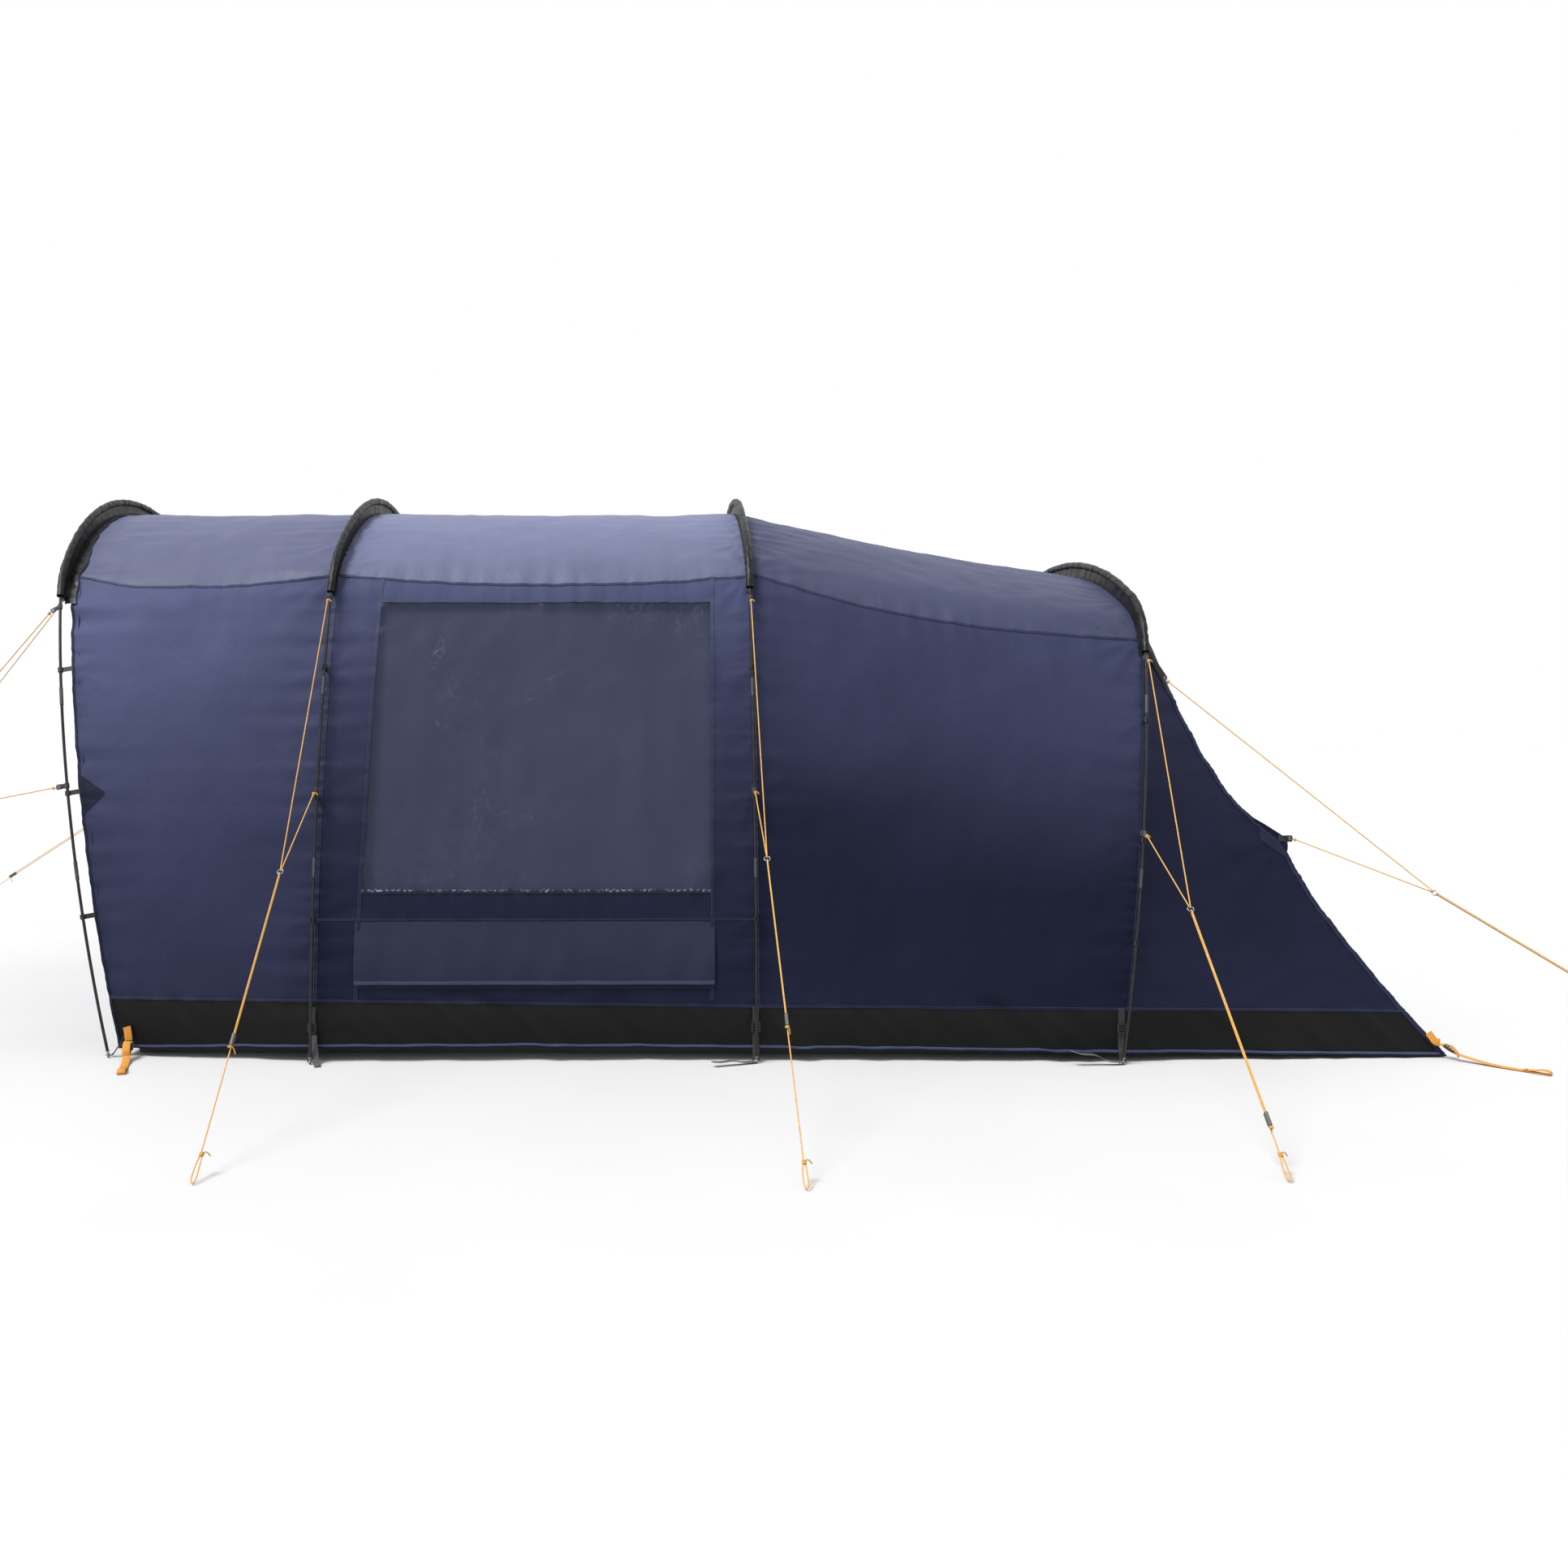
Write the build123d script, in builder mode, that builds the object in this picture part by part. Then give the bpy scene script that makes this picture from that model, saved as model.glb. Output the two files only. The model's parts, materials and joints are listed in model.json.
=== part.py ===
from build123d import *
import os
from math import sin, cos, tan, radians, degrees, sqrt, hypot, atan2

os.makedirs("parts", exist_ok=True)

# ---------------------------------------------------------------------------
# Four-berth tunnel tent on four external pole hoops.
# +X runs from the door end to the tail, -Y is the occupant's left-hand side,
# +Z is up. Millimetres. Z = 0 is the ground.
# ---------------------------------------------------------------------------

# ---- driving dimensions -----------------------------------------------------
origin_x = 329.3            # station of the bounding-box centre (stations count from mid-length of the living area)

# pole hoops: station of the feet, lean of the hoop plane (+ towards the tail),
# half width at the ground, leg and roof angles from the vertical, shoulder
# radius and crown height measured in the hoop plane
hoop_spec = {
    1: dict(x=-1764.0, lean=-10.1, w=1218.0, a0=-5.3, a1=24.35, a2=45.8, rb=356.0, crown=2020.0),
    2: dict(x=-1085.0, lean=0.0, w=1306.0, a0=0.1, a1=20.4, a2=55.0, rb=360.0, crown=1990.0),
    3: dict(x=344.0, lean=0.0, w=1292.0, a0=0.5, a1=20.4, a2=57.5, rb=370.0, crown=1988.0),
    4: dict(x=1515.0, lean=6.0, w=1306.0, a0=-3.6, a1=19.0, a2=66.0, rb=343.0, crown=1738.0),
}
pole_r = 4.75               # 9.5 mm fibreglass tube
pole_bore_r = 3.3
ferrule_r = 6.0
ferrule_len = 62.0
segments_per_hoop = 9
elastic_r = 1.3
pole_foot_z = 24.0          # pole ends sit on the pin collars here

skin_t = 2.0                # stand-in thickness of every fabric panel
leg_gap = 30.0              # fabric inside the pole line along the legs
roof_gap = 50.0             # fabric below the pole line at the crown
front_setback = 45.0        # front wall behind the plane of hoop 1
hem_z = 45.0
mud_top_z = 200.0
roof_seam_z = {1: 1560.0, 2: 1600.0, 3: 1600.0, 4: 1385.0}

sleeve_r = 13.0
sleeve_bore_r = 11.0

window_x = (-930.0, 205.0)
window_z = (545.0, 1500.0)
vent_x = (-905.0, 170.0)
vent_z = (235.0, 425.0)
vent_flap_x = (-942.0, 207.0)
vent_flap_z = (266.0, 449.0)

door_half_w = 470.0
door_sill = 185.0           # measured up the front wall's plane
door_top = 1700.0
door_corner_r = 240.0
door_gap = 3.0

bedroom_door_half_w = 530.0
bedroom_door_z = (120.0, 1560.0)

webbing_w = 20.0
webbing_t = 1.6

guy_d = 3.6                 # guy rope
ring_major, ring_minor = 8.6, 1.6
runner_len, runner_w, runner_t = 36.0, 15.0, 8.0
strand_gap = 7.4            # doubled line, centre to centre
loop_len = 84.0
loop_half = 5.5


def sx(x):
    """Station to part coordinate."""
    return x - origin_x


# ---- hoop geometry ----------------------------------------------------------
class Hoop:
    """A symmetric hoop of tangent arcs in its own plane: leg, shoulder, roof, shoulder, leg.

    In the plane, x is +Y of the tent and y runs up the hoop. Angles are those
    of the tangent from the vertical, leaning inwards."""

    def __init__(self, x, lean, w, a0, a1, a2, rb, crown):
        self.x, self.lean, self.w = x, lean, w
        self.a0, self.a1, self.a2 = radians(a0), radians(a1), radians(a2)
        self.rb, self.crown = rb, crown
        k = (sin(self.a1) - sin(self.a0)) / (self.a1 - self.a0)
        m = (cos(self.a0) - cos(self.a1)) / (self.a1 - self.a0)
        q = (1 - sin(self.a2)) / cos(self.a2)
        self.leg = (
            crown - rb * (sin(self.a2) - sin(self.a1)) - (w - rb * (cos(self.a1) - cos(self.a2))) * q
        ) / (k - m * q)
        self.ra = self.leg / (self.a1 - self.a0)
        in2 = self.leg * m + rb * (cos(self.a1) - cos(self.a2))
        self.rc = (w - in2) / cos(self.a2)
        half = radians(90)
        self.arcs = [
            (self.a0, self.a1, self.ra),
            (self.a1, self.a2, rb),
            (self.a2, half, self.rc),
        ]
        self.half_len = sum((b - a) * r for a, b, r in self.arcs)

    def plane(self, shift=0.0):
        lean = radians(self.lean)
        return Plane(
            origin=(sx(self.x) + shift, 0, 0), x_dir=(0, 1, 0), z_dir=(cos(lean), 0, -sin(lean))
        )

    def at(self, angle, inset=0.0):
        """Point on the +Y half at a tangent angle, moved inwards by inset."""
        y, z = self.w, 0.0
        for a, b, r in self.arcs:
            e = min(max(angle, a), b)
            y += r * (cos(e) - cos(a))
            z += r * (sin(e) - sin(a))
            if angle <= b:
                break
        e = min(max(angle, self.a0), radians(90))
        return (y - inset * cos(e), z - inset * sin(e))

    def angle_at_height(self, z):
        lo, hi = self.a0, radians(90)
        for _ in range(60):
            mid = (lo + hi) / 2
            if self.at(mid)[1] < z:
                lo = mid
            else:
                hi = mid
        return (lo + hi) / 2

    def angle_at_length(self, s):
        for a, b, r in self.arcs:
            if s <= (b - a) * r:
                return a + s / r
            s -= (b - a) * r
        return radians(90)

    def length_at_angle(self, angle):
        s = 0.0
        for a, b, r in self.arcs:
            if angle <= b:
                return s + (angle - a) * r
            s += (b - a) * r
        return s

    def runs(self, start, end, inset=0.0):
        """Three-point arcs from length start to length end, counted from the +Y foot over the crown."""
        total = 2 * self.half_len
        marks = [0.0]
        for a, b, r in self.arcs[:2]:
            marks.append(marks[-1] + (b - a) * r)
        marks += [total - m for m in reversed(marks[1:])] + [total]
        cuts = [start] + [m for m in marks if start + 0.5 < m < end - 0.5] + [end]

        def point(s):
            if s <= self.half_len:
                return self.at(self.angle_at_length(s), inset)
            y, z = self.at(self.angle_at_length(total - s), inset)
            return (-y, z)

        return [
            (point(p), point((p + q) / 2), point(q)) for p, q in zip(cuts, cuts[1:])
        ]

    def space(self, y, z):
        """A point of the hoop plane in the part frame."""
        lean = radians(self.lean)
        return Vector(sx(self.x) + z * sin(lean), y, z * cos(lean))


hoops = {n: Hoop(**s) for n, s in hoop_spec.items()}
skins = {
    n: Hoop(
        **{**s, "w": s["w"] - leg_gap, "rb": s["rb"] - 35.0, "crown": s["crown"] - roof_gap}
    )
    for n, s in hoop_spec.items()
}


def band(plane, hoop, inset, thick, z0):
    """Closed band between two concentric hoop lines."""
    start = hoop.length_at_angle(hoop.angle_at_height(z0))
    end = 2 * hoop.half_len - start
    outer = hoop.runs(start, end, inset)
    inner = hoop.runs(start, end, inset + thick)
    with BuildSketch(plane) as section:
        with BuildLine():
            for a, m, b in outer:
                ThreePointArc(a, m, b)
            Line(outer[-1][2], inner[-1][2])
            for a, m, b in reversed(inner):
                ThreePointArc(b, m, a)
            Line(inner[0][0], outer[0][0])
        make_face()
    return section.sketch


def full_section(plane, hoop, inset, z0):
    """Filled hoop section down to z0."""
    start = hoop.length_at_angle(hoop.angle_at_height(z0))
    end = 2 * hoop.half_len - start
    outer = hoop.runs(start, end, inset)
    with BuildSketch(plane) as section:
        with BuildLine():
            for a, m, b in outer:
                ThreePointArc(a, m, b)
            Line(outer[-1][2], outer[0][0])
        make_face()
    return section.sketch


def bay(first, last, inset=0.0, thick=skin_t, z0=hem_z, shift=(0.0, 0.0)):
    """Ruled skin between two hoops."""
    ends = [
        band(skins[first].plane(shift[0]), skins[first], inset, thick, z0),
        band(skins[last].plane(shift[1]), skins[last], inset, thick, z0),
    ]
    with BuildPart() as skin:
        loft(ends, ruled=True)
    return skin.part


def seam_plane(first, last):
    """Plane through the roof seam of a bay, across the tent, facing up."""
    a = (sx(hoops[first].x), roof_seam_z[first])
    b = (sx(hoops[last].x) + (120.0 if last == 4 else 0.0), roof_seam_z[last])
    dx, dz = b[0] - a[0], b[1] - a[1]
    return Plane(origin=(a[0], 0, a[1]), x_dir=(dx, 0, dz), z_dir=(-dz, 0, dx))


mud_plane = Plane.XY.offset(mud_top_z)
left_plane = Plane.XZ       # its normal is -Y: TOP keeps the left-hand half
setback_plane = hoops[1].plane(front_setback)


def group(name, pieces):
    """Several separate solids that share one node."""
    return Compound(label=name, children=list(pieces))


written = []


def write(shape, name):
    shape.label = name
    export_step(shape, f"parts/{name}.step")
    written.append(name)


# ---- outer fabric -----------------------------------------------------------
bay_skins = {1: bay(1, 2), 2: bay(2, 3), 3: bay(3, 4)}

with BuildPart() as roof_panel_front:
    add(bay_skins[1])
    split(bisect_by=seam_plane(1, 2), keep=Keep.TOP)
with BuildPart() as roof_panel_middle:
    add(bay_skins[2])
    split(bisect_by=seam_plane(2, 3), keep=Keep.TOP)
with BuildPart() as roof_panel_rear:
    add(bay_skins[3])
    split(bisect_by=seam_plane(3, 4), keep=Keep.TOP)


def wall(n, side, keep_x=None):
    """Side panel of bay n between the mud wall and the roof seam."""
    with BuildPart() as panel:
        add(bay_skins[n])
        split(bisect_by=seam_plane(n, n + 1), keep=Keep.BOTTOM)
        split(bisect_by=mud_plane, keep=Keep.TOP)
        split(bisect_by=left_plane, keep=Keep.TOP if side < 0 else Keep.BOTTOM)
        if n == 1:
            split(bisect_by=setback_plane, keep=Keep.TOP)
    return panel.part


def side_window(x, z, side, grow=0.0):
    """Prism through one side wall, used to cut a rectangle seen from the side."""
    with BuildPart() as cutter:
        with BuildSketch(Plane.XZ.offset(-side * 850.0)):
            with Locations((sx((x[0] + x[1]) / 2), (z[0] + z[1]) / 2)):
                RectangleRounded(x[1] - x[0] + 2 * grow, z[1] - z[0] + 2 * grow, 18.0)
        extrude(amount=-side * 600.0)
    return cutter.part


side_wall_front = {s: wall(1, s) for s in (-1, 1)}
side_wall_rear = {s: wall(3, s) for s in (-1, 1)}
side_wall_window, window_film, vent_mesh_piece = {}, {}, {}
for s in (-1, 1):
    with BuildPart() as panel:
        add(wall(2, s))
        add(side_window(window_x, window_z, s), mode=Mode.SUBTRACT)
        add(side_window(vent_x, vent_z, s), mode=Mode.SUBTRACT)
    side_wall_window[s] = panel.part
    with BuildPart() as film:
        add(wall(2, s))
        add(side_window(window_x, window_z, s), mode=Mode.INTERSECT)
    window_film[s] = film.part
    with BuildPart() as mesh:
        add(wall(2, s))
        add(side_window(vent_x, vent_z, s), mode=Mode.INTERSECT)
    vent_mesh_piece[s] = mesh.part

# ---- tail -------------------------------------------------------------------
# Corner edge of the tail, from the shoulder of hoop 4 to the ground: station,
# distance from the centre plane, height, and how far the panel still arches.
tail_edge = [
    (1752.0, 1058.0, 1205.0, 0.70),
    (1858.0, 1078.0, 990.0, 0.40),
    (1975.0, 1092.0, 815.0, 0.22),
    (2108.0, 1108.0, 690.0, 0.14),
    (2214.0, 1135.0, 500.0, 0.10),
    (2411.0, 1172.0, 237.0, 0.07),
    (2575.0, 1212.0, hem_z, 0.05),
]


def tail_band(plane, half, arch, thick):
    """Arched strip across the tail, with the same edges as the roof part of a hoop band."""
    top = skins[4]
    start = top.length_at_angle(tail_start)
    end = 2 * top.half_len - start
    base_y, base_z = top.at(tail_start)
    with BuildSketch(plane) as strip:
        with BuildLine():
            chain, back = [], []
            for a, m, b in top.runs(start, end):
                chain.append([(p[0] * half / base_y, (p[1] - base_z) * arch) for p in (a, m, b)])
            for a, m, b in chain:
                ThreePointArc(a, m, b)
            low = [[(p[0] * (half - thick) / half, p[1] - thick) for p in c] for c in chain]
            Line(chain[-1][2], low[-1][2])
            for a, m, b in reversed(low):
                ThreePointArc(b, m, a)
            Line(low[0][0], chain[0][0])
        make_face()
    return strip.sketch


tail_start = skins[4].angle_at_height(1386.0)
lean4 = radians(hoops[4].lean)
edge_top = skins[4].at(tail_start)
tail_sections = []
y0, z0 = edge_top
tail_sections.append(
    tail_band(
        Plane(
            origin=(sx(hoops[4].x) + z0 * sin(lean4), 0, z0 * cos(lean4)),
            x_dir=(0, 1, 0),
            z_dir=(cos(lean4), 0, -sin(lean4)),
        ),
        y0,
        1.0,
        skin_t,
    )
)
for i, (ex, ey, ez, arch) in enumerate(tail_edge):
    turn = radians(12.0 + 36.0 * min(1.0, (i + 1) / 3.0))
    tail_sections.append(
        tail_band(
            Plane(origin=(sx(ex), 0, ez), x_dir=(0, 1, 0), z_dir=(cos(turn), 0, -sin(turn))),
            ey,
            arch,
            skin_t,
        )
    )
with BuildPart() as tail_cover:
    loft(tail_sections, ruled=True)
with BuildPart() as tail_panel:
    add(tail_cover.part)
    split(bisect_by=mud_plane, keep=Keep.TOP)
with BuildPart() as mud_tail:
    add(tail_cover.part)
    split(bisect_by=mud_plane, keep=Keep.BOTTOM)


def edge_at(z):
    """Station and half width of the tail's corner edge at a height."""
    pts = [(sx(0) + origin_x + hoops[4].x + z0 * sin(lean4), y0, z0 * cos(lean4))] + [
        (e[0], e[1], e[2]) for e in tail_edge
    ]
    for (xa, ya, za), (xb, yb, zb) in zip(pts, pts[1:]):
        if zb <= z <= za:
            t = (za - z) / (za - zb)
            return xa + t * (xb - xa), ya + t * (yb - ya)
    return pts[-1][0], pts[-1][1]


def tail_side(side, z_list):
    """Side piece of the tail: a ruled strip from hoop 4's leg to the corner edge."""
    with BuildPart() as piece:
        for z in z_list:
            leg_angle = skins[4].angle_at_height(z / cos(lean4))
            ly, lz = skins[4].at(leg_angle)
            lx = sx(hoops[4].x) + lz * sin(lean4)
            ex, ey = edge_at(z)
            ex = sx(ex) - 4.0
            with BuildSketch(Plane.XY.offset(z)):
                with BuildLine():
                    Polyline(
                        (lx, side * ly),
                        (ex, side * ey),
                        (ex, side * (ey - skin_t)),
                        (lx, side * (ly - skin_t)),
                        close=True,
                    )
                make_face()
        loft(ruled=True)
    return piece.part


upper_levels = [mud_top_z, 237.0, 500.0, 690.0, 815.0, 990.0, 1205.0, 1330.0]
tail_wall = {s: tail_side(s, upper_levels) for s in (-1, 1)}
mud_pieces = [mud_tail.part] + [tail_side(s, [hem_z, 120.0, mud_top_z]) for s in (-1, 1)]
for n in (1, 2, 3):
    for s in (-1, 1):
        with BuildPart() as strip:
            add(bay_skins[n])
            split(bisect_by=mud_plane, keep=Keep.BOTTOM)
            split(bisect_by=left_plane, keep=Keep.TOP if s < 0 else Keep.BOTTOM)
            if n == 1:
                split(bisect_by=setback_plane, keep=Keep.TOP)
        mud_pieces.append(strip.part)

# ---- front wall and door ----------------------------------------------------
front_sections = [full_section(skins[n].plane(), skins[n], skin_t, hem_z) for n in (1, 2)]
with BuildPart() as front_space:
    loft(front_sections, ruled=True)

front_plane = hoops[1].plane(front_setback + 1.0)


def door_outline(plane, gap):
    """Door opening: straight jambs and rounded top corners."""
    w, lo, hi, r = door_half_w - gap, door_sill + gap, door_top - gap, door_corner_r
    with BuildSketch(plane) as outline:
        with BuildLine():
            FilletPolyline((w, lo), (w, hi), (-w, hi), (-w, lo), radius=r)
            Line((-w, lo), (w, lo))
        make_face()
    return outline.sketch


with BuildPart() as front_wall:
    with BuildSketch(front_plane):
        with Locations((0, 1000)):
            Rectangle(3000, 2400)
    extrude(amount=skin_t)
    add(front_space.part, mode=Mode.INTERSECT)
    extrude(door_outline(front_plane.offset(-5), 0.0), amount=12, mode=Mode.SUBTRACT)

door_flap = {}
for s in (-1, 1):
    with BuildPart() as flap:
        with BuildSketch(front_plane):
            add(door_outline(Plane.XY, door_gap))
            with Locations((-s * (door_half_w / 2 - 1.5), 1000)):
                Rectangle(door_half_w, 2400, mode=Mode.SUBTRACT)
        extrude(amount=skin_t)
        # coil zip along the free edge
        with BuildSketch(front_plane.offset(-1.6)):
            with BuildLine():
                Polyline(
                    (s * 1.5, door_sill + 4),
                    (s * 9.0, door_sill + 4),
                    (s * 9.0, door_top - 4),
                    (s * 1.5, door_top - 4),
                    close=True,
                )
            make_face()
        extrude(amount=1.6)
    door_flap[s] = flap.part


def zip_slider(plane, at, toward):
    """Slider body with a bridge and a hanging pull tab, in front of the tape, on the given plane."""
    with BuildPart() as slider:
        with BuildSketch(plane):
            with Locations((at[0] + toward * 7.0, at[1])):
                SlotOverall(16, 10, rotation=90)
        extrude(amount=-4.0)
        with BuildSketch(plane.offset(-4.0)):
            with Locations((at[0] + toward * 7.0, at[1])):
                Rectangle(4, 12)
        extrude(amount=-3.0)
        fillet(slider.edges().group_by(SortBy.LENGTH)[0], 0.3)
        with BuildSketch(plane.offset(-5.0)):
            with Locations((at[0] + toward * 7.0, at[1] - 22.0)):
                RectangleRounded(8, 34, 3.5)
            with Locations((at[0] + toward * 7.0, at[1] - 34.0)):
                Circle(1.6, mode=Mode.SUBTRACT)
        extrude(amount=-1.6)
    return slider.part


door_zip_slider = zip_slider(front_plane.offset(-1.9), (0.0, door_sill + 62.0), -1)

# ---- curtains and vent flaps --------------------------------------------------
curtain, vent_flap = {}, {}
inner_skin = bay(2, 3, inset=22.0)
outer_skin = bay(2, 3, inset=-8.0)
for s in (-1, 1):
    with BuildPart() as cloth:
        add(inner_skin)
        split(bisect_by=left_plane, keep=Keep.TOP if s < 0 else Keep.BOTTOM)
        add(
            side_window((window_x[0] - 20, window_x[1] + 20), (window_z[0] - 25, window_z[1] + 22), s),
            mode=Mode.INTERSECT,
        )
    curtain[s] = cloth.part
    with BuildPart() as cloth:
        add(outer_skin)
        split(bisect_by=left_plane, keep=Keep.TOP if s < 0 else Keep.BOTTOM)
        add(side_window(vent_flap_x, vent_flap_z, s), mode=Mode.INTERSECT)
    vent_flap[s] = cloth.part

# ---- groundsheet --------------------------------------------------------------
floor_x = (-1690.0, 2480.0)
floor_w = (1150.0, 1180.0, 1090.0)
rim_z = 120.0


def floor_outline(plane, inset):
    """Plan of the groundsheet."""
    (xa, xb), (wa, wm, wb) = floor_x, floor_w
    xa, xb, wa, wm, wb = xa + inset, xb - inset, wa - inset, wm - inset, wb - inset
    with BuildSketch(plane) as plan:
        with BuildLine():
            Polyline(
                (sx(xa), -wa), (sx(1500), -wm), (sx(xb), -wb),
                (sx(xb), wb), (sx(1500), wm), (sx(xa), wa), close=True,
            )
        make_face()
    return plan.sketch


def floor_corners(inset):
    """Corners of the groundsheet's plan, in order."""
    (xa, xb), (wa, wm, wb) = floor_x, floor_w
    xa, xb, wa, wm, wb = xa + inset, xb - inset, wa - inset, wm - inset, wb - inset
    return [
        (sx(xa), -wa), (sx(1500), -wm), (sx(xb), -wb),
        (sx(xb), wb), (sx(1500), wm), (sx(xa), wa),
    ]


# floor, and a turned-up rim with a sewn mitre at each corner
with BuildPart() as floor_piece:
    extrude(floor_outline(Plane.XY, 0.0), amount=skin_t)
groundsheet_pieces = [floor_piece.part]
outer_corners, inner_corners = floor_corners(0.0), floor_corners(skin_t)
for i in range(6):
    j = (i + 1) % 6
    with BuildPart() as rim_piece:
        with BuildSketch(Plane.XY.offset(skin_t)):
            with BuildLine():
                Polyline(outer_corners[i], outer_corners[j], inner_corners[j], inner_corners[i], close=True)
            make_face()
        extrude(amount=rim_z - skin_t)
    groundsheet_pieces.append(rim_piece.part)

# ---- bedroom --------------------------------------------------------------------
room_spec = [
    (404.0, dict(w=1125.0, a0=0.5, a1=19.0, a2=57.0, rb=330.0, crown=1820.0)),
    (1440.0, dict(w=1120.0, a0=0.5, a1=19.0, a2=62.0, rb=320.0, crown=1570.0)),
    (1790.0, dict(w=1085.0, a0=0.5, a1=14.0, a2=72.0, rb=240.0, crown=920.0)),
    (2195.0, dict(w=1040.0, a0=0.5, a1=10.0, a2=76.0, rb=120.0, crown=350.0)),
]
room_floor_z = 4.0


def room(inset, x_in):
    sections = []
    for i, (x, spec) in enumerate(room_spec):
        shift = x_in if i == 0 else (-x_in if i == len(room_spec) - 1 else 0.0)
        section = Hoop(x=x, lean=0.0, **spec)
        sections.append(full_section(section.plane(shift), section, inset, room_floor_z + inset))
    with BuildPart() as body:
        loft(sections, ruled=True)
    return body.part


room_plane = Plane(origin=(sx(404.0), 0, 0), x_dir=(0, 1, 0), z_dir=(1, 0, 0))
with BuildPart() as bedroom_shell:
    add(room(0.0, 0.0))
    add(room(skin_t, skin_t), mode=Mode.SUBTRACT)
    with BuildSketch(room_plane.offset(-5)):
        with Locations((0, sum(bedroom_door_z) / 2)):
            RectangleRounded(2 * bedroom_door_half_w, bedroom_door_z[1] - bedroom_door_z[0], 120)
    extrude(amount=12, mode=Mode.SUBTRACT)

with BuildPart() as bedroom_door:
    with BuildSketch(room_plane):
        with Locations((0, sum(bedroom_door_z) / 2)):
            RectangleRounded(
                2 * (bedroom_door_half_w - door_gap),
                bedroom_door_z[1] - bedroom_door_z[0] - 2 * door_gap,
                120 - door_gap,
            )
    extrude(amount=skin_t)

bedroom_zip_slider = zip_slider(
    room_plane.offset(-0.4), (bedroom_door_half_w - 4.0, bedroom_door_z[0] + 190.0), -1
)

# elastic hanger loops with toggles, from the bedroom to the outer skin
hanger_pieces = []
for station, low, high in ((404.0, 1822.0, 1920.0), (930.0, 1700.0, 1804.0), (1400.0, 1583.0, 1692.0)):
    with BuildPart() as hanger:
        with BuildSketch(Plane(origin=(sx(station) + 14, 0, low), z_dir=(0, 0, 1))):
            Circle(2.0)
        extrude(amount=high - low)
        with BuildSketch(Plane(origin=(sx(station) + 2, 0, (low + high) / 2), z_dir=(1, 0, 0))):
            Circle(4.5)
        extrude(amount=24)
    hanger_pieces.append(hanger.part)

# ---- poles ------------------------------------------------------------------------
def path_on(hoop, start, end, inset=0.0):
    with BuildLine(hoop.plane()) as path:
        for a, m, b in hoop.runs(start, end, inset):
            ThreePointArc(a, m, b)
    return path.line


def tube(hoop, start, end, outer, bore=0.0):
    path = path_on(hoop, start, end)
    with BuildPart() as piece:
        with BuildSketch(Plane(origin=path @ 0, z_dir=path % 0)):
            Circle(outer)
            if bore:
                Circle(bore, mode=Mode.SUBTRACT)
        sweep(path=path)
    return piece.part


poles, ferrules, elastics, sleeves = {}, [], [], []
for n, hoop in hoops.items():
    lo = hoop.length_at_angle(hoop.angle_at_height(pole_foot_z / cos(radians(hoop.lean))))
    hi = 2 * hoop.half_len - lo
    step = (hi - lo) / segments_per_hoop
    joints = [lo + i * step for i in range(segments_per_hoop + 1)]
    poles[n] = [tube(hoop, a, b, pole_r, pole_bore_r) for a, b in zip(joints, joints[1:])]
    for mid in joints[1:-1]:
        ferrules.append(tube(hoop, mid - ferrule_len / 2, mid + ferrule_len / 2, ferrule_r, pole_r + 0.05))
    elastics.append(tube(hoop, lo + 62, hi - 62, elastic_r))

# ---- pole sleeves: pocket round the pole and a web down to the roof ------------------
for n, hoop in hoops.items():
    skin = skins[n]
    a = hoop.length_at_angle(hoop.a1)
    b = 2 * hoop.half_len - a
    path = path_on(hoop, a, b)
    with BuildPart() as sleeve:
        with BuildSketch(Plane(origin=path @ 0, z_dir=path % 0)):
            Circle(sleeve_r)
            Circle(sleeve_bore_r, mode=Mode.SUBTRACT)
        sweep(path=path)
        sa = skin.length_at_angle(skin.a1)
        with BuildSketch(hoop.plane()):
            outer = hoop.runs(a, b, sleeve_r - 1.0)
            inner = skin.runs(sa, 2 * skin.half_len - sa, -0.5)
            with BuildLine():
                for p, m, q in outer:
                    ThreePointArc(p, m, q)
                Line(outer[-1][2], inner[-1][2])
                for p, m, q in reversed(inner):
                    ThreePointArc(q, m, p)
                Line(inner[0][0], outer[0][0])
            make_face()
        extrude(amount=1.0, both=True)
    sleeves.append(sleeve.part)


def hoop_frame(hoop, z, side):
    """Plane across the pole at a height: origin on its axis, x pointing into the tent, z up the pole."""
    lean = radians(hoop.lean)
    angle = hoop.angle_at_height(z / cos(lean))
    y, zz = hoop.at(angle)
    origin = hoop.space(side * y, zz)
    up = Vector(sin(lean) * cos(angle), -side * sin(angle), cos(lean) * cos(angle))
    inward = Vector(-sin(lean) * sin(angle), -side * cos(angle), -cos(lean) * sin(angle))
    return Plane(origin=origin, x_dir=inward, z_dir=up)


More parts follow.
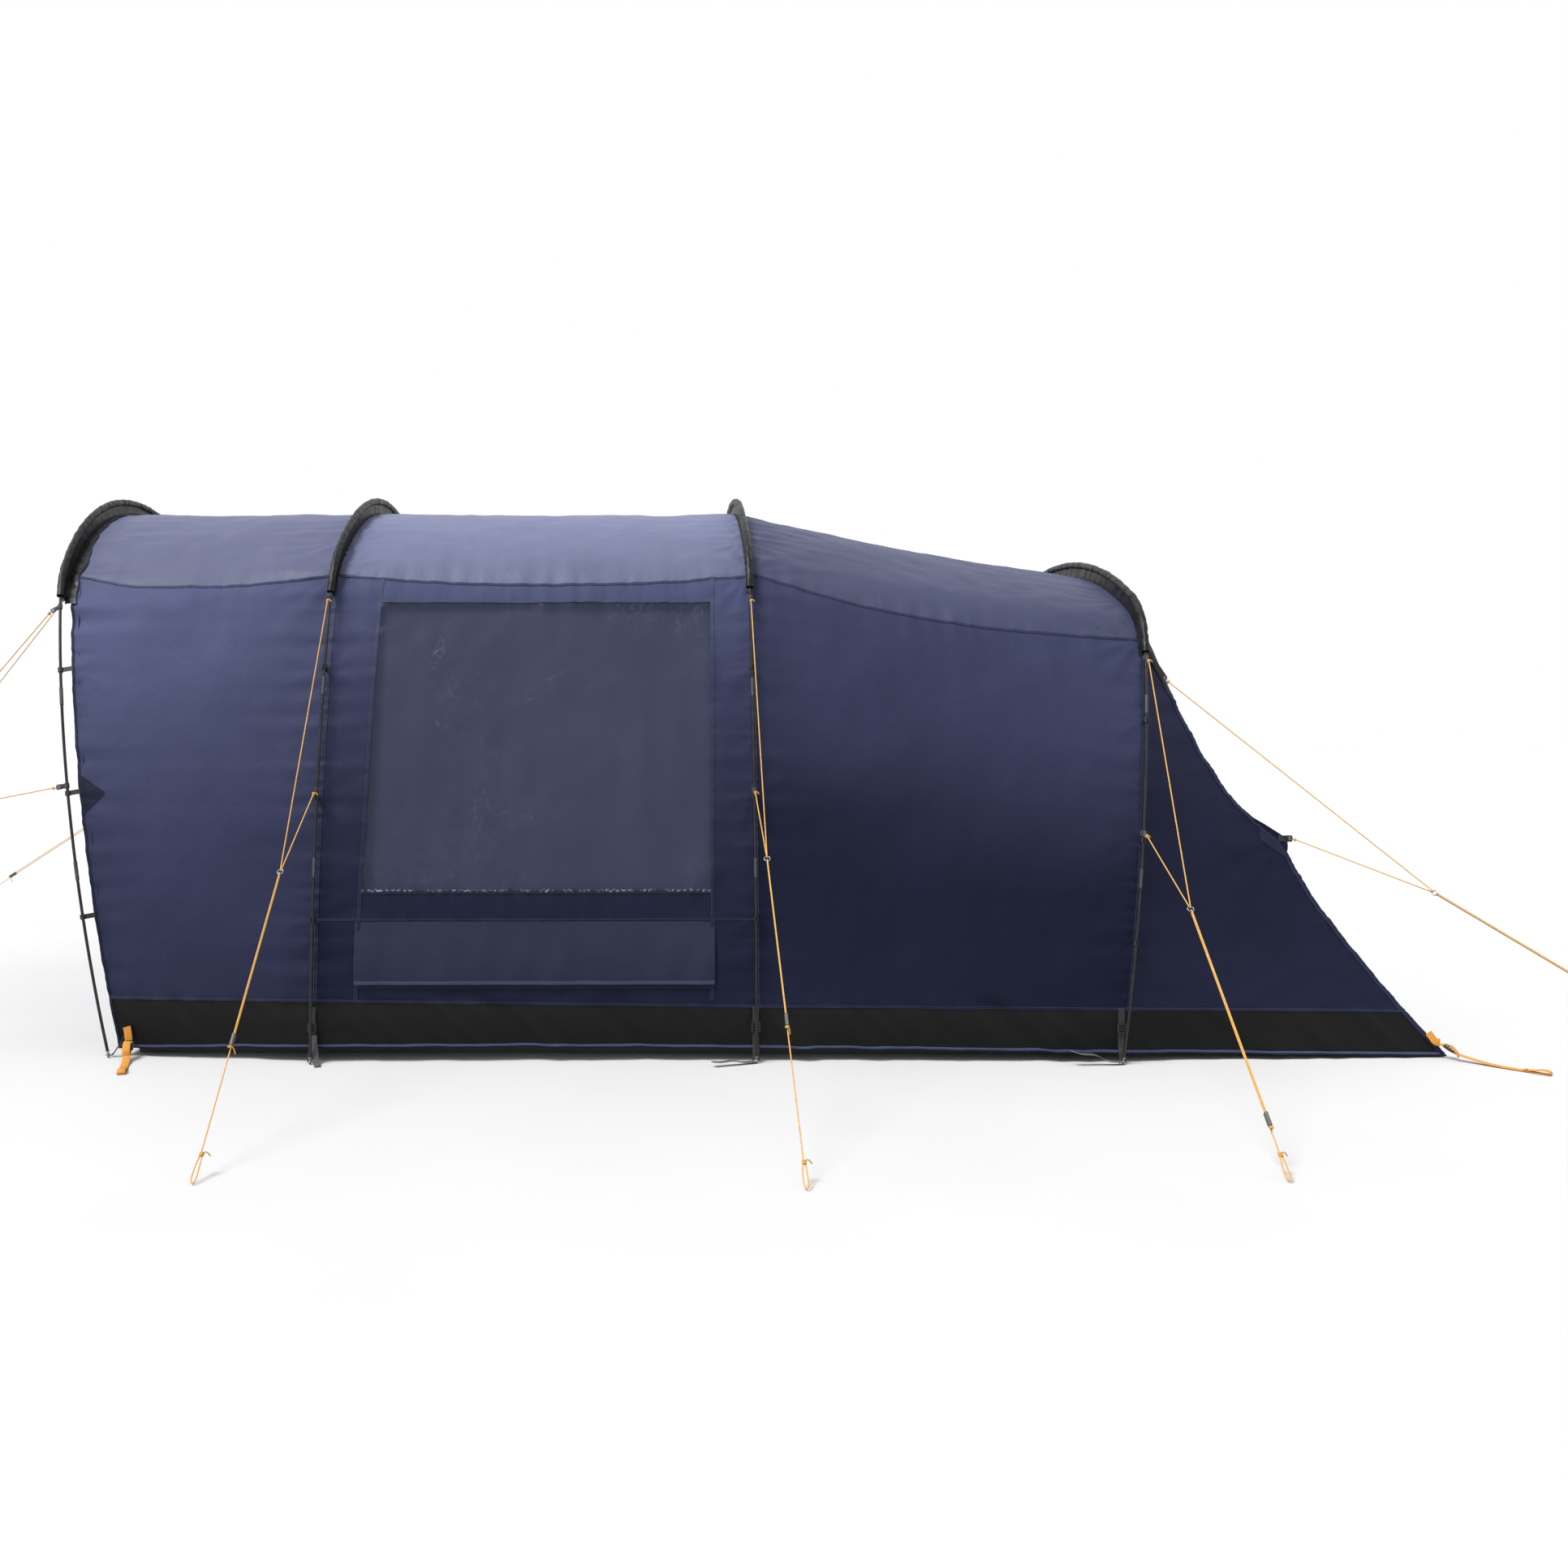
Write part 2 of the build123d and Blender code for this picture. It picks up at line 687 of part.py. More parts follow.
# ---- pole clips -----------------------------------------------------------------------
clip_z = {1: (460.0, 860.0, 1270.0), 2: (460.0, 850.0, 1280.0), 3: (460.0, 850.0, 1280.0), 4: (390.0, 715.0, 1100.0)}
clip_pieces = []
for n, hoop in hoops.items():
    for z in clip_z[n]:
        for s in (-1, 1):
            frame = hoop_frame(hoop, z, s)
            turn = 0.0
            reach = 25.4 + 6.0 * z / 1300.0
            if n == 1:
                back = Vector(1, 0, 0)
                turn = degrees(atan2(back.dot(frame.y_dir), back.dot(frame.x_dir)))
                reach = 41.0
            with BuildPart() as clip:
                with BuildSketch(frame.offset(-8)):
                    with Locations(Rotation(0, 0, turn)):
                        Circle(8.6)
                        Circle(pole_r + 0.35, mode=Mode.SUBTRACT)
                        with Locations((-7.5, 0)):
                            Rectangle(9, 6.4, mode=Mode.SUBTRACT)
                        with Locations((8.2 + (reach - 8.2) / 2, 0)):
                            Rectangle(reach - 8.2, 1.8)
                extrude(amount=16)
            clip_pieces.append(clip.part)

# ---- feet: pins, rings, straps and buckles -----------------------------------------------
pin_pieces, strap_pieces, buckle_pieces, corner_pieces = [], [], [], []


def torus(center, axis, major, minor):
    """Ring about an axis."""
    flat = Plane(origin=center, z_dir=axis)
    side = Plane(origin=center, x_dir=flat.x_dir, z_dir=flat.y_dir)
    with BuildPart() as ring:
        with BuildSketch(side):
            with Locations((major, 0)):
                Circle(minor)
        revolve(axis=Axis(center, axis))
    return ring.part


def ladder_lock(frame, width=webbing_w):
    """Three-bar buckle, flat on the frame's XY plane, webbing running along x."""
    with BuildPart() as buckle:
        with BuildSketch(frame):
            RectangleRounded(30, width + 9, 3)
            with Locations((-8.2, 0), (0.6, 0), (9.2, 0)):
                Rectangle(5.2, width + 1.5, mode=Mode.SUBTRACT)
        extrude(amount=4.2)
        fillet(buckle.edges().filter_by(lambda e: abs(e.tangent_at(0).dot(frame.z_dir)) > 0.99).group_by(SortBy.LENGTH)[-1], 1.0)
    return buckle.part


def webbing(points, x_dir, width=webbing_w, thick=webbing_t):
    """Flat strap along a polyline: the points lie in the plane whose normal is the strap's width direction."""
    origin = Vector(*points[0])
    normal = Vector(*x_dir).normalized()
    along = (Vector(*points[-1]) - origin)
    along = (along - normal * along.dot(normal)).normalized()
    plane = Plane(origin=origin, x_dir=along, z_dir=normal)
    flat = [plane.to_local_coords(Vector(*p)) for p in points]
    flat = [(p.X, p.Y) for p in flat]
    up, down = [], []
    for i, p in enumerate(flat):
        a = flat[max(i - 1, 0)]
        b = flat[min(i + 1, len(flat) - 1)]
        dx, dy = b[0] - a[0], b[1] - a[1]
        length = hypot(dx, dy)
        nx, ny = -dy / length * thick / 2, dx / length * thick / 2
        up.append((p[0] + nx, p[1] + ny))
        down.append((p[0] - nx, p[1] - ny))
    with BuildPart() as strap:
        with BuildSketch(plane):
            with BuildLine():
                Polyline(*up, *reversed(down), close=True)
            make_face()
        extrude(amount=width / 2, both=True)
    return strap.part


for n, hoop in hoops.items():
    lean = radians(hoop.lean)
    for s in (-1, 1):
        frame = hoop_frame(hoop, pole_foot_z, s)
        up = frame.z_dir
        end = frame.origin
        eye = end - up * ((end.Z - 7.4) / up.Z)
        with BuildPart() as pin:
            with BuildSketch(Plane(origin=eye + up * 6.0, z_dir=up)):
                Circle(2.6)
            extrude(amount=(end - eye).length - 6.0 + 55.0)
            with BuildSketch(Plane(origin=end - up * 4.0, z_dir=up)):
                Circle(6.2)
            extrude(amount=3.6)
            add(torus(eye, (1, 0, 0), 5.2, 2.2))
        pin_pieces.append(pin.part)
        ring_mid = eye + Vector(0, -s * 11.0, 0)
        pin_pieces.append(torus(ring_mid, (0, 0, 1), 11.0, 1.8))
        # webbing from the hem to the ring
        fabric_y = skins[n].at(skins[n].angle_at_height(60.0))[0]
        x_strap = end.X + (front_setback if n == 1 else 0.0)
        if n > 1:
            y_ring = ring_mid.Y - s * 6.0
            y_hem = s * (fabric_y + 3.6)
            y_high = s * (skins[n].at(skins[n].angle_at_height(172.0))[0] + 3.6)
            strap_pieces.append(
                webbing(
                    [(x_strap, y_high, 172.0), (x_strap, y_hem, 60.0), (x_strap, ring_mid.Y - s * 3.0, 13.0)],
                    (1, 0, 0),
                )
            )
            tail_dir = {2: (0.35, 1.0), 3: (-1.0, 0.35), 4: (-1.0, 0.1)}[n]
            reach = {2: 62.0, 3: 128.0, 4: 150.0}[n]
            size = hypot(*tail_dir)
            dx, dy = tail_dir[0] / size, s * tail_dir[1] / size
            base = (x_strap + (26.0 if n == 2 else -26.0), s * (abs(end.Y) + 2.0), 0.0)
            high = {2: 10.0, 3: 14.0, 4: 44.0}[n]
            strap_pieces.append(
                webbing(
                    [
                        (base[0], base[1], 3.0 if n != 4 else 6.0),
                        (base[0] + dx * reach * 0.5, base[1] + dy * reach * 0.5, 3.0 + high * 0.45),
                        (base[0] + dx * reach, base[1] + dy * reach, 3.0 + high),
                    ],
                    (-dy, dx, 0),
                    width=webbing_w,
                )
            )
            buckle_pieces.append(
                ladder_lock(
                    Plane(
                        origin=(x_strap, (y_hem + y_high) / 2 + s * 2.6, 112.0),
                        x_dir=(0, y_hem - y_high, -112.0),
                        z_dir=(0, s * 112.0, y_hem * s - y_high * s),
                    )
                )
            )
        else:
            # short black strap from the front corner to the ring
            strap_pieces.append(
                webbing(
                    [
                        (x_strap - 1.0, s * (fabric_y + 15.5), 62.0),
                        (x_strap - 12.5, s * (fabric_y + 15.5), 40.0),
                        (ring_mid.X + 11.0 + 4.0, ring_mid.Y, 9.0),
                    ],
                    (0, 1, 0),
                    width=14.0,
                )
            )

# orange corner straps: up the mud wall, through a buckle, out to a peg loop on the ground
corner_spec = {
    "front": dict(top=(-1707.2, 1213.5, 100.0), foot=(-1700.0, 1214.0, 52.0), loop=(-1640.0, 1432.0)),
    "rear": dict(top=(2545.3, 1213.7, 80.2), foot=(2580.0, 1222.0, 46.0), loop=(2796.0, 1440.0)),
}
for name, spec in corner_spec.items():
    for s in (-1, 1):
        tx, ty, tz = spec["top"]
        fx, fy, fz = spec["foot"]
        lx, ly = spec["loop"]
        dx, dy = lx - fx, ly - fy
        size = hypot(dx, dy)
        ux, uy = dx / size, dy / size
        mx, my = fx + ux * 46.0, fy + uy * 46.0
        pts = [
            (sx(fx), s * (fy + 3.0), fz),
            (sx(mx), s * (my + 3.0), 22.0),
            (sx(fx + dx * 0.45), s * (fy + dy * 0.45 + 3.0), 5.0),
            (sx(lx), s * (ly + 3.0), 2.2),
        ]
        corner_pieces.append(webbing(pts, (-uy, s * ux, 0), width=25.0, thick=2.4))
        if name == "front":
            corner_pieces.append(
                webbing([(sx(tx), s * (ty + 2.6), tz), (sx(fx), s * (fy + 1.6), fz + 4.0)], (1, 0, 0), width=25.0, thick=2.0)
            )
        else:
            corner_pieces.append(
                webbing(
                    [(sx(tx), s * ty, tz), (sx(fx) - 17.0, s * fy, fz + 8.0)],
                    (0.09, s * 0.957, 0.276),
                    width=2.0,
                    thick=25.0,
                )
            )
        frame = Plane(
            origin=((sx(fx) + sx(mx)) / 2, s * ((fy + my) / 2 + 3.0), (fz + 22.0) / 2 + 2.0),
            x_dir=(sx(mx) - sx(fx), s * (my - fy), 22.0 - fz),
            z_dir=Vector(sx(mx) - sx(fx), s * (my - fy), 22.0 - fz).cross(Vector(-uy, s * ux, 0)) * s,
        )
        if frame.z_dir.Z < 0:
            frame = Plane(origin=frame.origin, x_dir=frame.x_dir, z_dir=frame.z_dir * -1)
        buckle_pieces.append(ladder_lock(frame, width=25.0))

# ---- guy lines ------------------------------------------------------------------------------
def place(x, y, z):
    return Vector(sx(x), y, z)


def cord(points, radii=None):
    """Round cord along straight runs joined by tangent arcs."""
    points = [Vector(*p) for p in points]
    with BuildLine() as path:
        last = points[0]
        for a, b, c, radius in zip(points, points[1:], points[2:], radii or []):
            u, v = (b - a).normalized(), (c - b).normalized()
            half = radians(u.get_angle(v)) / 2
            reach = radius * tan(half)
            p, q = b - u * reach, b + v * reach
            middle = b + (v - u).normalized() * (radius / cos(half) - radius)
            if (p - last).length > 0.02:
                Line(last, p)
            else:
                p = last
            ThreePointArc(p, middle, q)
            last = q
        Line(last, points[-1])
    line = path.line
    with BuildPart() as piece:
        with BuildSketch(Plane(origin=line @ 0, z_dir=line % 0)):
            Circle(guy_d / 2)
        sweep(path=line)
    return piece.part


def tab(base, tip, wide, thick=2.0, width=18.0, pole=None):
    """Webbing tab from the tent to where the line is tied on, with an eyelet near its tip.

    A tab on a pole is sewn to a collar round the pole, given by the pole's cross plane."""
    direction = (tip - base).normalized()
    across = (wide - direction * wide.dot(direction)).normalized()
    frame = Plane(origin=base, x_dir=direction, z_dir=direction.cross(across))
    length = (tip - base).length
    with BuildPart() as piece:
        with BuildSketch(frame):
            with Locations((length / 2, 0)):
                RectangleRounded(length, width, 3.0)
            with Locations((length - 8.0, 0)):
                Circle(3.2, mode=Mode.SUBTRACT)
        extrude(amount=thick / 2, both=True)
        if pole is not None:
            with BuildSketch(pole.offset(-8)):
                Circle(pole_r + 2.4)
            extrude(amount=16)
            with BuildSketch(pole.offset(-14)):
                Circle(pole_r + 0.35)
            extrude(amount=28, mode=Mode.SUBTRACT)
    return piece.part


class Guy:
    """One guy line.

    A bridle runs from one tab through the steel ring to the other tab. The
    main line starts at the runner, goes up round the ring, comes back down
    through the runner and ends in a knotted peg loop on the ground."""

    def __init__(self, tips, ring, loop, runner_at, knot_at, across=None):
        self.tips, self.ring, self.loop = tips, ring, loop
        self.line = (loop - ring).normalized()
        self.length = (loop - ring).length
        if across is None:
            across = (tips[0] - ring).cross(tips[1] - ring)
        across = across - self.line * across.dot(self.line)
        self.across = across.normalized()
        self.normal = self.line.cross(self.across).normalized()
        if self.normal.Z < 0:
            self.normal = self.normal * -1
        self.runner_s = runner_at * self.length
        self.knot_s = knot_at * self.length

    def on(self, s, side=0.0, off=0.0):
        return self.ring + self.line * s + self.across * side + self.normal * off

    def bridle(self):
        turn = strand_gap / 2
        top = self.on(-ring_major)
        if len(self.tips) == 1:
            way = (top - self.tips[0]).normalized()
            return [self.tips[0] + way * 2.5, top - way * (ring_minor + 0.4)], None
        corners = []
        for tip in self.tips:
            d = top - tip
            d = (d - self.across * d.dot(self.across)).normalized()
            n = (self.line - d * self.line.dot(d)).normalized()
            both = (n + self.line).normalized()
            corners.append(top + both * (turn / both.dot(self.line)))
        a, b = self.tips
        start = a + (corners[0] - a).normalized() * 2.5
        end = b + (corners[1] - b).normalized() * 2.5
        return [start, corners[0], corners[1], end], [turn - 0.1, turn - 0.1]

    def main(self):
        turn = strand_gap / 2
        far = self.length - guy_d / 2
        points = [
            self.on(self.runner_s + runner_len / 2 - 1.0, 0, turn),
            self.on(ring_major - turn, 0, turn),
            self.on(ring_major - turn, 0, -turn),
            self.on(self.knot_s, 0, -turn),
            self.on(far, loop_half, 0),
            self.on(far, -loop_half, 0),
            self.on(self.knot_s + 8.0, -guy_d - 0.8, -turn),
        ]
        return points, [turn - 0.03, turn - 0.03, 900.0, loop_half - 0.2, loop_half - 0.2]

    def solids(self):
        points, radii = self.bridle()
        pieces = [cord(points, radii)]
        points, radii = self.main()
        pieces.append(cord(points, radii))
        return pieces

    def runner(self):
        """Line runner: a bar with a bore for each strand and a window at the lower half of the main strand."""
        center = self.on(self.runner_s)
        frame = Plane(origin=center - self.line * (runner_len / 2), x_dir=self.normal, z_dir=self.line)
        window = Plane(origin=center - self.across * 8.0, x_dir=self.line, z_dir=self.across)
        spot = window.to_local_coords(self.on(self.runner_s + 7.0, 0, -strand_gap / 2))
        with BuildPart() as bar:
            with BuildSketch(frame):
                RectangleRounded(runner_w, runner_t, 2.4)
            extrude(amount=runner_len)
            chamfer(bar.faces().sort_by(lambda f: (f.center() - center).dot(self.line))[0].edges(), 0.7)
            with BuildSketch(frame):
                with Locations((strand_gap / 2, 0), (-strand_gap / 2, 0)):
                    Circle(guy_d / 2 + 0.4)
            extrude(amount=runner_len, mode=Mode.SUBTRACT)
            with BuildSketch(window):
                with Locations((spot.X, spot.Y)):
                    Rectangle(12.0, 2 * (guy_d / 2 + 0.4))
            extrude(amount=16.0, mode=Mode.SUBTRACT)
        return bar.part

    def travel(self):
        return self.runner_s - runner_len / 2 - 45.0


def pole_tip(hoop, z, side, ring, reach=30.0, off=5.2):
    """Tab from the pole towards a ring: base and tip."""
    frame = hoop_frame(hoop, z, side)
    way = (ring - frame.origin)
    way = (way - frame.z_dir * way.dot(frame.z_dir)).normalized() * 0.55 + (ring - frame.origin).normalized() * 0.45
    way = way.normalized()
    return frame.origin + way * off, frame.origin + way * (off + reach), frame


guy_spec = {
    "arch_1": dict(hoop=1, ring=(-2537.0, 1230.0, 764.0), loop=(-3765.0, 1445.0), far_loop=(-3765.0, 1445.0), upper=1492.0, lower=885.0, runner=0.62, knot=0.925),
    "arch_2": dict(hoop=2, ring=(-1085.0, 1654.0, 657.0), loop=(-1085.0, 2415.0), far_loop=(-1085.0, 2270.0), upper=1520.0, lower=872.0, runner=0.592, knot=0.914),
    "arch_3": dict(hoop=3, ring=(344.0, 1680.0, 698.0), loop=(370.0, 2453.0), far_loop=(360.0, 2270.0), upper=1520.0, lower=872.0, runner=0.543, knot=0.925),
    "arch_4": dict(hoop=4, ring=(1528.0, 1811.0, 570.0), loop=(1529.0, 2400.0), far_loop=(1529.0, 2270.0), upper=1310.0, lower=737.0, runner=0.80, knot=0.905),
}
guys, tab_pieces, ring_pieces = {}, [], []
for name, spec in guy_spec.items():
    hoop = hoops[spec["hoop"]]
    for s, side_name in ((-1, "left"), (1, "right")):
        rx, ry, rz = spec["ring"]
        ring = place(rx, s * ry, rz)
        lx, ly = spec["loop"] if s < 0 else spec["far_loop"]
        tips = []
        for z in (spec["upper"], spec["lower"]):
            base, tip, cross = pole_tip(hoop, z, s, ring)
            tab_pieces.append(tab(base, tip, cross.z_dir, pole=cross))
            tips.append(tip)
        guys[name, side_name] = Guy(
            tips, ring, place(lx, s * ly, guy_d / 2 + 2.8), spec["runner"], spec["knot"]
        )

for s, side_name in ((-1, "left"), (1, "right")):
    ring = place(2370.0, s * 1550.0, 581.0)
    upper_base, upper_tip = place(1684.0, s * 1070.0, 1326.0), place(1741.0, s * 1078.0, 1236.0)
    lower_base, lower_tip = place(2104.0, s * 1114.5, 706.0), place(2146.0, s * 1122.0, 706.0)
    tab_pieces.append(tab(upper_base, upper_tip, Vector(0.45, 0, 0.89)))
    tab_pieces.append(tab(lower_base, lower_tip, Vector(-0.5, 0, 0.86), width=22.0))
    loop = place(3035.0, -2395.0, guy_d / 2 + 2.8) if s < 0 else place(3035.0, 2240.0, guy_d / 2 + 2.8)
    guys["rear", side_name] = Guy([upper_tip, lower_tip], ring, loop, 0.60, 0.925)

crown_top = hoops[1].space(0.0, hoops[1].crown)
crown_loop = place(-3688.0, 0.0, guy_d / 2 + 2.8)
crown_way = (crown_loop - crown_top).normalized()
crown_out = Vector(crown_way.Z, 0, -crown_way.X)
crown_base = crown_top + crown_out * (sleeve_r + 1.3) - crown_way * 4.0
crown_tip = crown_base + crown_way * 30.0
tab_pieces.append(tab(crown_base, crown_tip, Vector(0, 1, 0)))
crown_ring = crown_tip + (crown_loop - crown_tip) * 0.56
guys["crown", "centre"] = Guy([crown_tip], crown_ring, crown_loop, 0.58, 0.92, across=Vector(0, 1, 0))

for guy in guys.values():
    ring_pieces.append(torus(guy.ring, guy.normal, ring_major, ring_minor))

# ---- files -------------------------------------------------------------------------------------
write(roof_panel_front.part, "roof_panel_front")
write(roof_panel_middle.part, "roof_panel_middle")
write(roof_panel_rear.part, "roof_panel_rear")
for s, side_name in ((-1, "left"), (1, "right")):
    write(side_wall_front[s], f"side_wall_front_{side_name}")
    write(side_wall_window[s], f"side_wall_window_{side_name}")
    write(side_wall_rear[s], f"side_wall_rear_{side_name}")
    write(tail_wall[s], f"tail_wall_{side_name}")
    write(door_flap[s], f"door_flap_{side_name}")
    write(curtain[s], f"curtain_{side_name}")
    write(vent_flap[s], f"vent_flap_{side_name}")
write(tail_panel.part, "tail_panel")
write(group("mud_wall", mud_pieces), "mud_wall")
write(front_wall.part, "front_wall")
write(group("window_film", window_film.values()), "window_film")
write(group("vent_mesh", vent_mesh_piece.values()), "vent_mesh")
write(group("groundsheet", groundsheet_pieces), "groundsheet")
write(bedroom_shell.part, "bedroom_shell")
write(bedroom_door.part, "bedroom_door")
write(group("bedroom_hangers", hanger_pieces), "bedroom_hangers")
for n in hoops:
    write(group(f"pole_{n}", poles[n]), f"pole_{n}")
write(group("pole_ferrules", ferrules), "pole_ferrules")
write(group("shock_cords", elastics), "shock_cords")
write(group("pole_sleeves", sleeves), "pole_sleeves")
write(group("pole_clips", clip_pieces), "pole_clips")
write(group("pole_end_pins_and_rings", pin_pieces), "pole_end_pins_and_rings")
write(group("foot_straps", strap_pieces), "foot_straps")
write(group("corner_straps", corner_pieces), "corner_straps")
write(group("ladder_lock_buckles", buckle_pieces), "ladder_lock_buckles")
write(group("guy_tabs", tab_pieces), "guy_tabs")
write(group("guy_rings", ring_pieces), "guy_rings")
write(door_zip_slider, "door_zip_slider")
write(bedroom_zip_slider, "bedroom_zip_slider")
for name in ("arch_1", "arch_2", "arch_3", "arch_4", "rear"):
    write(
        group(f"guy_lines_{name}", guys[name, "left"].solids() + guys[name, "right"].solids()),
        f"guy_lines_{name}",
    )
write(group("guy_line_crown", guys["crown", "centre"].solids()), "guy_line_crown")
for (name, side_name), guy in guys.items():
    write(guy.runner(), f"guy_runner_{name}" + ("" if side_name == "centre" else f"_{side_name}"))

print("nodes", len(written))
for (name, side_name), guy in guys.items():
    print(
        "guy", name, side_name,
        "ring", [round(v, 1) for v in guy.ring], "loop", [round(v, 1) for v in guy.loop],
        "tips", [[round(v, 1) for v in t] for t in guy.tips],
        "line", [round(v, 4) for v in guy.line], "normal", [round(v, 4) for v in guy.normal],
        "runner_s", round(guy.runner_s, 1), "knot_s", round(guy.knot_s, 1), "travel", round(guy.travel(), 1),
    )
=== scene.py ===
import bpy
import json
import math
import numpy as np
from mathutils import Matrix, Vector

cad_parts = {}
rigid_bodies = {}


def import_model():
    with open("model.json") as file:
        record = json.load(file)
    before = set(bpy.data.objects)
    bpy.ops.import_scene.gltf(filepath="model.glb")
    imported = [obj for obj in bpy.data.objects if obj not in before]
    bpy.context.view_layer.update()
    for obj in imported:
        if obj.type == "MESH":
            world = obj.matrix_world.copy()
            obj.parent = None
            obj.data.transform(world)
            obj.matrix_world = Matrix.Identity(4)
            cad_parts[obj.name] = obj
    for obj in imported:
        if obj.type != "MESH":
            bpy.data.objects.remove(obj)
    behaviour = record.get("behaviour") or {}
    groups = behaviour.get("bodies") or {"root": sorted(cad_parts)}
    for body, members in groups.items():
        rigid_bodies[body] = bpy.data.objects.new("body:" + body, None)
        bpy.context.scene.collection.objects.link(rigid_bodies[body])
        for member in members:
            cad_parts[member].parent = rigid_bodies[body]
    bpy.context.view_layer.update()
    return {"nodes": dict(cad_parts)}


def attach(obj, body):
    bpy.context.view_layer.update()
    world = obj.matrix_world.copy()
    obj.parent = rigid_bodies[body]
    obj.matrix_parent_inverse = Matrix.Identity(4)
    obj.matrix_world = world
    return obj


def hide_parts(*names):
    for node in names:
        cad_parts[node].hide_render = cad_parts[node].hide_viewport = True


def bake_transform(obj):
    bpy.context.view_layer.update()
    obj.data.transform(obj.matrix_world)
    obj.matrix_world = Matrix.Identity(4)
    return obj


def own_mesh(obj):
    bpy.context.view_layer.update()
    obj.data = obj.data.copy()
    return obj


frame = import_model()

scene = bpy.context.scene
scene.view_settings.view_transform = "Standard"
scene.view_settings.look = "None"

# ------------------------------------------------------------------ the shape
OX = 0.3293                       # station of the row frame's origin
STEP = 0.0105  # spacing of the cloth grids
SKIN = 0.001                      # middle of the cloth inside the skin line

HOOPS = {
    1: (-1.764, -10.1, 1.218, -5.3, 24.35, 45.8, 0.356, 2.020),
    2: (-1.085, 0.0, 1.306, 0.1, 20.4, 55.0, 0.360, 1.990),
    3: (0.344, 0.0, 1.292, 0.5, 20.4, 57.5, 0.370, 1.988),
    4: (1.515, 6.0, 1.306, -3.6, 19.0, 66.0, 0.343, 1.738),
}
LEG_GAP, ROOF_GAP = 0.030, 0.050


class Hoop:
    """Leg, shoulder and roof arcs. t runs 0..3 from the ground to the crown."""

    def __init__(self, x, lean, w, a0, a1, a2, rb, crown):
        self.x, self.lean = x - OX, math.radians(lean)
        a0, a1, a2 = (math.radians(v) for v in (a0, a1, a2))
        self.a0 = a0
        k = (math.sin(a1) - math.sin(a0)) / (a1 - a0)
        m = (math.cos(a0) - math.cos(a1)) / (a1 - a0)
        q = (1 - math.sin(a2)) / math.cos(a2)
        leg = (
            crown - rb * (math.sin(a2) - math.sin(a1)) - (w - rb * (math.cos(a1) - math.cos(a2))) * q
        ) / (k - m * q)
        ra = leg / (a1 - a0)
        rc = (w - leg * m - rb * (math.cos(a1) - math.cos(a2))) / math.cos(a2)
        self.A = np.array([a0, a1, a2])
        self.B = np.array([a1, a2, math.pi / 2])
        self.R = np.array([ra, rb, rc])
        ys, zs = [w], [0.0]
        for a, b, r in zip(self.A, self.B, self.R):
            ys.append(ys[-1] + r * (math.cos(b) - math.cos(a)))
            zs.append(zs[-1] + r * (math.sin(b) - math.sin(a)))
        self.Y, self.Z = np.array(ys), np.array(zs)
        self.L = np.concatenate([[0], np.cumsum((self.B - self.A) * self.R)])

    def flat(self, t, inset=0.0):
        t = np.asarray(t, float)
        i = np.clip(np.floor(t).astype(int), 0, 2)
        a = self.A[i]
        e = a + (t - i) * (self.B[i] - a)
        y = self.Y[i] + self.R[i] * (np.cos(e) - np.cos(a)) - inset * np.cos(e)
        z = self.Z[i] + self.R[i] * (np.sin(e) - np.sin(a)) - inset * np.sin(e)
        return y, z, e

    def length(self, t):
        t = np.asarray(t, float)
        i = np.clip(np.floor(t).astype(int), 0, 2)
        return self.L[i] + (t - i) * (self.B[i] - self.A[i]) * self.R[i]

    def at_length(self, s):
        s = np.asarray(s, float)
        i = np.clip(np.searchsorted(self.L, s, side="right") - 1, 0, 2)
        return i + (s - self.L[i]) / ((self.B[i] - self.A[i]) * self.R[i])

    def space(self, y, z, setback=0.0):
        y, z = np.broadcast_arrays(np.asarray(y, float), np.asarray(z, float))
        c, s = math.cos(self.lean), math.sin(self.lean)
        return np.stack([self.x + setback / c + z * s, y, z * c], -1)

    def point(self, t, side, inset=0.0):
        y, z, _ = self.flat(t, inset)
        return self.space(side * y, z)

    def t_at_z(self, zz):
        zz = np.asarray(zz, float)
        lo, hi = np.zeros_like(zz), np.full_like(zz, 3.0)
        for _ in range(40):
            mid = (lo + hi) / 2
            z = self.flat(mid)[1] * math.cos(self.lean)
            lo, hi = np.where(z < zz, mid, lo), np.where(z < zz, hi, mid)
        return (lo + hi) / 2

    def inward(self, t, side):
        """Unit vector from the line towards the middle of the tent, in the hoop's plane."""
        _, _, e = self.flat(t)
        c, s = math.cos(self.lean), math.sin(self.lean)
        return np.stack([-np.sin(e) * s, -side * np.cos(e), -np.sin(e) * c], -1)


POLE = {n: Hoop(*v) for n, v in HOOPS.items()}
CLOTH = {
    n: Hoop(x, lean, w - LEG_GAP, a0, a1, a2, rb - 0.035, crown - ROOF_GAP)
    for n, (x, lean, w, a0, a1, a2, rb, crown) in HOOPS.items()
}


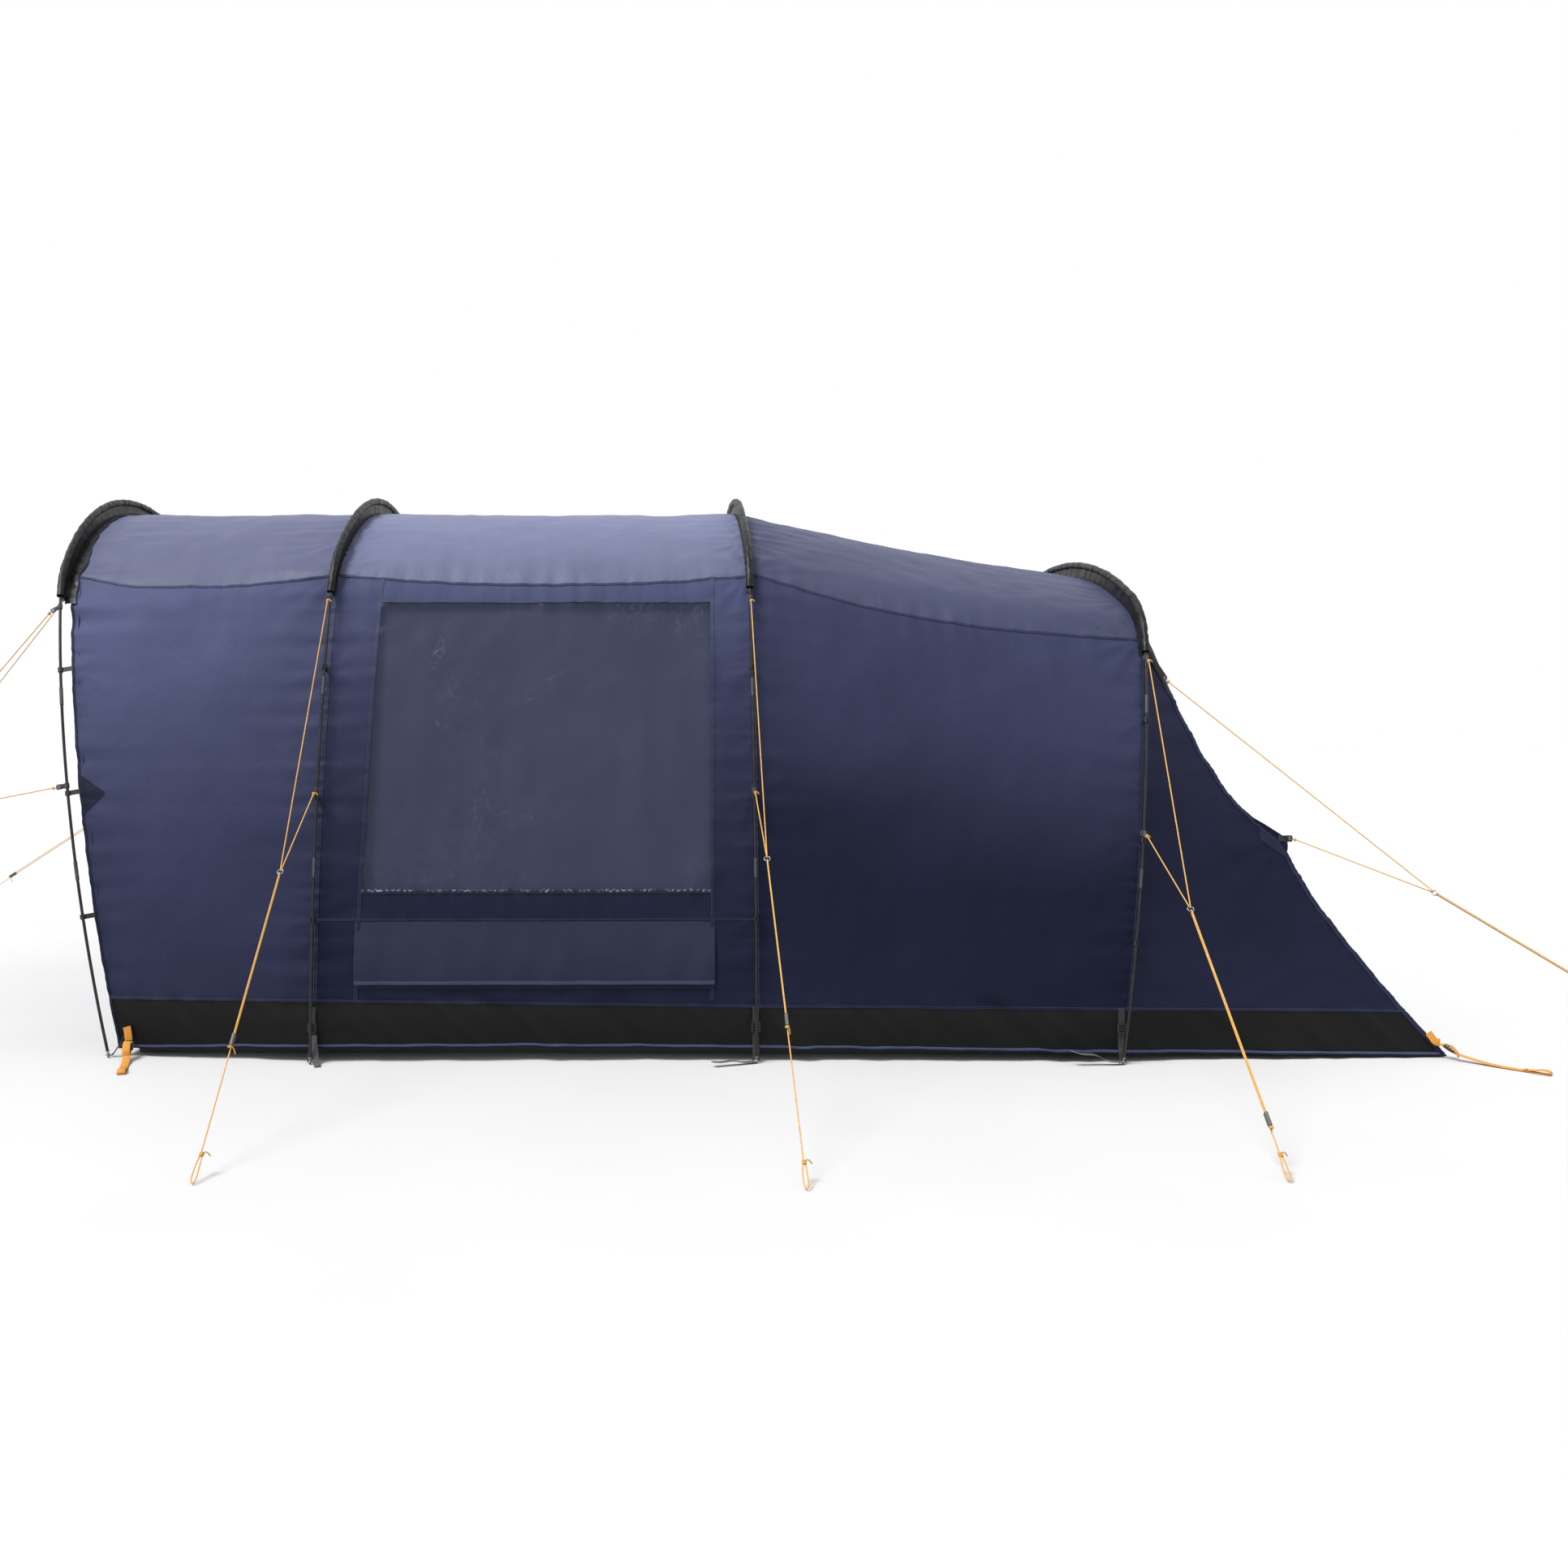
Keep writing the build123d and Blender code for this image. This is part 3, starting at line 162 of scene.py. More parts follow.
# ------------------------------------------------------------------ noise
class Waves:
    """Band-limited noise: a fixed sum of plane waves, about -2..2 with unit spread."""

    def __init__(self, seed, short, long, dims=2, count=26, stretch=(1, 1, 1)):
        rng = np.random.default_rng(seed)
        wave = short * (long / short) ** rng.random(count)
        d = rng.normal(size=(count, dims))
        d /= np.linalg.norm(d, axis=1)[:, None]
        self.k = d * (2 * math.pi / wave)[:, None] / np.array(stretch[:dims])
        self.p = rng.random(count) * 2 * math.pi
        self.g = math.sqrt(2 / count)

    def __call__(self, *coords):
        p = self.p.reshape((-1,) + (1,) * np.ndim(coords[0]))
        total = p
        for i, c in enumerate(coords):
            total = total + self.k[:, i].reshape(p.shape) * np.asarray(c)[None]
        return self.g * np.cos(total).sum(0)


def ridges(v, width=0.22):
    """Thin raised creases along the zero lines of a noise value."""
    return np.exp(-((v / width) ** 2))


def smooth(a, b, v):
    f = np.clip((np.asarray(v, float) - a) / (b - a), 0, 1)
    return f * f * (3 - 2 * f)


# ------------------------------------------------------------------ materials
def rgb(h):
    v = [int(h[i : i + 2], 16) / 255 for i in (1, 3, 5)]
    return tuple(c / 12.92 if c <= 0.04045 else ((c + 0.055) / 1.055) ** 2.4 for c in v) + (1.0,)


class Mat:
    """Small helper to wire a node material."""

    def __init__(self, name):
        self.m = bpy.data.materials.new(name)
        self.m.use_nodes = True
        self.t = self.m.node_tree
        self.bsdf = self.t.nodes["Principled BSDF"]
        self.out = self.t.nodes["Material Output"]

    def node(self, kind, **props):
        n = self.t.nodes.new(kind)
        for k, v in props.items():
            if k in n.inputs and not hasattr(type(n), k):
                n.inputs[k].default_value = v
            else:
                setattr(n, k, v)
        return n

    def link(self, a, b):
        self.t.links.new(a, b)

    def coord(self, which="Object"):
        return self.node("ShaderNodeTexCoord").outputs[which]

    def noise(self, vec, scale, detail=2.0, rough=0.5, stretch=None):
        if stretch:
            mp = self.node("ShaderNodeMapping")
            mp.inputs["Scale"].default_value = stretch
            self.link(vec, mp.inputs["Vector"])
            vec = mp.outputs[0]
        n = self.node("ShaderNodeTexNoise")
        n.inputs["Scale"].default_value = scale
        n.inputs["Detail"].default_value = detail
        n.inputs["Roughness"].default_value = rough
        self.link(vec, n.inputs["Vector"])
        return n.outputs["Fac"]

    def math(self, op, a, b=0.0, clamp=False):
        n = self.node("ShaderNodeMath")
        n.operation = op
        n.use_clamp = clamp
        for i, v in enumerate((a, b)):
            if isinstance(v, (int, float)):
                n.inputs[i].default_value = v
            else:
                self.link(v, n.inputs[i])
        return n.outputs[0]

    def ramp(self, v, lo, hi, a=0.0, b=1.0):
        n = self.node("ShaderNodeMapRange")
        n.clamp = True
        self.link(v, n.inputs[0])
        for i, x in enumerate((lo, hi, a, b)):
            n.inputs[i + 1].default_value = x
        return n.outputs[0]

    def mix(self, fac, a, b):
        n = self.node("ShaderNodeMix")
        n.data_type = "RGBA"
        for sock, v in ((n.inputs[0], fac), (n.inputs[6], a), (n.inputs[7], b)):
            if isinstance(v, (int, float)):
                sock.default_value = v
            elif isinstance(v, tuple):
                sock.default_value = v
            else:
                self.link(v, sock)
        return n.outputs[2]

    def bump(self, height, strength, distance, normal=None):
        n = self.node("ShaderNodeBump")
        n.inputs["Strength"].default_value = strength
        n.inputs["Distance"].default_value = distance
        self.link(height, n.inputs["Height"])
        if normal is not None:
            self.link(normal, n.inputs["Normal"])
        return n.outputs[0]

    def wave(self, vec, scale, direction="X", kind="BANDS"):
        n = self.node("ShaderNodeTexWave")
        n.wave_type = kind
        n.bands_direction = direction
        n.inputs["Scale"].default_value = scale
        n.inputs["Distortion"].default_value = 0.0
        self.link(vec, n.inputs["Vector"])
        return n.outputs["Fac"]

    def set(self, **values):
        for k, v in values.items():
            self.bsdf.inputs[k.replace("_", " ")].default_value = v
        return self

    def normal(self, n):
        self.link(n, self.bsdf.inputs["Normal"])


def cloth_material(name, dark, light, rough=0.62, sheen=0.35, sheen_tint=None, crinkle=1.0, weave=1.0, sheen_rough=0.35, spec=0.35):
    """Coated woven polyester: plain weave, faint mottling, small creases. The point attribute named shade goes from the
    dark tone to the light one; on the walls, roofs and seams it carries painted shade."""
    m = Mat(name)
    uv = m.coord("UV")
    ob = m.coord("Object")
    shade = m.node("ShaderNodeAttribute")
    shade.attribute_name = "shade"
    base = m.mix(m.math("MULTIPLY", shade.outputs["Fac"], 1.0, True), dark, light)
    cloud = m.ramp(m.noise(ob, 3.1, 4.0, 0.55), 0.3, 0.7, 0.91, 1.07)
    thread = m.ramp(m.noise(uv, 60.0, 3.0, 0.7, (1.0, 7.0, 1.0)), 0.25, 0.75, 0.965, 1.03)
    tone = m.math("MULTIPLY", cloud, thread)
    hsv = m.node("ShaderNodeHueSaturation")
    m.link(base, hsv.inputs["Color"])
    m.link(tone, hsv.inputs["Value"])
    m.link(hsv.outputs[0], m.bsdf.inputs["Base Color"])
    m.set(Roughness=rough, Specular_IOR_Level=spec, Sheen_Weight=sheen, Sheen_Roughness=sheen_rough)
    if sheen_tint:
        m.set(Sheen_Tint=sheen_tint)
    rr = m.ramp(m.noise(ob, 9.0, 3.0, 0.6), 0.3, 0.7, rough - 0.05, rough + 0.06)
    m.link(rr, m.bsdf.inputs["Roughness"])
    # creases of packed cloth: long faint fold lines and fine crinkles
    fine = m.noise(ob, 42.0, 5.0, 0.62)
    fold = m.noise(ob, 8.5, 3.0, 0.5, (1.0, 1.0, 0.6))
    fold = m.math("ABSOLUTE", m.math("SUBTRACT", fold, 0.5))
    fold = m.ramp(fold, 0.0, 0.035, 1.0, 0.0)
    n = m.bump(fold, 0.10 * crinkle, 0.004)
    n = m.bump(fine, 0.16 * crinkle, 0.006, n)
    wv = m.math("MULTIPLY", m.wave(uv, 420.0, "X"), m.wave(uv, 420.0, "Y"))
    n = m.bump(wv, 0.10 * weave, 0.0004, n)
    m.normal(n)
    return m.m


def stitched_material(name, dark, light, thread, rough=0.6, sheen=0.3, spec=0.35):
    """A felled seam: u runs along it in metres, v across it 0..1, with two rows of stitches."""
    m = Mat(name)
    uv = m.coord("UV")
    sep = m.node("ShaderNodeSeparateXYZ")
    m.link(uv, sep.inputs[0])
    u, v = sep.outputs[0], sep.outputs[1]
    shade = m.node("ShaderNodeAttribute")
    shade.attribute_name = "shade"
    base = m.mix(m.math("MULTIPLY", shade.outputs["Fac"], 1.0, True), dark, light)
    row = None
    for at in (0.24, 0.76):
        d = m.math("ABSOLUTE", m.math("SUBTRACT", v, at))
        r = m.ramp(d, 0.03, 0.075, 1.0, 0.0)
        row = r if row is None else m.math("MAXIMUM", row, r)
    dash = m.math("FRACT", m.math("MULTIPLY", u, 230.0))
    dash = m.math("MULTIPLY", m.ramp(dash, 0.0, 0.12, 0.0, 1.0), m.ramp(dash, 0.72, 0.86, 1.0, 0.0))
    st = m.math("MULTIPLY", row, dash)
    col = m.mix(st, base, thread)
    m.link(col, m.bsdf.inputs["Base Color"])
    m.set(Roughness=rough, Sheen_Weight=sheen, Specular_IOR_Level=spec)
    pucker = m.noise(uv, 55.0, 3.0, 0.6, (1.0, 0.2, 1.0))
    n = m.bump(pucker, 0.5, 0.002)
    n = m.bump(m.math("SUBTRACT", m.math("MULTIPLY", st, 0.6), row), 0.5, 0.0009, n)
    m.normal(n)
    return m.m


def webbing_material(name, color, rough=0.65, sheen=0.25, rib=0.0023):
    """Woven webbing: u along in metres, v across 0..1."""
    m = Mat(name)
    uv = m.coord("UV")
    sep = m.node("ShaderNodeSeparateXYZ")
    m.link(uv, sep.inputs[0])
    u, v = sep.outputs[0], sep.outputs[1]
    ribs = m.math("SINE", m.math("MULTIPLY", u, 2 * math.pi / rib))
    cols = m.math("SINE", m.math("MULTIPLY", v, 2 * math.pi * 9))
    weave = m.math("MULTIPLY", ribs, cols)
    dark = tuple(c * 0.62 for c in color[:3]) + (1.0,)
    light = tuple(min(1, c * 1.18) for c in color[:3]) + (1.0,)
    wear = m.noise(uv, 30.0, 3.0, 0.6)
    f = m.math("ADD", m.ramp(weave, -1, 1, 0.25, 0.75), m.ramp(wear, 0.3, 0.7, -0.2, 0.2), True)
    m.link(m.mix(f, dark, light), m.bsdf.inputs["Base Color"])
    m.set(Roughness=rough, Sheen_Weight=sheen, Specular_IOR_Level=0.35)
    edge = m.math("ABSOLUTE", m.math("SUBTRACT", v, 0.5))
    n = m.bump(m.ramp(edge, 0.42, 0.48, 0.0, 1.0), 0.4, 0.0006)
    n = m.bump(weave, 0.5, 0.0005, n)
    m.normal(n)
    return m.m


def rope_material(name, color, fleck, sheen=0.4):
    """Braided rope in object space along any direction: a fine lozenge of light and dark strands."""
    m = Mat(name)
    uv = m.coord("UV")
    a = m.wave(uv, 38.0, "DIAGONAL")
    mp = m.node("ShaderNodeMapping")
    mp.inputs["Scale"].default_value = (1.0, -1.0, 1.0)
    m.link(uv, mp.inputs["Vector"])
    b = m.wave(mp.outputs[0], 38.0, "DIAGONAL")
    braid = m.math("MULTIPLY", a, b)
    ob = m.coord("Object")
    speck = m.noise(ob, 420.0, 2.0, 0.6)
    dark = tuple(c * 0.66 for c in color[:3]) + (1.0,)
    f = m.ramp(speck, 0.35, 0.65, 0.0, 1.0)
    col = m.mix(f, dark, color)
    col = m.mix(m.ramp(speck, 0.62, 0.68, 0.0, 0.8), col, fleck)
    m.link(col, m.bsdf.inputs["Base Color"])
    m.set(Roughness=0.7, Sheen_Weight=sheen, Specular_IOR_Level=0.3)
    n = m.bump(speck, 0.6, 0.0007)
    n = m.bump(braid, 0.3, 0.0006, n)
    m.normal(n)
    return m.m


def plastic_material(name, color, rough=0.45, grain=0.3, wear=None):
    m = Mat(name)
    ob = m.coord("Object")
    n1 = m.noise(ob, 320.0, 3.0, 0.6)
    n2 = m.noise(ob, 24.0, 3.0, 0.5)
    lighter = wear or tuple(min(1, c * 1.5 + 0.01) for c in color[:3]) + (1.0,)
    m.link(m.mix(m.ramp(n2, 0.45, 0.75, 0.0, 0.5), color, lighter), m.bsdf.inputs["Base Color"])
    m.link(m.ramp(n2, 0.3, 0.7, rough - 0.06, rough + 0.1), m.bsdf.inputs["Roughness"])
    m.set(Specular_IOR_Level=0.45)
    m.normal(m.bump(n1, grain, 0.0004))
    return m.m


def metal_material(name, color, rough=0.32, tarnish=0.35):
    m = Mat(name)
    ob = m.coord("Object")
    n1 = m.noise(ob, 90.0, 4.0, 0.6)
    dull = tuple(c * (1 - tarnish) for c in color[:3]) + (1.0,)
    m.link(m.mix(m.ramp(n1, 0.4, 0.7, 0.0, 1.0), color, dull), m.bsdf.inputs["Base Color"])
    m.link(m.ramp(n1, 0.3, 0.7, rough - 0.07, rough + 0.12), m.bsdf.inputs["Roughness"])
    m.set(Metallic=1.0)
    m.normal(m.bump(m.noise(ob, 500.0, 2.0), 0.15, 0.0003))
    return m.m


# dark and light ends of the painted shade: NAVY on the walls, ROOF on the roofs
NAVY_D, NAVY_L = (0.0053, 0.0067, 0.0190, 1.0), (0.0525, 0.0595, 0.1250, 1.0)
ROOF_D, ROOF_L = (0.020, 0.024, 0.056, 1.0), (0.124, 0.134, 0.228, 1.0)
M = {
    "side": cloth_material("navy side cloth", NAVY_D, NAVY_L, sheen=0.02, sheen_tint=rgb("#8d95c4"), spec=0.07),
    "roof": cloth_material("roof cloth", ROOF_D, ROOF_L, rough=0.55, sheen=0.14, sheen_tint=rgb("#b0b6da"), sheen_rough=0.4, spec=0.18),
    "mud": cloth_material("mud wall cloth", (0.0030, 0.0030, 0.0031, 1.0), (0.0080, 0.0080, 0.0080, 1.0), rough=0.5, sheen=0.01, crinkle=1.0, spec=0.10),
    "flap": cloth_material("vent flap cloth", (0.0085, 0.0110, 0.0230, 1.0), (0.0225, 0.0270, 0.0520, 1.0), sheen=0.02, spec=0.08),
    "curtain": cloth_material("curtain cloth", (0.014, 0.0178, 0.038, 1.0), (0.069, 0.080, 0.150, 1.0), rough=0.75, sheen=0.03, crinkle=0.25, weave=0.0, spec=0.05),
    "floor": cloth_material("groundsheet cloth", rgb("#2b2d33"), rgb("#3c3f46"), rough=0.5, sheen=0.05),
    "inner": cloth_material("bedroom cloth", rgb("#5d606a"), rgb("#8b8e99"), rough=0.8, sheen=0.2, crinkle=1.3),
    "sleeve": cloth_material("pole sleeve cloth", (0.0028, 0.0029, 0.0034, 1.0), (0.0105, 0.0108, 0.0125, 1.0), rough=0.42, sheen=0.05, sheen_tint=rgb("#c4c6cf"), crinkle=1.0, weave=0.2, spec=0.18),
    "patch": cloth_material("reinforcement cloth", (0.007, 0.0085, 0.018, 1.0), (0.018, 0.022, 0.045, 1.0), sheen=0.02, spec=0.08),
    "seam": stitched_material("navy seam", (0.0055, 0.0070, 0.0165, 1.0), (0.052, 0.060, 0.118, 1.0), (0.030, 0.035, 0.075, 1.0), sheen=0.02, spec=0.08),
    "roofseam": stitched_material("roof seam", rgb("#23274a"), rgb("#4c5280"), rgb("#3a3f6a"), sheen=0.05, spec=0.12),
    "blackseam": stitched_material("black seam", (0.0032, 0.0032, 0.0035, 1.0), (0.0085, 0.0085, 0.0095, 1.0), (0.020, 0.020, 0.022, 1.0), sheen=0.02, spec=0.10),
    "piping": stitched_material("blue piping", rgb("#242845"), rgb("#3e4468"), rgb("#555b80"), sheen=0.05, spec=0.12),
    "webbing": webbing_material("black webbing", rgb("#18181b")),
    "greyweb": webbing_material("grey webbing", rgb("#38393d")),
    "orange": webbing_material("orange webbing", (0.56, 0.235, 0.022, 1.0), sheen=0.08),
    "rope": rope_material("orange guy rope", (0.60, 0.315, 0.060, 1.0), (0.80, 0.62, 0.30, 1.0), sheen=0.15),
    "pole": plastic_material("black fibreglass pole", rgb("#08080a"), rough=0.3, grain=0.10),
    "ferrule": metal_material("dark steel ferrule", rgb("#55565a"), 0.38, 0.3),
    "ring": metal_material("steel ring", rgb("#8f9196"), 0.3, 0.35),
    "clip": plastic_material("black clip plastic", rgb("#101012"), rough=0.5),
    "buckle": plastic_material("black buckle plastic", rgb("#1b1b1e"), rough=0.42),
    "runner": plastic_material("dark grey runner plastic", rgb("#4b4a45"), rough=0.5),
    "zip": metal_material("zip slider metal", rgb("#3a3b3f"), 0.4, 0.3),
    "elastic": plastic_material("elastic", rgb("#111113"), rough=0.7),
}


def film_material():
    """Clear flexible film: seen through, with a net of fine creases lightened in colour, partly as creased film whitens
    and partly as painted highlight, and a few painted glints on them.
    """
    m = Mat("window film")
    ob = m.coord("Object")
    m.set(Roughness=0.22, Specular_IOR_Level=0.20)
    haze = m.noise(ob, 5.0, 4.0, 0.6)
    base = m.mix(m.ramp(haze, 0.3, 0.7), (0.0275, 0.0312, 0.0555, 1.0), (0.0355, 0.040, 0.068, 1.0))
    warp = m.node("ShaderNodeTexNoise")
    warp.inputs["Scale"].default_value = 24.0
    warp.inputs["Detail"].default_value = 4.0
    m.link(ob, warp.inputs["Vector"])
    add = m.node("ShaderNodeVectorMath")
    add.operation = "MULTIPLY_ADD"
    m.link(warp.outputs["Color"], add.inputs[0])
    add.inputs[1].default_value = (0.075, 0.075, 0.075)
    m.link(ob, add.inputs[2])
    vor = m.node("ShaderNodeTexVoronoi")
    vor.feature = "DISTANCE_TO_EDGE"
    vor.inputs["Scale"].default_value = 34.0
    m.link(add.outputs[0], vor.inputs["Vector"])
    crease = m.ramp(vor.outputs["Distance"], 0.0, 0.045, 1.0, 0.0)
    where = m.ramp(m.noise(ob, 2.7, 3.0), 0.46, 0.60, 0.0, 1.0)
    broken = m.ramp(m.noise(ob, 45.0, 2.0), 0.44, 0.56, 0.0, 1.0)
    crease = m.math("MULTIPLY", m.math("MULTIPLY", crease, where), broken)
    # painted glints: tiny light specks in the colour on the creased part of the film
    painted_glints = m.math("MULTIPLY", m.ramp(m.noise(ob, 480.0, 1.0), 0.74, 0.79, 0.0, 1.0), m.ramp(m.noise(ob, 3.6, 2.0), 0.50, 0.66, 0.0, 1.0))
    # creases and glints lighten the colour and make the film less clear: painted highlight, with the creases also
    # standing for whitened film
    marks = m.math("MAXIMUM", m.math("MULTIPLY", crease, 0.13), m.math("MULTIPLY", painted_glints, 0.30))
    m.link(m.mix(marks, base, (0.34, 0.36, 0.44, 1.0)), m.bsdf.inputs["Base Color"])
    m.link(m.ramp(marks, 0.0, 1.0, 0.42, 0.76), m.bsdf.inputs["Alpha"])
    n = m.bump(m.noise(ob, 9.0, 1.5, 0.5), 0.20, 0.01)
    m.normal(m.bump(crease, 0.35, 0.0008, n))
    return m.m


M["film"] = film_material()


def mesh_material():
    m = Mat("fine mesh")
    uv = m.coord("UV")
    w1 = m.wave(uv, 90.0, "X")
    w2 = m.wave(uv, 90.0, "Y")
    th = m.math("MAXIMUM", w1, w2)
    m.link(m.mix(th, rgb("#08080a"), rgb("#1c1d22")), m.bsdf.inputs["Base Color"])
    m.set(Roughness=0.8, Sheen_Weight=0.1)
    m.normal(m.bump(th, 0.5, 0.0005))
    return m.m


M["mesh"] = mesh_material()


# ------------------------------------------------------------------ mesh tools
def new_object(name, verts, faces, uvs=None, shade=None, material=None, sharp=None):
    me = bpy.data.meshes.new(name)
    me.from_pydata([tuple(v) for v in verts], [], faces)
    if uvs is not None:
        layer = me.uv_layers.new(name="UVMap")
        loops = np.zeros(len(me.loops), np.int32)
        me.loops.foreach_get("vertex_index", loops)
        layer.data.foreach_set("uv", np.asarray(uvs, np.float32)[loops].ravel())
    if shade is not None:
        att = me.attributes.new("shade", "FLOAT", "POINT")
        att.data.foreach_set("value", np.asarray(shade, np.float32))
    me.polygons.foreach_set("use_smooth", [True] * len(me.polygons))
    if sharp is not None:
        me.set_sharp_from_angle(angle=math.radians(sharp))
    me.validate()
    ob = bpy.data.objects.new(name, me)
    scene.collection.objects.link(ob)
    if material is not None:
        me.materials.append(material)
    return ob


def grid_normals(P):
    du = np.gradient(P, axis=0)
    dv = np.gradient(P, axis=1)
    n = np.cross(du, dv)
    ln = np.linalg.norm(n, axis=-1, keepdims=True)
    return n / np.maximum(ln, 1e-12)


def sheet_mesh(name, P, N, uv, shade, material, keep=None, thick=0.0009):
    """A thin closed cloth from a grid of points P and outward normals N; keep masks its cells.
    With thick = 0 it is a single layer."""
    nu, nv = P.shape[0], P.shape[1]
    if keep is None:
        keep = np.ones((nu - 1, nv - 1), bool)
    idx = np.arange(nu * nv).reshape(nu, nv)
    a, b, c, d = idx[:-1, :-1][keep], idx[1:, :-1][keep], idx[1:, 1:][keep], idx[:-1, 1:][keep]
    quads = np.stack([a, b, c, d], 1)
    # faces are turned so that they look along N
    p = P.reshape(-1, 3)
    fn = np.cross(p[quads[:, 1]] - p[quads[:, 0]], p[quads[:, 3]] - p[quads[:, 0]])
    if (fn * N.reshape(-1, 3)[quads[:, 0]]).sum() < 0:
        quads = quads[:, ::-1]
    used = np.unique(quads)
    remap = np.full(nu * nv, -1)
    remap[used] = np.arange(len(used))
    quads = remap[quads]
    outer = p[used]
    nn = N.reshape(-1, 3)[used]
    inner = outer - nn * thick
    k = len(used)
    edges = {}
    for q in quads:
        for i in range(4):
            e = (int(q[i]), int(q[(i + 1) % 4]))
            if (e[1], e[0]) in edges:
                del edges[(e[1], e[0])]
            else:
                edges[e] = True
    faces = [tuple(int(v) for v in q) for q in quads]
    if not thick:
        return new_object(name, outer, faces, np.asarray(uv).reshape(-1, 2)[used], np.asarray(shade, float).reshape(-1)[used], material, sharp=60)
    faces += [tuple(int(v) + k for v in q[::-1]) for q in quads]
    faces += [(e[1], e[0], e[0] + k, e[1] + k) for e in edges]
    verts = np.concatenate([outer, inner])
    uvs = np.tile(np.asarray(uv).reshape(-1, 2)[used], (2, 1))
    sh = np.tile(np.asarray(shade, float).reshape(-1)[used], 2)
    return new_object(name, verts, faces, uvs, sh, material, sharp=60)


def area_of(P, keep=None):
    a = np.linalg.norm(np.cross(P[1:, :-1] - P[:-1, :-1], P[:-1, 1:] - P[:-1, :-1]), axis=-1) / 2
    b = np.linalg.norm(np.cross(P[1:, :-1] - P[1:, 1:], P[:-1, 1:] - P[1:, 1:]), axis=-1) / 2
    s = a + b
    return float(s[keep].sum() if keep is not None else s.sum())


def catmull(points, step=0.01, closed=False):
    """Dense points through the given ones."""
    pts = [np.array(p, float) for p in points]
    if len(pts) == 2:
        n = max(2, int(np.linalg.norm(pts[1] - pts[0]) / step))
        return np.array([pts[0] + (pts[1] - pts[0]) * i / n for i in range(n + 1)])
    out = []
    ext = [2 * pts[0] - pts[1]] + pts + [2 * pts[-1] - pts[-2]]
    for i in range(1, len(ext) - 2):
        p0, p1, p2, p3 = ext[i - 1], ext[i], ext[i + 1], ext[i + 2]
        n = max(2, int(np.linalg.norm(p2 - p1) / step))
        for k in range(n):
            t = k / n
            out.append(
                0.5 * ((2 * p1) + (p2 - p0) * t + (2 * p0 - 5 * p1 + 4 * p2 - p3) * t * t + (3 * p1 - p0 - 3 * p2 + p3) * t ** 3)
            )
    out.append(pts[-1])
    return np.array(out)


def unit(v):
    v = np.asarray(v, float)
    return v / np.maximum(np.linalg.norm(v, axis=-1, keepdims=True), 1e-12)


def lengths(path):
    return np.concatenate([[0], np.cumsum(np.linalg.norm(np.diff(path, axis=0), axis=1))])


def sweep(name, path, across, normal, profile, material, shade=0.5, cap=True, vmap=None):
    """Closed profile [(across, normal) ...] swept along a path, closed at both ends."""
    path, across, normal = (np.asarray(v, float) for v in (path, across, normal))
    n = len(path)
    prof = np.asarray(profile, float)
    if prof.ndim == 2:
        prof = np.tile(prof[None], (n, 1, 1))
    k = prof.shape[1]
    verts = path[:, None] + across[:, None] * prof[..., 0:1] + normal[:, None] * prof[..., 1:2]
    u = lengths(path)
    if vmap is None:
        w = prof[0, :, 0]
        vmap = (w - w.min()) / max(1e-9, w.max() - w.min())
    uvs = np.stack([np.repeat(u, k), np.tile(vmap, n)], 1)
    faces = []
    for i in range(n - 1):
        for j in range(k):
            a, b = i * k + j, i * k + (j + 1) % k
            faces.append((a, b, b + k, a + k))
    if cap:
        faces.append(tuple(range(k))[::-1])
        faces.append(tuple((n - 1) * k + j for j in range(k)))
    verts = verts.reshape(-1, 3)
    # outward check on the first ring
    c = verts[:k].mean(0)
    f = faces[0]
    fn = np.cross(verts[f[1]] - verts[f[0]], verts[f[3]] - verts[f[0]])
    if np.dot(fn, verts[list(f)].mean(0) - (path[0] + path[1]) / 2) < 0:
        faces = [fc[::-1] for fc in faces]
    sh = np.full(len(verts), shade) if np.ndim(shade) == 0 else np.repeat(np.asarray(shade), k)
    return new_object(name, verts, faces, uvs, sh, material, sharp=50)


def frame_on(path, hint):
    """Across and normal vectors along a path, with the normal near the hint."""
    path = np.asarray(path, float)
    tan = unit(np.gradient(path, axis=0))
    hint = np.broadcast_to(np.asarray(hint, float), path.shape)
    normal = unit(hint - tan * (hint * tan).sum(-1, keepdims=True))
    return np.cross(tan, normal), normal


def strap_profile(width, thick):
    w, t, r = width / 2, thick / 2, thick * 0.45
    return [(-w, -t + r), (-w + r, -t), (w - r, -t), (w, -t + r), (w, t - r), (w - r, t), (w * 0.33, t * 1.05), (-w * 0.33, t * 1.05), (-w + r, t), (-w, t - r)]


def strap(name, points, hint, width, thick, material, body="tent", step=0.004):
    path = catmull(points, step)
    across, normal = frame_on(path, hint)
    ob = sweep(name, path, across, normal, strap_profile(width, thick), material)
    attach(ob, body)
    return ob


def tube_mesh(name, path, radius, material, sides=10, body="tent", closed=False):
    path = np.asarray(path, float)
    tan = unit(np.gradient(path, axis=0))
    normal = np.zeros_like(path)
    up = np.array([0.0, 0.0, 1.0]) if abs(tan[0][2]) < 0.9 else np.array([1.0, 0, 0])
    normal[0] = unit(up - tan[0] * np.dot(up, tan[0]))
    for i in range(1, len(path)):
        v = normal[i - 1] - tan[i] * np.dot(normal[i - 1], tan[i])
        normal[i] = unit(v)
    across = np.cross(tan, normal)
    ang = np.linspace(0, 2 * math.pi, sides, endpoint=False)
    radius = np.broadcast_to(np.asarray(radius, float), (len(path),))
    prof = np.stack([np.cos(ang)[None] * radius[:, None], np.sin(ang)[None] * radius[:, None]], -1)
    ob = sweep(name, path, across, normal, prof, material, vmap=ang / (2 * math.pi))
    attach(ob, body)
    return ob


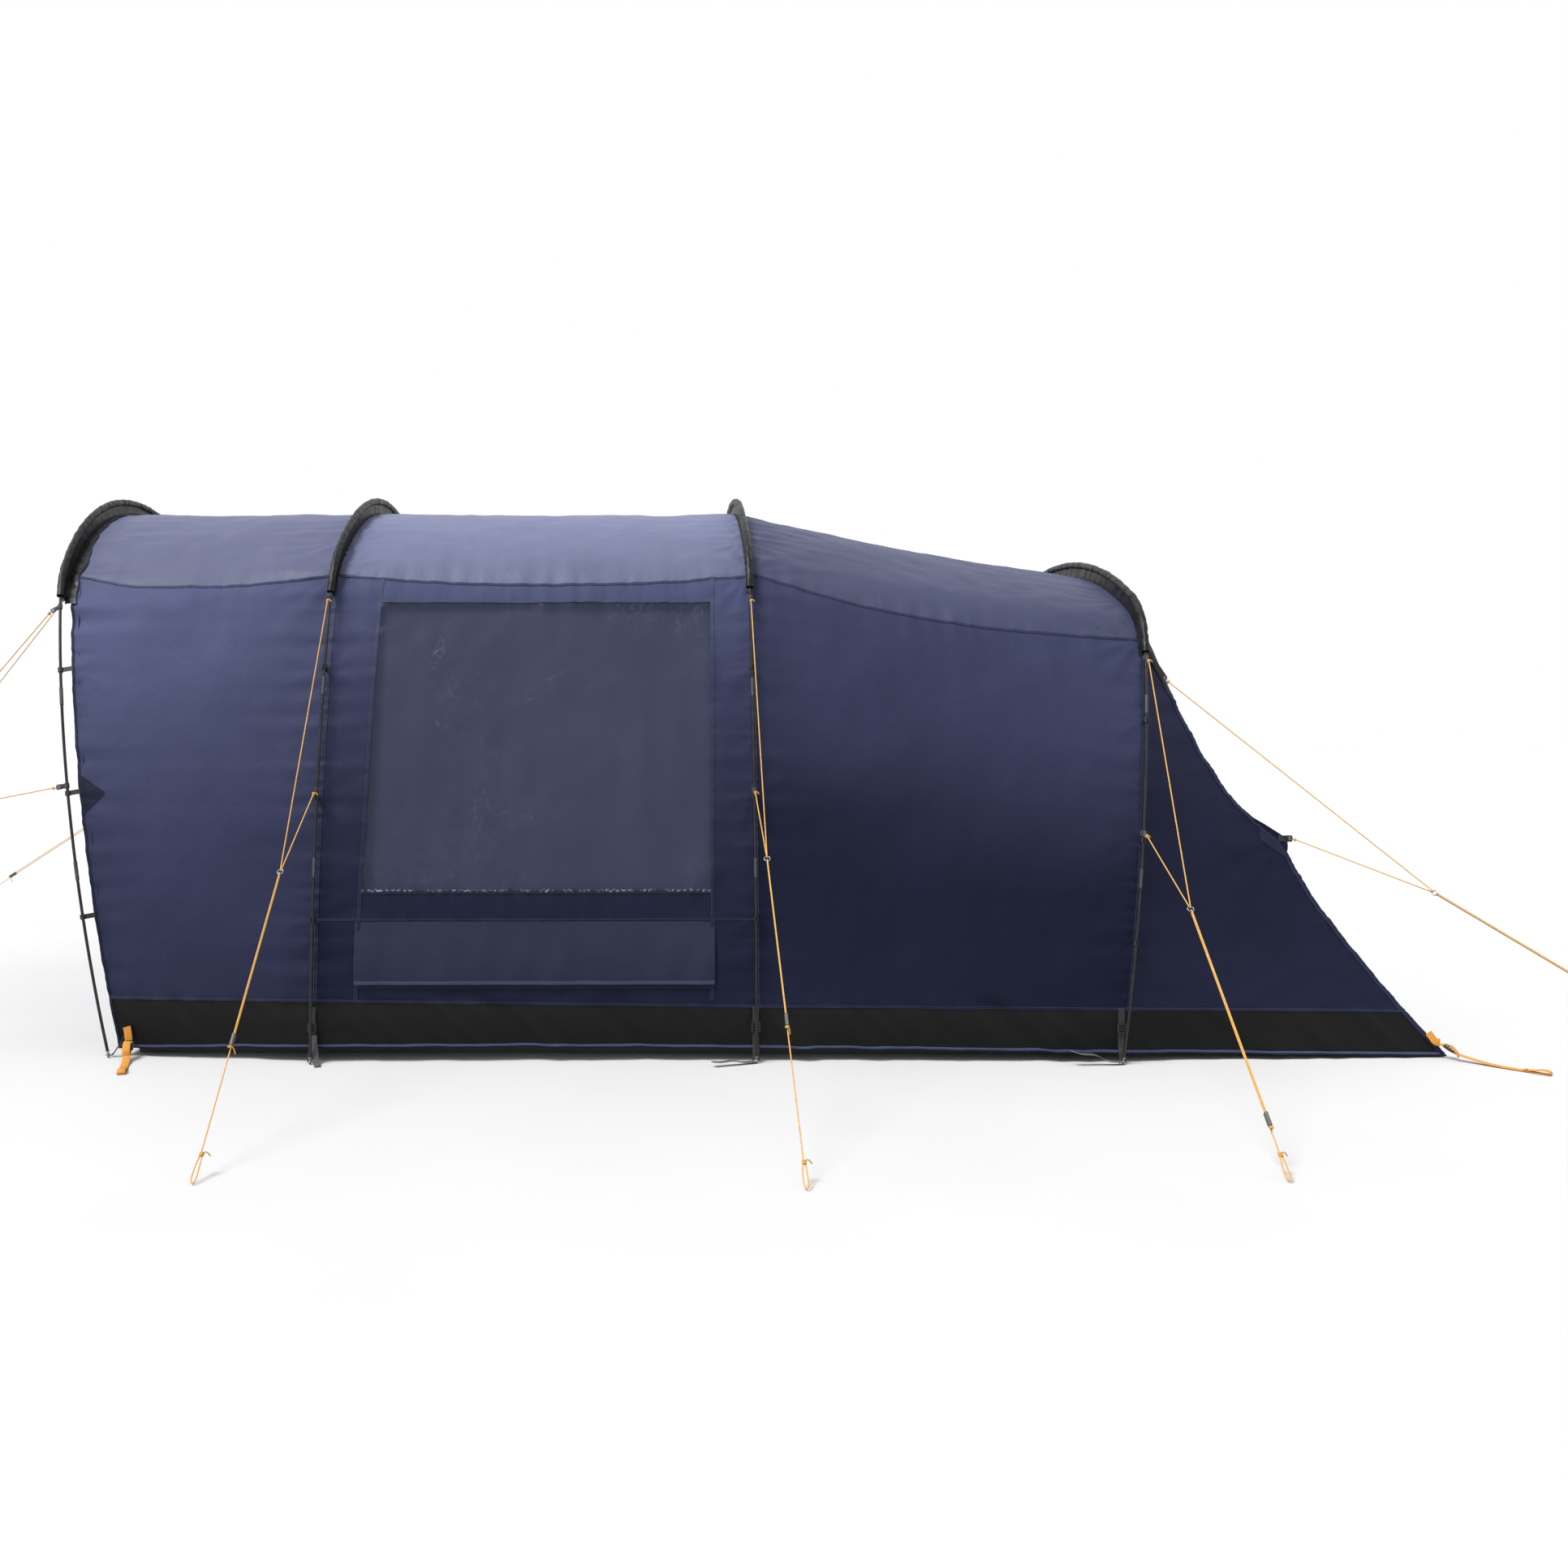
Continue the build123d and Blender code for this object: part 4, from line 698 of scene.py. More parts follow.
def join(name, objects):
    """One object from several, all on the same body."""
    verts, faces, uvs, shade, mats, mat_idx = [], [], [], [], [], []
    base = 0
    for o in objects:
        me = o.data
        k = len(me.vertices)
        co = np.zeros(k * 3)
        me.vertices.foreach_get("co", co)
        verts.append(co.reshape(-1, 3))
        luv = np.zeros(len(me.loops) * 2)
        me.uv_layers[0].data.foreach_get("uv", luv)
        lv = np.zeros(len(me.loops), np.int32)
        me.loops.foreach_get("vertex_index", lv)
        uv = np.zeros((k, 2))
        uv[lv] = luv.reshape(-1, 2)
        uvs.append(uv)
        sh = np.full(k, 0.5)
        if "shade" in me.attributes:
            me.attributes["shade"].data.foreach_get("value", sh)
        shade.append(sh)
        mat = me.materials[0] if me.materials else None
        if mat not in mats:
            mats.append(mat)
        for p in me.polygons:
            faces.append(tuple(v + base for v in p.vertices))
            mat_idx.append(mats.index(mat))
        base += k
    for o in objects:
        me = o.data
        bpy.data.objects.remove(o)
        bpy.data.meshes.remove(me)
    ob = new_object(name, np.concatenate(verts), faces, np.concatenate(uvs), np.concatenate(shade), None, sharp=55)
    for m in mats:
        ob.data.materials.append(m)
    ob.data.polygons.foreach_set("material_index", mat_idx)
    return ob


# ------------------------------------------------------------------ camera, floor and light
cam = bpy.data.cameras.new("camera")
cam.sensor_width = 36
cam.lens = 30.82
cam.shift_x, cam.shift_y = 0.0859, -0.043
camera = bpy.data.objects.new("camera", cam)
camera.location = (-OX, -5.6, 1.113)
camera.rotation_euler = (math.radians(90), 0, 0)
scene.collection.objects.link(camera)
scene.camera = camera

world = bpy.data.worlds.new("world")
scene.world = world
world.use_nodes = True
bg = world.node_tree.nodes["Background"]
bg.inputs[0].default_value = (1.0, 1.0, 1.0, 1.0)
bg.inputs[1].default_value = 1.0


def area_light(name, at, aim, size, power, color=(1, 1, 1)):
    light = bpy.data.lights.new(name, "AREA")
    light.shape = "RECTANGLE"
    light.size, light.size_y = size
    light.energy = power
    light.color = color
    ob = bpy.data.objects.new(name, light)
    ob.location = at
    ob.rotation_euler = (Vector(aim) - Vector(at)).to_track_quat("-Z", "Y").to_euler()
    scene.collection.objects.link(ob)
    return ob


key = bpy.data.lights.new("key", "SUN")
key.energy = 4.4
key.angle = math.radians(24)
key_ob = bpy.data.objects.new("key", key)
key_ob.rotation_euler = Vector((0.52, 0.34, -1.0)).to_track_quat("-Z", "Y").to_euler()
scene.collection.objects.link(key_ob)

floor_mat = Mat("pale floor")
floor_mat.link(
    floor_mat.mix(floor_mat.ramp(floor_mat.noise(floor_mat.coord(), 1.4, 4.0), 0.3, 0.7), (0.47, 0.47, 0.474, 1), (0.485, 0.485, 0.487, 1)),
    floor_mat.bsdf.inputs["Base Color"],
)
floor_mat.set(Roughness=0.85, Specular_IOR_Level=0.15)
floor = new_object("floor", [(-40, -40, 0), (40, -40, 0), (40, 40, 0), (-40, 40, 0)], [(0, 1, 2, 3)], [(0, 0), (1, 0), (1, 1), (0, 1)], None, floor_mat.m)

# ------------------------------------------------------------------ guy lines
GUY_R = 0.0018
RING_R = 0.0086
TURN = 0.0037
LOOP = 0.0055


def cord_curve(name, points, radius=GUY_R, material=None):
    """A smooth spline whose control points are the route's points."""
    cu = bpy.data.curves.new(name, "CURVE")
    cu.dimensions = "3D"
    sp = cu.splines.new("NURBS")
    sp.points.add(len(points) - 1)
    for p, c in zip(sp.points, points):
        p.co = (*c, 1.0)
    sp.order_u = 3
    sp.use_endpoint_u = True
    sp.resolution_u = 12
    cu.resolution_u = sp.resolution_u
    cu.bevel_depth = radius
    cu.bevel_resolution = 3
    cu.use_fill_caps = True
    ob = bpy.data.objects.new(name, cu)
    scene.collection.objects.link(ob)
    if material:
        cu.materials.append(material)
    return ob


def spline_points(points, resolution=12):
    """The points that the route's own spline gives."""
    tmp = cord_curve("tmp_route", points)
    tmp.data.bevel_depth = 0.0
    tmp.data.splines[0].resolution_u = resolution
    bpy.context.view_layer.update()
    me = bpy.data.meshes.new_from_object(tmp)
    pts = np.array([v.co for v in me.vertices], float)
    data = tmp.data
    bpy.data.objects.remove(tmp)
    bpy.data.curves.remove(data)
    bpy.data.meshes.remove(me)
    return pts


class Guy:
    def __init__(self, name, tips, ring, loop, runner_s, knot_s, joint, runner, travel):
        self.name = name
        self.tips = [np.array(t) / 1000 for t in tips]
        self.ring, self.loop = np.array(ring) / 1000, np.array(loop) / 1000
        d = self.loop - self.ring
        self.length = float(np.linalg.norm(d))
        self.line = d / self.length
        if len(tips) == 2:
            a = np.cross(self.tips[0] - self.ring, self.tips[1] - self.ring)
        else:
            a = np.array([0.0, 1.0, 0.0])
        a = a - self.line * np.dot(a, self.line)
        self.across = a / np.linalg.norm(a)
        n = np.cross(self.line, self.across)
        self.normal = n / np.linalg.norm(n)
        if self.normal[2] < 0:
            self.normal = -self.normal
        self.runner_s, self.knot_s = runner_s / 1000, knot_s / 1000
        self.joint, self.runner, self.travel = joint, runner, travel / 1000

    def on(self, s, side=0.0, off=0.0):
        return self.ring + self.line * s + self.across * side + self.normal * off


GUY_DATA = [
    ("arch_1_left", [[-2389.3, -978.6, 1474.5], [-2285.5, -1172.5, 878.9]], [-2866.3, -1230.0, 764.0], [-4094.3, -1445.0, 4.6], 905.1, 1350.3, 842.1),
    ("arch_1_right", [[-2389.3, 978.6, 1474.5], [-2285.5, 1172.5, 878.9]], [-2866.3, 1230.0, 764.0], [-4094.3, 1445.0, 4.6], 905.1, 1350.3, 842.1),
    ("arch_2_left", [[-1414.3, -1068.8, 1512.2], [-1414.3, -1252.9, 868.7]], [-1414.3, -1654.0, 657.0], [-1414.3, -2415.0, 4.6], 593.4, 916.2, 530.4),
    ("arch_2_right", [[-1414.3, 1068.8, 1512.2], [-1414.3, 1252.9, 868.7]], [-1414.3, 1654.0, 657.0], [-1414.3, 2270.0, 4.6], 531.2, 820.1, 468.2),
    ("arch_3_left", [[14.7, -1052.6, 1513.0], [14.7, -1235.5, 870.4]], [14.7, -1680.0, 698.0], [40.7, -2453.0, 4.6], 564.0, 960.8, 501.0),
    ("arch_3_right", [[14.7, 1052.6, 1513.0], [14.7, 1235.5, 870.4]], [14.7, 1680.0, 698.0], [30.7, 2270.0, 4.6], 494.4, 842.3, 431.4),
    ("arch_4_left", [[1319.2, -1166.2, 1303.8], [1259.8, -1307.5, 735.4]], [1198.7, -1811.0, 570.0], [1199.7, -2400.0, 4.6], 653.2, 738.9, 590.2),
    ("arch_4_right", [[1319.2, 1166.2, 1303.8], [1259.8, 1307.5, 735.4]], [1198.7, 1811.0, 570.0], [1199.7, 2270.0, 4.6], 582.6, 659.1, 519.6),
    ("rear_left", [[1411.7, -1078.0, 1236.0], [1816.7, -1122.0, 706.0]], [2040.7, -1550.0, 581.0], [2705.7, -2395.0, 4.6], 732.0, 1128.5, 669.0),
    ("rear_right", [[1411.7, 1078.0, 1236.0], [1816.7, 1122.0, 706.0]], [2040.7, 1550.0, 581.0], [2705.7, 2240.0, 4.6], 671.0, 1034.4, 608.0),
    ("crown", [[-2474.9, 0.0, 1977.2]], [-3338.6, 0.0, 872.5], [-4017.3, 0.0, 4.6], 639.0, 1013.6, 576.0),
]
guys = []
for gname, tips, ring, loop, rs, ks, travel in GUY_DATA:
    guys.append(Guy(gname, tips, ring, loop, rs, ks, f"runner_{gname}_slide", f"guy_runner_{gname}", travel))


def wrap_knot(name, center, axis, side, radius, turns, pitch, tail, body):
    """A tied knot: turns of rope round the strands, a crossing turn over them, and a short tail."""
    axis, side = unit(axis), unit(side)
    third = np.cross(axis, side)
    pts = []
    steps = int(turns * 14)
    for i in range(steps + 1):
        a = 2 * math.pi * turns * i / steps
        wob = 1 + 0.10 * math.sin(2.3 * a + len(name))
        s = -turns * pitch / 2 + turns * pitch * i / steps
        pts.append(center + axis * s + (side * math.cos(a) + third * math.sin(a)) * radius * wob)
    # crossing turn back over the wraps
    a1 = 2 * math.pi * turns
    for i in range(1, 11):
        f = i / 10
        a = a1 + math.pi * 0.9 * f
        s = turns * pitch / 2 * (1 - 2 * f) * 0.9
        pts.append(center + axis * s + (side * math.cos(a) + third * math.sin(a)) * (radius + GUY_R * 1.5 * math.sin(math.pi * f)))
    end_dir = unit(pts[-1] - pts[-2])
    last = pts[-1]
    down = np.array([0, 0, -1.0])
    out = unit(side * math.cos(a) + third * math.sin(a))
    for i in range(1, 9):
        f = i / 8
        pts.append(last + out * tail * 0.55 * f + end_dir * tail * 0.5 * f * (1 - 0.4 * f) + down * tail * 0.45 * f * f)
    ob = tube_mesh(name, catmull(pts[:: 2] + [pts[-1]], 0.0022), GUY_R, M["rope"], sides=8, body=body)
    return ob


guy_nodes = {}
for g in guys:
    node = "guy_line_crown" if g.name == "crown" else "guy_lines_" + g.name.rsplit("_", 1)[0]
    top = g.on(-RING_R)
    # bridle
    if len(g.tips) == 2:
        corners = []
        for tip in g.tips:
            d = top - tip
            d = unit(d - g.across * np.dot(d, g.across))
            n = unit(d - g.line * np.dot(g.line, d))
            n = unit(g.line - d * np.dot(g.line, d))
            both = unit(n + g.line)
            corners.append(top + both * (TURN / np.dot(both, g.line)))
        a, b = g.tips
        start = a + unit(corners[0] - a) * 0.0025
        end = b + unit(corners[1] - b) * 0.0025
        near_a = corners[0] + unit(a - corners[0]) * 0.022
        near_b = corners[1] + unit(b - corners[1]) * 0.022
        pts = [start, near_a, corners[0], corners[1], near_b, end]
        br = cord_curve(f"guy_bridle_{g.name}", pts, material=M["rope"])
        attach(br, "tent")
        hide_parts(node)
        knots = [
            wrap_knot(f"guy_tie_{g.name}_{i}", p + unit(q - p) * 0.009, unit(q - p), g.across, 0.0030, 2.0, 0.0036, 0.020, "tent")
            for i, (p, q) in enumerate(((a, corners[0]), (b, corners[1])))
        ]
    else:
        way = unit(top - g.tips[0])
        start, end = g.tips[0] + way * 0.0025, top - way * 0.002
        # a single leg: one more point near the ring, as its run is straight
        pts = [start, end - way * 0.022, end]
        br = cord_curve(f"guy_leg_{g.name}", pts, material=M["rope"])
        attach(br, "tent")
        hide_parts(node)
        knots = [
            wrap_knot(f"guy_tie_{g.name}_0", start + way * 0.009, way, g.across, 0.0030, 2.0, 0.0036, 0.022, "tent"),
            wrap_knot(f"guy_tie_{g.name}_1", end - way * 0.010, -way, g.across, 0.0030, 2.2, 0.0036, 0.026, "tent"),
        ]
    # the main strand: round the ring, through the runner, to the knot and the peg loop
    P = g.on(RING_R - TURN)
    far = g.length - GUY_R
    pts = [
        P,
        g.on(RING_R - TURN, 0, -TURN),
        g.on(RING_R - TURN + 0.022, 0, -TURN),
        g.on(g.knot_s - 0.022, 0, -TURN),
        g.on(g.knot_s, 0.0004, -TURN),
        g.on((g.knot_s + far) / 2, 0.0062, -0.0024),
        g.on(far, 0.0060, 0),
        g.on(far, -0.0060, 0),
        g.on((g.knot_s + far) / 2, -0.0052, -0.0024),
        g.on(g.knot_s + 0.008, -0.0040, -TURN),
    ]
    main = cord_curve(f"guy_main_{g.name}", pts, material=M["rope"])
    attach(main, "tent")
    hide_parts(node)
    knot = wrap_knot(f"guy_loop_knot_{g.name}", g.on(g.knot_s + 0.006, -0.0016, -TURN), g.line, g.across, 0.0042, 3.0, 0.0037, 0.030, "tent")
    # the return strand, from the ring back to the runner
    end_s = g.runner_s + 0.017
    ctrl = [P, g.on(RING_R - TURN, 0, TURN), g.on(RING_R - TURN + 0.022, 0, TURN), g.on(end_s, 0, TURN)]
    path = spline_points(ctrl, 16)
    ret = tube_mesh(f"guy_return_{g.name}", path, GUY_R, M["rope"], sides=10, body="tent")
    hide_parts(node)
    total = end_s - (RING_R - TURN)
    stop = wrap_knot(f"guy_stopper_{g.name}", g.on(g.runner_s + 0.0235, 0, TURN), g.line, g.across, 0.0030, 1.8, 0.0036, 0.034, g.runner)
    # the runner's orange end tail: a tab of webbing folded through its end
    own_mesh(ret)

# ------------------------------------------------------------------ cloth surfaces
X = lambda station: station - OX


class Surf:
    """A cloth surface with two parameters; at() gives points with the wrinkles on."""

    eps = 0.002

    def normal(self, a, b):
        da, db = self.da, self.db
        pa = self.base(a + da, b) - self.base(a - da, b)
        pb = self.base(a, b + db) - self.base(a, b - db)
        n = np.cross(pa, pb)
        return n / np.maximum(np.linalg.norm(n, axis=-1, keepdims=True), 1e-12)

    def disp(self, a, b):
        return 0.0 * (np.asarray(a) + np.asarray(b))

    def at(self, a, b, off=0.0):
        a, b = np.broadcast_arrays(np.asarray(a, float), np.asarray(b, float))
        n = self.normal(a, b)
        return self.base(a, b) + n * (self.disp(a, b) + off)[..., None]

    def shell(self, a, b, off=0.0):
        """Points and the normals of the wrinkled surface, for a grid."""
        P = self.at(a, b, off)
        n0 = self.normal(a, b)
        N = grid_normals(P)
        flip = np.sign((N * n0).sum(-1, keepdims=True))
        return P, N * np.where(flip == 0, 1, flip)


CLIP_Z = {1: (0.460, 0.860, 1.270), 2: (0.460, 0.850, 1.280), 3: (0.460, 0.850, 1.280), 4: (0.390, 0.715, 1.100)}
SEAM_PTS = {
    1: [(0.0, 1.617), (0.023, 1.613), (0.233, 1.579), (0.431, 1.565), (0.72, 1.575), (0.99, 1.605), (1.0, 1.606)],
    2: [(0.0, 1.606), (0.017, 1.605), (0.25, 1.581), (0.5, 1.573), (0.85, 1.585), (0.996, 1.603), (1.0, 1.604)],
    3: [(0.0, 1.612), (0.03, 1.603), (0.184, 1.541), (0.383, 1.473), (0.581, 1.426), (0.88, 1.388), (0.986, 1.376), (1.0, 1.375)],
}
SEAM_FIT = {n: np.polyfit([p[0] for p in v], [p[1] for p in v], 3 if n < 3 else 4) for n, v in SEAM_PTS.items()}
HEM_PTS = {1: [(0, 0.026), (1, 0.046)], 2: [(0, 0.046), (0.5, 0.047), (1, 0.040)], 3: [(0, 0.040), (0.5, 0.036), (1, 0.028)]}
MUD_PTS = {1: [(0, 0.195), (1, 0.197)], 2: [(0, 0.197), (0.5, 0.187), (1, 0.177)], 3: [(0, 0.177), (1, 0.173)]}
SAG = {1: 0.002, 2: 0.004, 3: 0.013}

seam_z = lambda n: (lambda u: np.polyval(SEAM_FIT[n], u))
hem_line = lambda n: (lambda u: np.interp(u, [p[0] for p in HEM_PTS[n]], [p[1] for p in HEM_PTS[n]]))
mud_line = lambda n: (lambda u: np.interp(u, [p[0] for p in MUD_PTS[n]], [p[1] for p in MUD_PTS[n]]))
HOOP_NOISE = {n: (Waves(100 + n, 0.024, 0.055, 1, 18), Waves(120 + n, 0.07, 0.19, 1, 14)) for n in range(1, 5)}
BROAD = Waves(11, 0.26, 0.85, 3, 22)
MIDDLE = Waves(12, 0.09, 0.24, 3, 26)
CRINKLE = Waves(13, 0.034, 0.085, 3, 34)
CREASE = Waves(14, 0.16, 0.42, 3, 20)
DIAG = Waves(15, 0.07, 0.20, 3, 22)
SEAMLONG = Waves(16, 0.06, 0.16, 3, 16)
SEAMSHORT = Waves(17, 0.022, 0.048, 3, 20)


class Bay(Surf):
    """Cloth between two hoops: u runs from the first to the second, q is the length from the
    crown line, negative on the left-hand side."""

    da = 0.003
    db = 0.004

    def __init__(self, n, a=None, b=None):
        self.n = n
        self.a, self.b = a or CLOTH[n], b or CLOTH[n + 1]
        self.L = (self.a.L + self.b.L) / 2
        self.half = float(self.L[3])
        self.span = abs(self.b.x - self.a.x)

    def base(self, u, q):
        u, q = np.broadcast_arrays(np.asarray(u, float), np.asarray(q, float))
        # a little past the crown keeps the normals right on it
        t = np.interp(self.half - np.abs(q), self.L, [0, 1, 2, 3])
        side = np.where(q < 0, -1.0, 1.0)
        ya, za, _ = self.a.flat(t)
        yb, zb, _ = self.b.flat(t)
        pa, pb = self.a.space(side * ya, za), self.b.space(side * yb, zb)
        return pa * (1 - u)[..., None] + pb * u[..., None]

    def q_at(self, u, z, side):
        u, z = np.broadcast_arrays(np.asarray(u, float), np.asarray(z, float))
        lo, hi = np.zeros(u.shape), np.full(u.shape, 3.0)
        ca, cb = math.cos(self.a.lean), math.cos(self.b.lean)
        for _ in range(34):
            mid = (lo + hi) / 2
            zz = (1 - u) * self.a.flat(mid)[1] * ca + u * self.b.flat(mid)[1] * cb
            low = zz < z
            lo, hi = np.where(low, mid, lo), np.where(low, hi, mid)
        s = np.interp((lo + hi) / 2, [0, 1, 2, 3], self.L)
        return side * (self.half - s)

    def disp(self, u, q):
        u, q = np.broadcast_arrays(np.asarray(u, float), np.asarray(q, float))
        P = self.base(u, q)
        x, y, z = P[..., 0], P[..., 1], P[..., 2]
        t = np.interp(self.half - np.abs(q), self.L, [0, 1, 2, 3])
        d0, d1 = u * self.span, (1 - u) * self.span
        edge = np.minimum(d0, d1)
        win = smooth(0.0, 0.11, edge)
        roof = smooth(1.35, 1.7, z)
        total = -SAG[self.n] * 4 * u * (1 - u) * (0.55 + 0.45 * roof) * smooth(0.03, 0.4, z)
        total = total + win * (0.0021 * BROAD(x, y, z * 0.7) * (1 - 0.45 * roof))
        total = total + win * 0.00085 * MIDDLE(x * 1.1, y, z * 0.6)
        total = total + 0.00020 * CRINKLE(x, y, z)
        # fold lines left by packing
        total = total + win * 0.0007 * ridges(CREASE(x, y, z), 0.10) * smooth(0.2, 1.0, MIDDLE(z, x, y))
        # gathers at the hoops
        for hoop, d, i in ((self.a, d0, 0), (self.b, d1, 1)):
            short, long = HOOP_NOISE[self.n + i]
            c = hoop.length(t) * np.where(q < 0, 1.0, -1.0) + 3.1 * (q > 0)
            total = total + 0.0012 * short(c) * np.exp(-d / 0.035) + 0.0024 * long(c) * np.exp(-d / 0.11) * smooth(0, 0.02, d)
            # where the sleeve stops the cloth pulls in a fan of short folds
            for cz, count, turn in ((float(np.polyval(SEAM_FIT[self.n], float(i))), 13, 0.0), (float(np.polyval(SEAM_FIT[self.n], float(i))) + 0.14, 11, 1.1)):
                ds = hoop.length(t) - hoop.length(float(hoop.t_at_z(cz)))
                r = np.sqrt(d ** 2 + ds ** 2)
                ang = np.arctan2(ds, d + 1e-6)
                total = total + 0.0022 * np.cos(count * ang + turn + 2.3 * self.n) * np.exp(-((r / 0.20) ** 2)) * smooth(0.012, 0.07, r)
            # clips pull the cloth out, with short rays round them
            ca = math.cos(hoop.lean)
            for cz in CLIP_Z[self.n + i]:
                s0 = hoop.length(float(hoop.t_at_z(cz)))
                ds = hoop.length(t) - s0
                r = np.sqrt(d ** 2 + ds ** 2)
                ang = np.arctan2(ds, d + 1e-6)
                total = total + 0.0035 * np.exp(-((r / 0.05) ** 2))
                total = total + 0.0011 * np.cos(7 * ang + cz * 9 + hoop.x) * np.exp(-((r - 0.07) / 0.06) ** 2) * (r > 0.01)
        # gathers along the roof seam
        dz = np.abs(z - np.polyval(SEAM_FIT[self.n], u))
        total = total + 0.0007 * SEAMSHORT(x, y * 0.2, z * 0.2) * np.exp(-dz / 0.035) * smooth(0, 0.05, edge)
        total = total + 0.0013 * SEAMLONG(x, y * 0.15, z * 0.15) * np.exp(-dz / 0.11) * smooth(0, 0.08, edge)
        # the mud wall hangs in soft diagonals
        mud = 1 - smooth(0.17, 0.215, z)
        total = total + mud * smooth(0, 0.12, edge) * 0.0032 * DIAG(x + z * 0.9, y * 0.2, z * 0.35)
        dm = np.abs(z - 0.19)
        total = total + 0.0006 * SEAMSHORT(x + 3, y * 0.2, z * 0.2) * np.exp(-dm / 0.03)
        if self.n == 2:
            inside = smooth(0.085, 0.115, u) * (1 - smooth(0.90, 0.93, u))
            for zz, a1, a2 in ((1.511, 0.0008, 0.0014), (0.543, 0.0010, 0.0016), (0.445, 0.0010, 0.0012)):
                dd = np.abs(z - zz)
                total = total + inside * (a1 * SEAMSHORT(x + zz, y * 0.2, z * 0.2) * np.exp(-dd / 0.03) + a2 * SEAMLONG(x + 2 * zz, y * 0.2, z * 0.2) * np.exp(-dd / 0.09))
            for uu in (0.107, 0.906):
                dd = np.abs(u - uu) * self.span
                total = total + (0.0007 * SEAMSHORT(z + uu, y * 0.2, 0 * z) * np.exp(-dd / 0.03) + 0.0011 * SEAMLONG(z, y * 0.2, 0 * x) * np.exp(-dd / 0.08)) * smooth(0.2, 0.3, z)
            # film: broad soft waves and a slack crossing of tension lines
            film = inside * smooth(0.56, 0.62, z) * (1 - smooth(1.44, 1.50, z))
            total = total + film * (0.0016 * BROAD(x * 1.5 + 4, y, z * 1.2) + 0.0010 * DIAG(x * 0.8 - z * 0.5, y, z * 0.5))
        # under a sleeve's seam allowance it lies flat
        sewn = smooth(1.585, 1.625, z) if self.n < 3 else smooth(np.interp(u, [0, 1], [1.590, 1.345]), np.interp(u, [0, 1], [1.630, 1.385]), z)
        if self.n == 1:
            free = smooth(0.020, 0.050, d0) * smooth(0.0115, 0.030, d1)
        else:
            free = smooth(0.0115, 0.030, edge)
        return total * (1 - sewn * (1 - free))


bays = {n: Bay(n) for n in (1, 2, 3)}

FRONT_O = np.array([X(-1.764) + 0.046, 0.0, 0.0])
FRONT_UP = np.array([-0.1754, 0.0, 0.9845])
FRONT_N = np.array([-0.9845, 0.0, -0.1754])


def front_u(z_or_t, by_t=False):
    """Where bay 1 meets the front wall's plane."""
    bay = bays[1]
    t = z_or_t if by_t else None
    if by_t:
        ya, za, _ = bay.a.flat(t)
        yb, zb, _ = bay.b.flat(t)
        pa, pb = bay.a.space(ya, za), bay.b.space(yb, zb)
        return -((pa - FRONT_O) @ FRONT_N) / ((pb - pa) @ FRONT_N)
    t = bay.a.t_at_z(z_or_t)
    return front_u(t, True)


front_edge = lambda z: front_u(np.asarray(z, float)) - 0.016 / bays[1].span


def groups(cuts_len, step):
    """Cell counts and the (group, fraction) of each grid line."""
    idx, frac, cell = [0], [0.0], []
    for g, ln in enumerate(cuts_len):
        n = max(2, int(math.ceil(ln / step)))
        for i in range(1, n + 1):
            idx.append(g)
            frac.append(i / n)
            cell.append(g)
    return np.array(idx), np.array(frac), np.array(cell)


def panel_grid(bay, side, ucuts, zcuts, step=STEP):
    """Grid (u, q) between boundary lines: ucuts are functions of z, zcuts functions of u."""
    zm = float(np.mean([zcuts[0](0.5), zcuts[-1](0.5)]))
    ul = [bay.span * float(b(zm) - a(zm)) for a, b in zip(ucuts, ucuts[1:])]
    zl = []
    for a, b in zip(zcuts, zcuts[1:]):
        qa, qb = bay.q_at(0.5, a(0.5), 1), bay.q_at(0.5, b(0.5), 1)
        zl.append(abs(float(qa - qb)))
    gi, gf, gc = groups(ul, step)
    hi, hf, hc = groups(zl, step)
    U = np.broadcast_to(np.linspace(0, 1, len(gi))[:, None], (len(gi), len(hi))).copy()
    Z = np.full(U.shape, zm)
    for _ in range(4):
        ZA = np.stack([f(U) + 0 * U for f in zcuts])
        za = np.take_along_axis(ZA, np.broadcast_to(hi[None, None, :], (1,) + U.shape), 0)[0]
        zb = np.take_along_axis(ZA, np.broadcast_to(hi[None, None, :] + 1, (1,) + U.shape), 0)[0]
        # even spacing along the cloth between two lines, by height
        Z = za + (zb - za) * hf[None, :]
        UA = np.stack([f(Z) + 0 * Z for f in ucuts])
        ua = np.take_along_axis(UA, np.broadcast_to(gi[None, :, None], (1,) + U.shape), 0)[0]
        ub = np.take_along_axis(UA, np.broadcast_to(gi[None, :, None] + 1, (1,) + U.shape), 0)[0]
        U = ua + (ub - ua) * gf[:, None]
    Q = bay.q_at(U, Z, side)
    return U, Q, Z, gc, hc


def const(v):
    return lambda a: v + 0.0 * np.asarray(a, float)


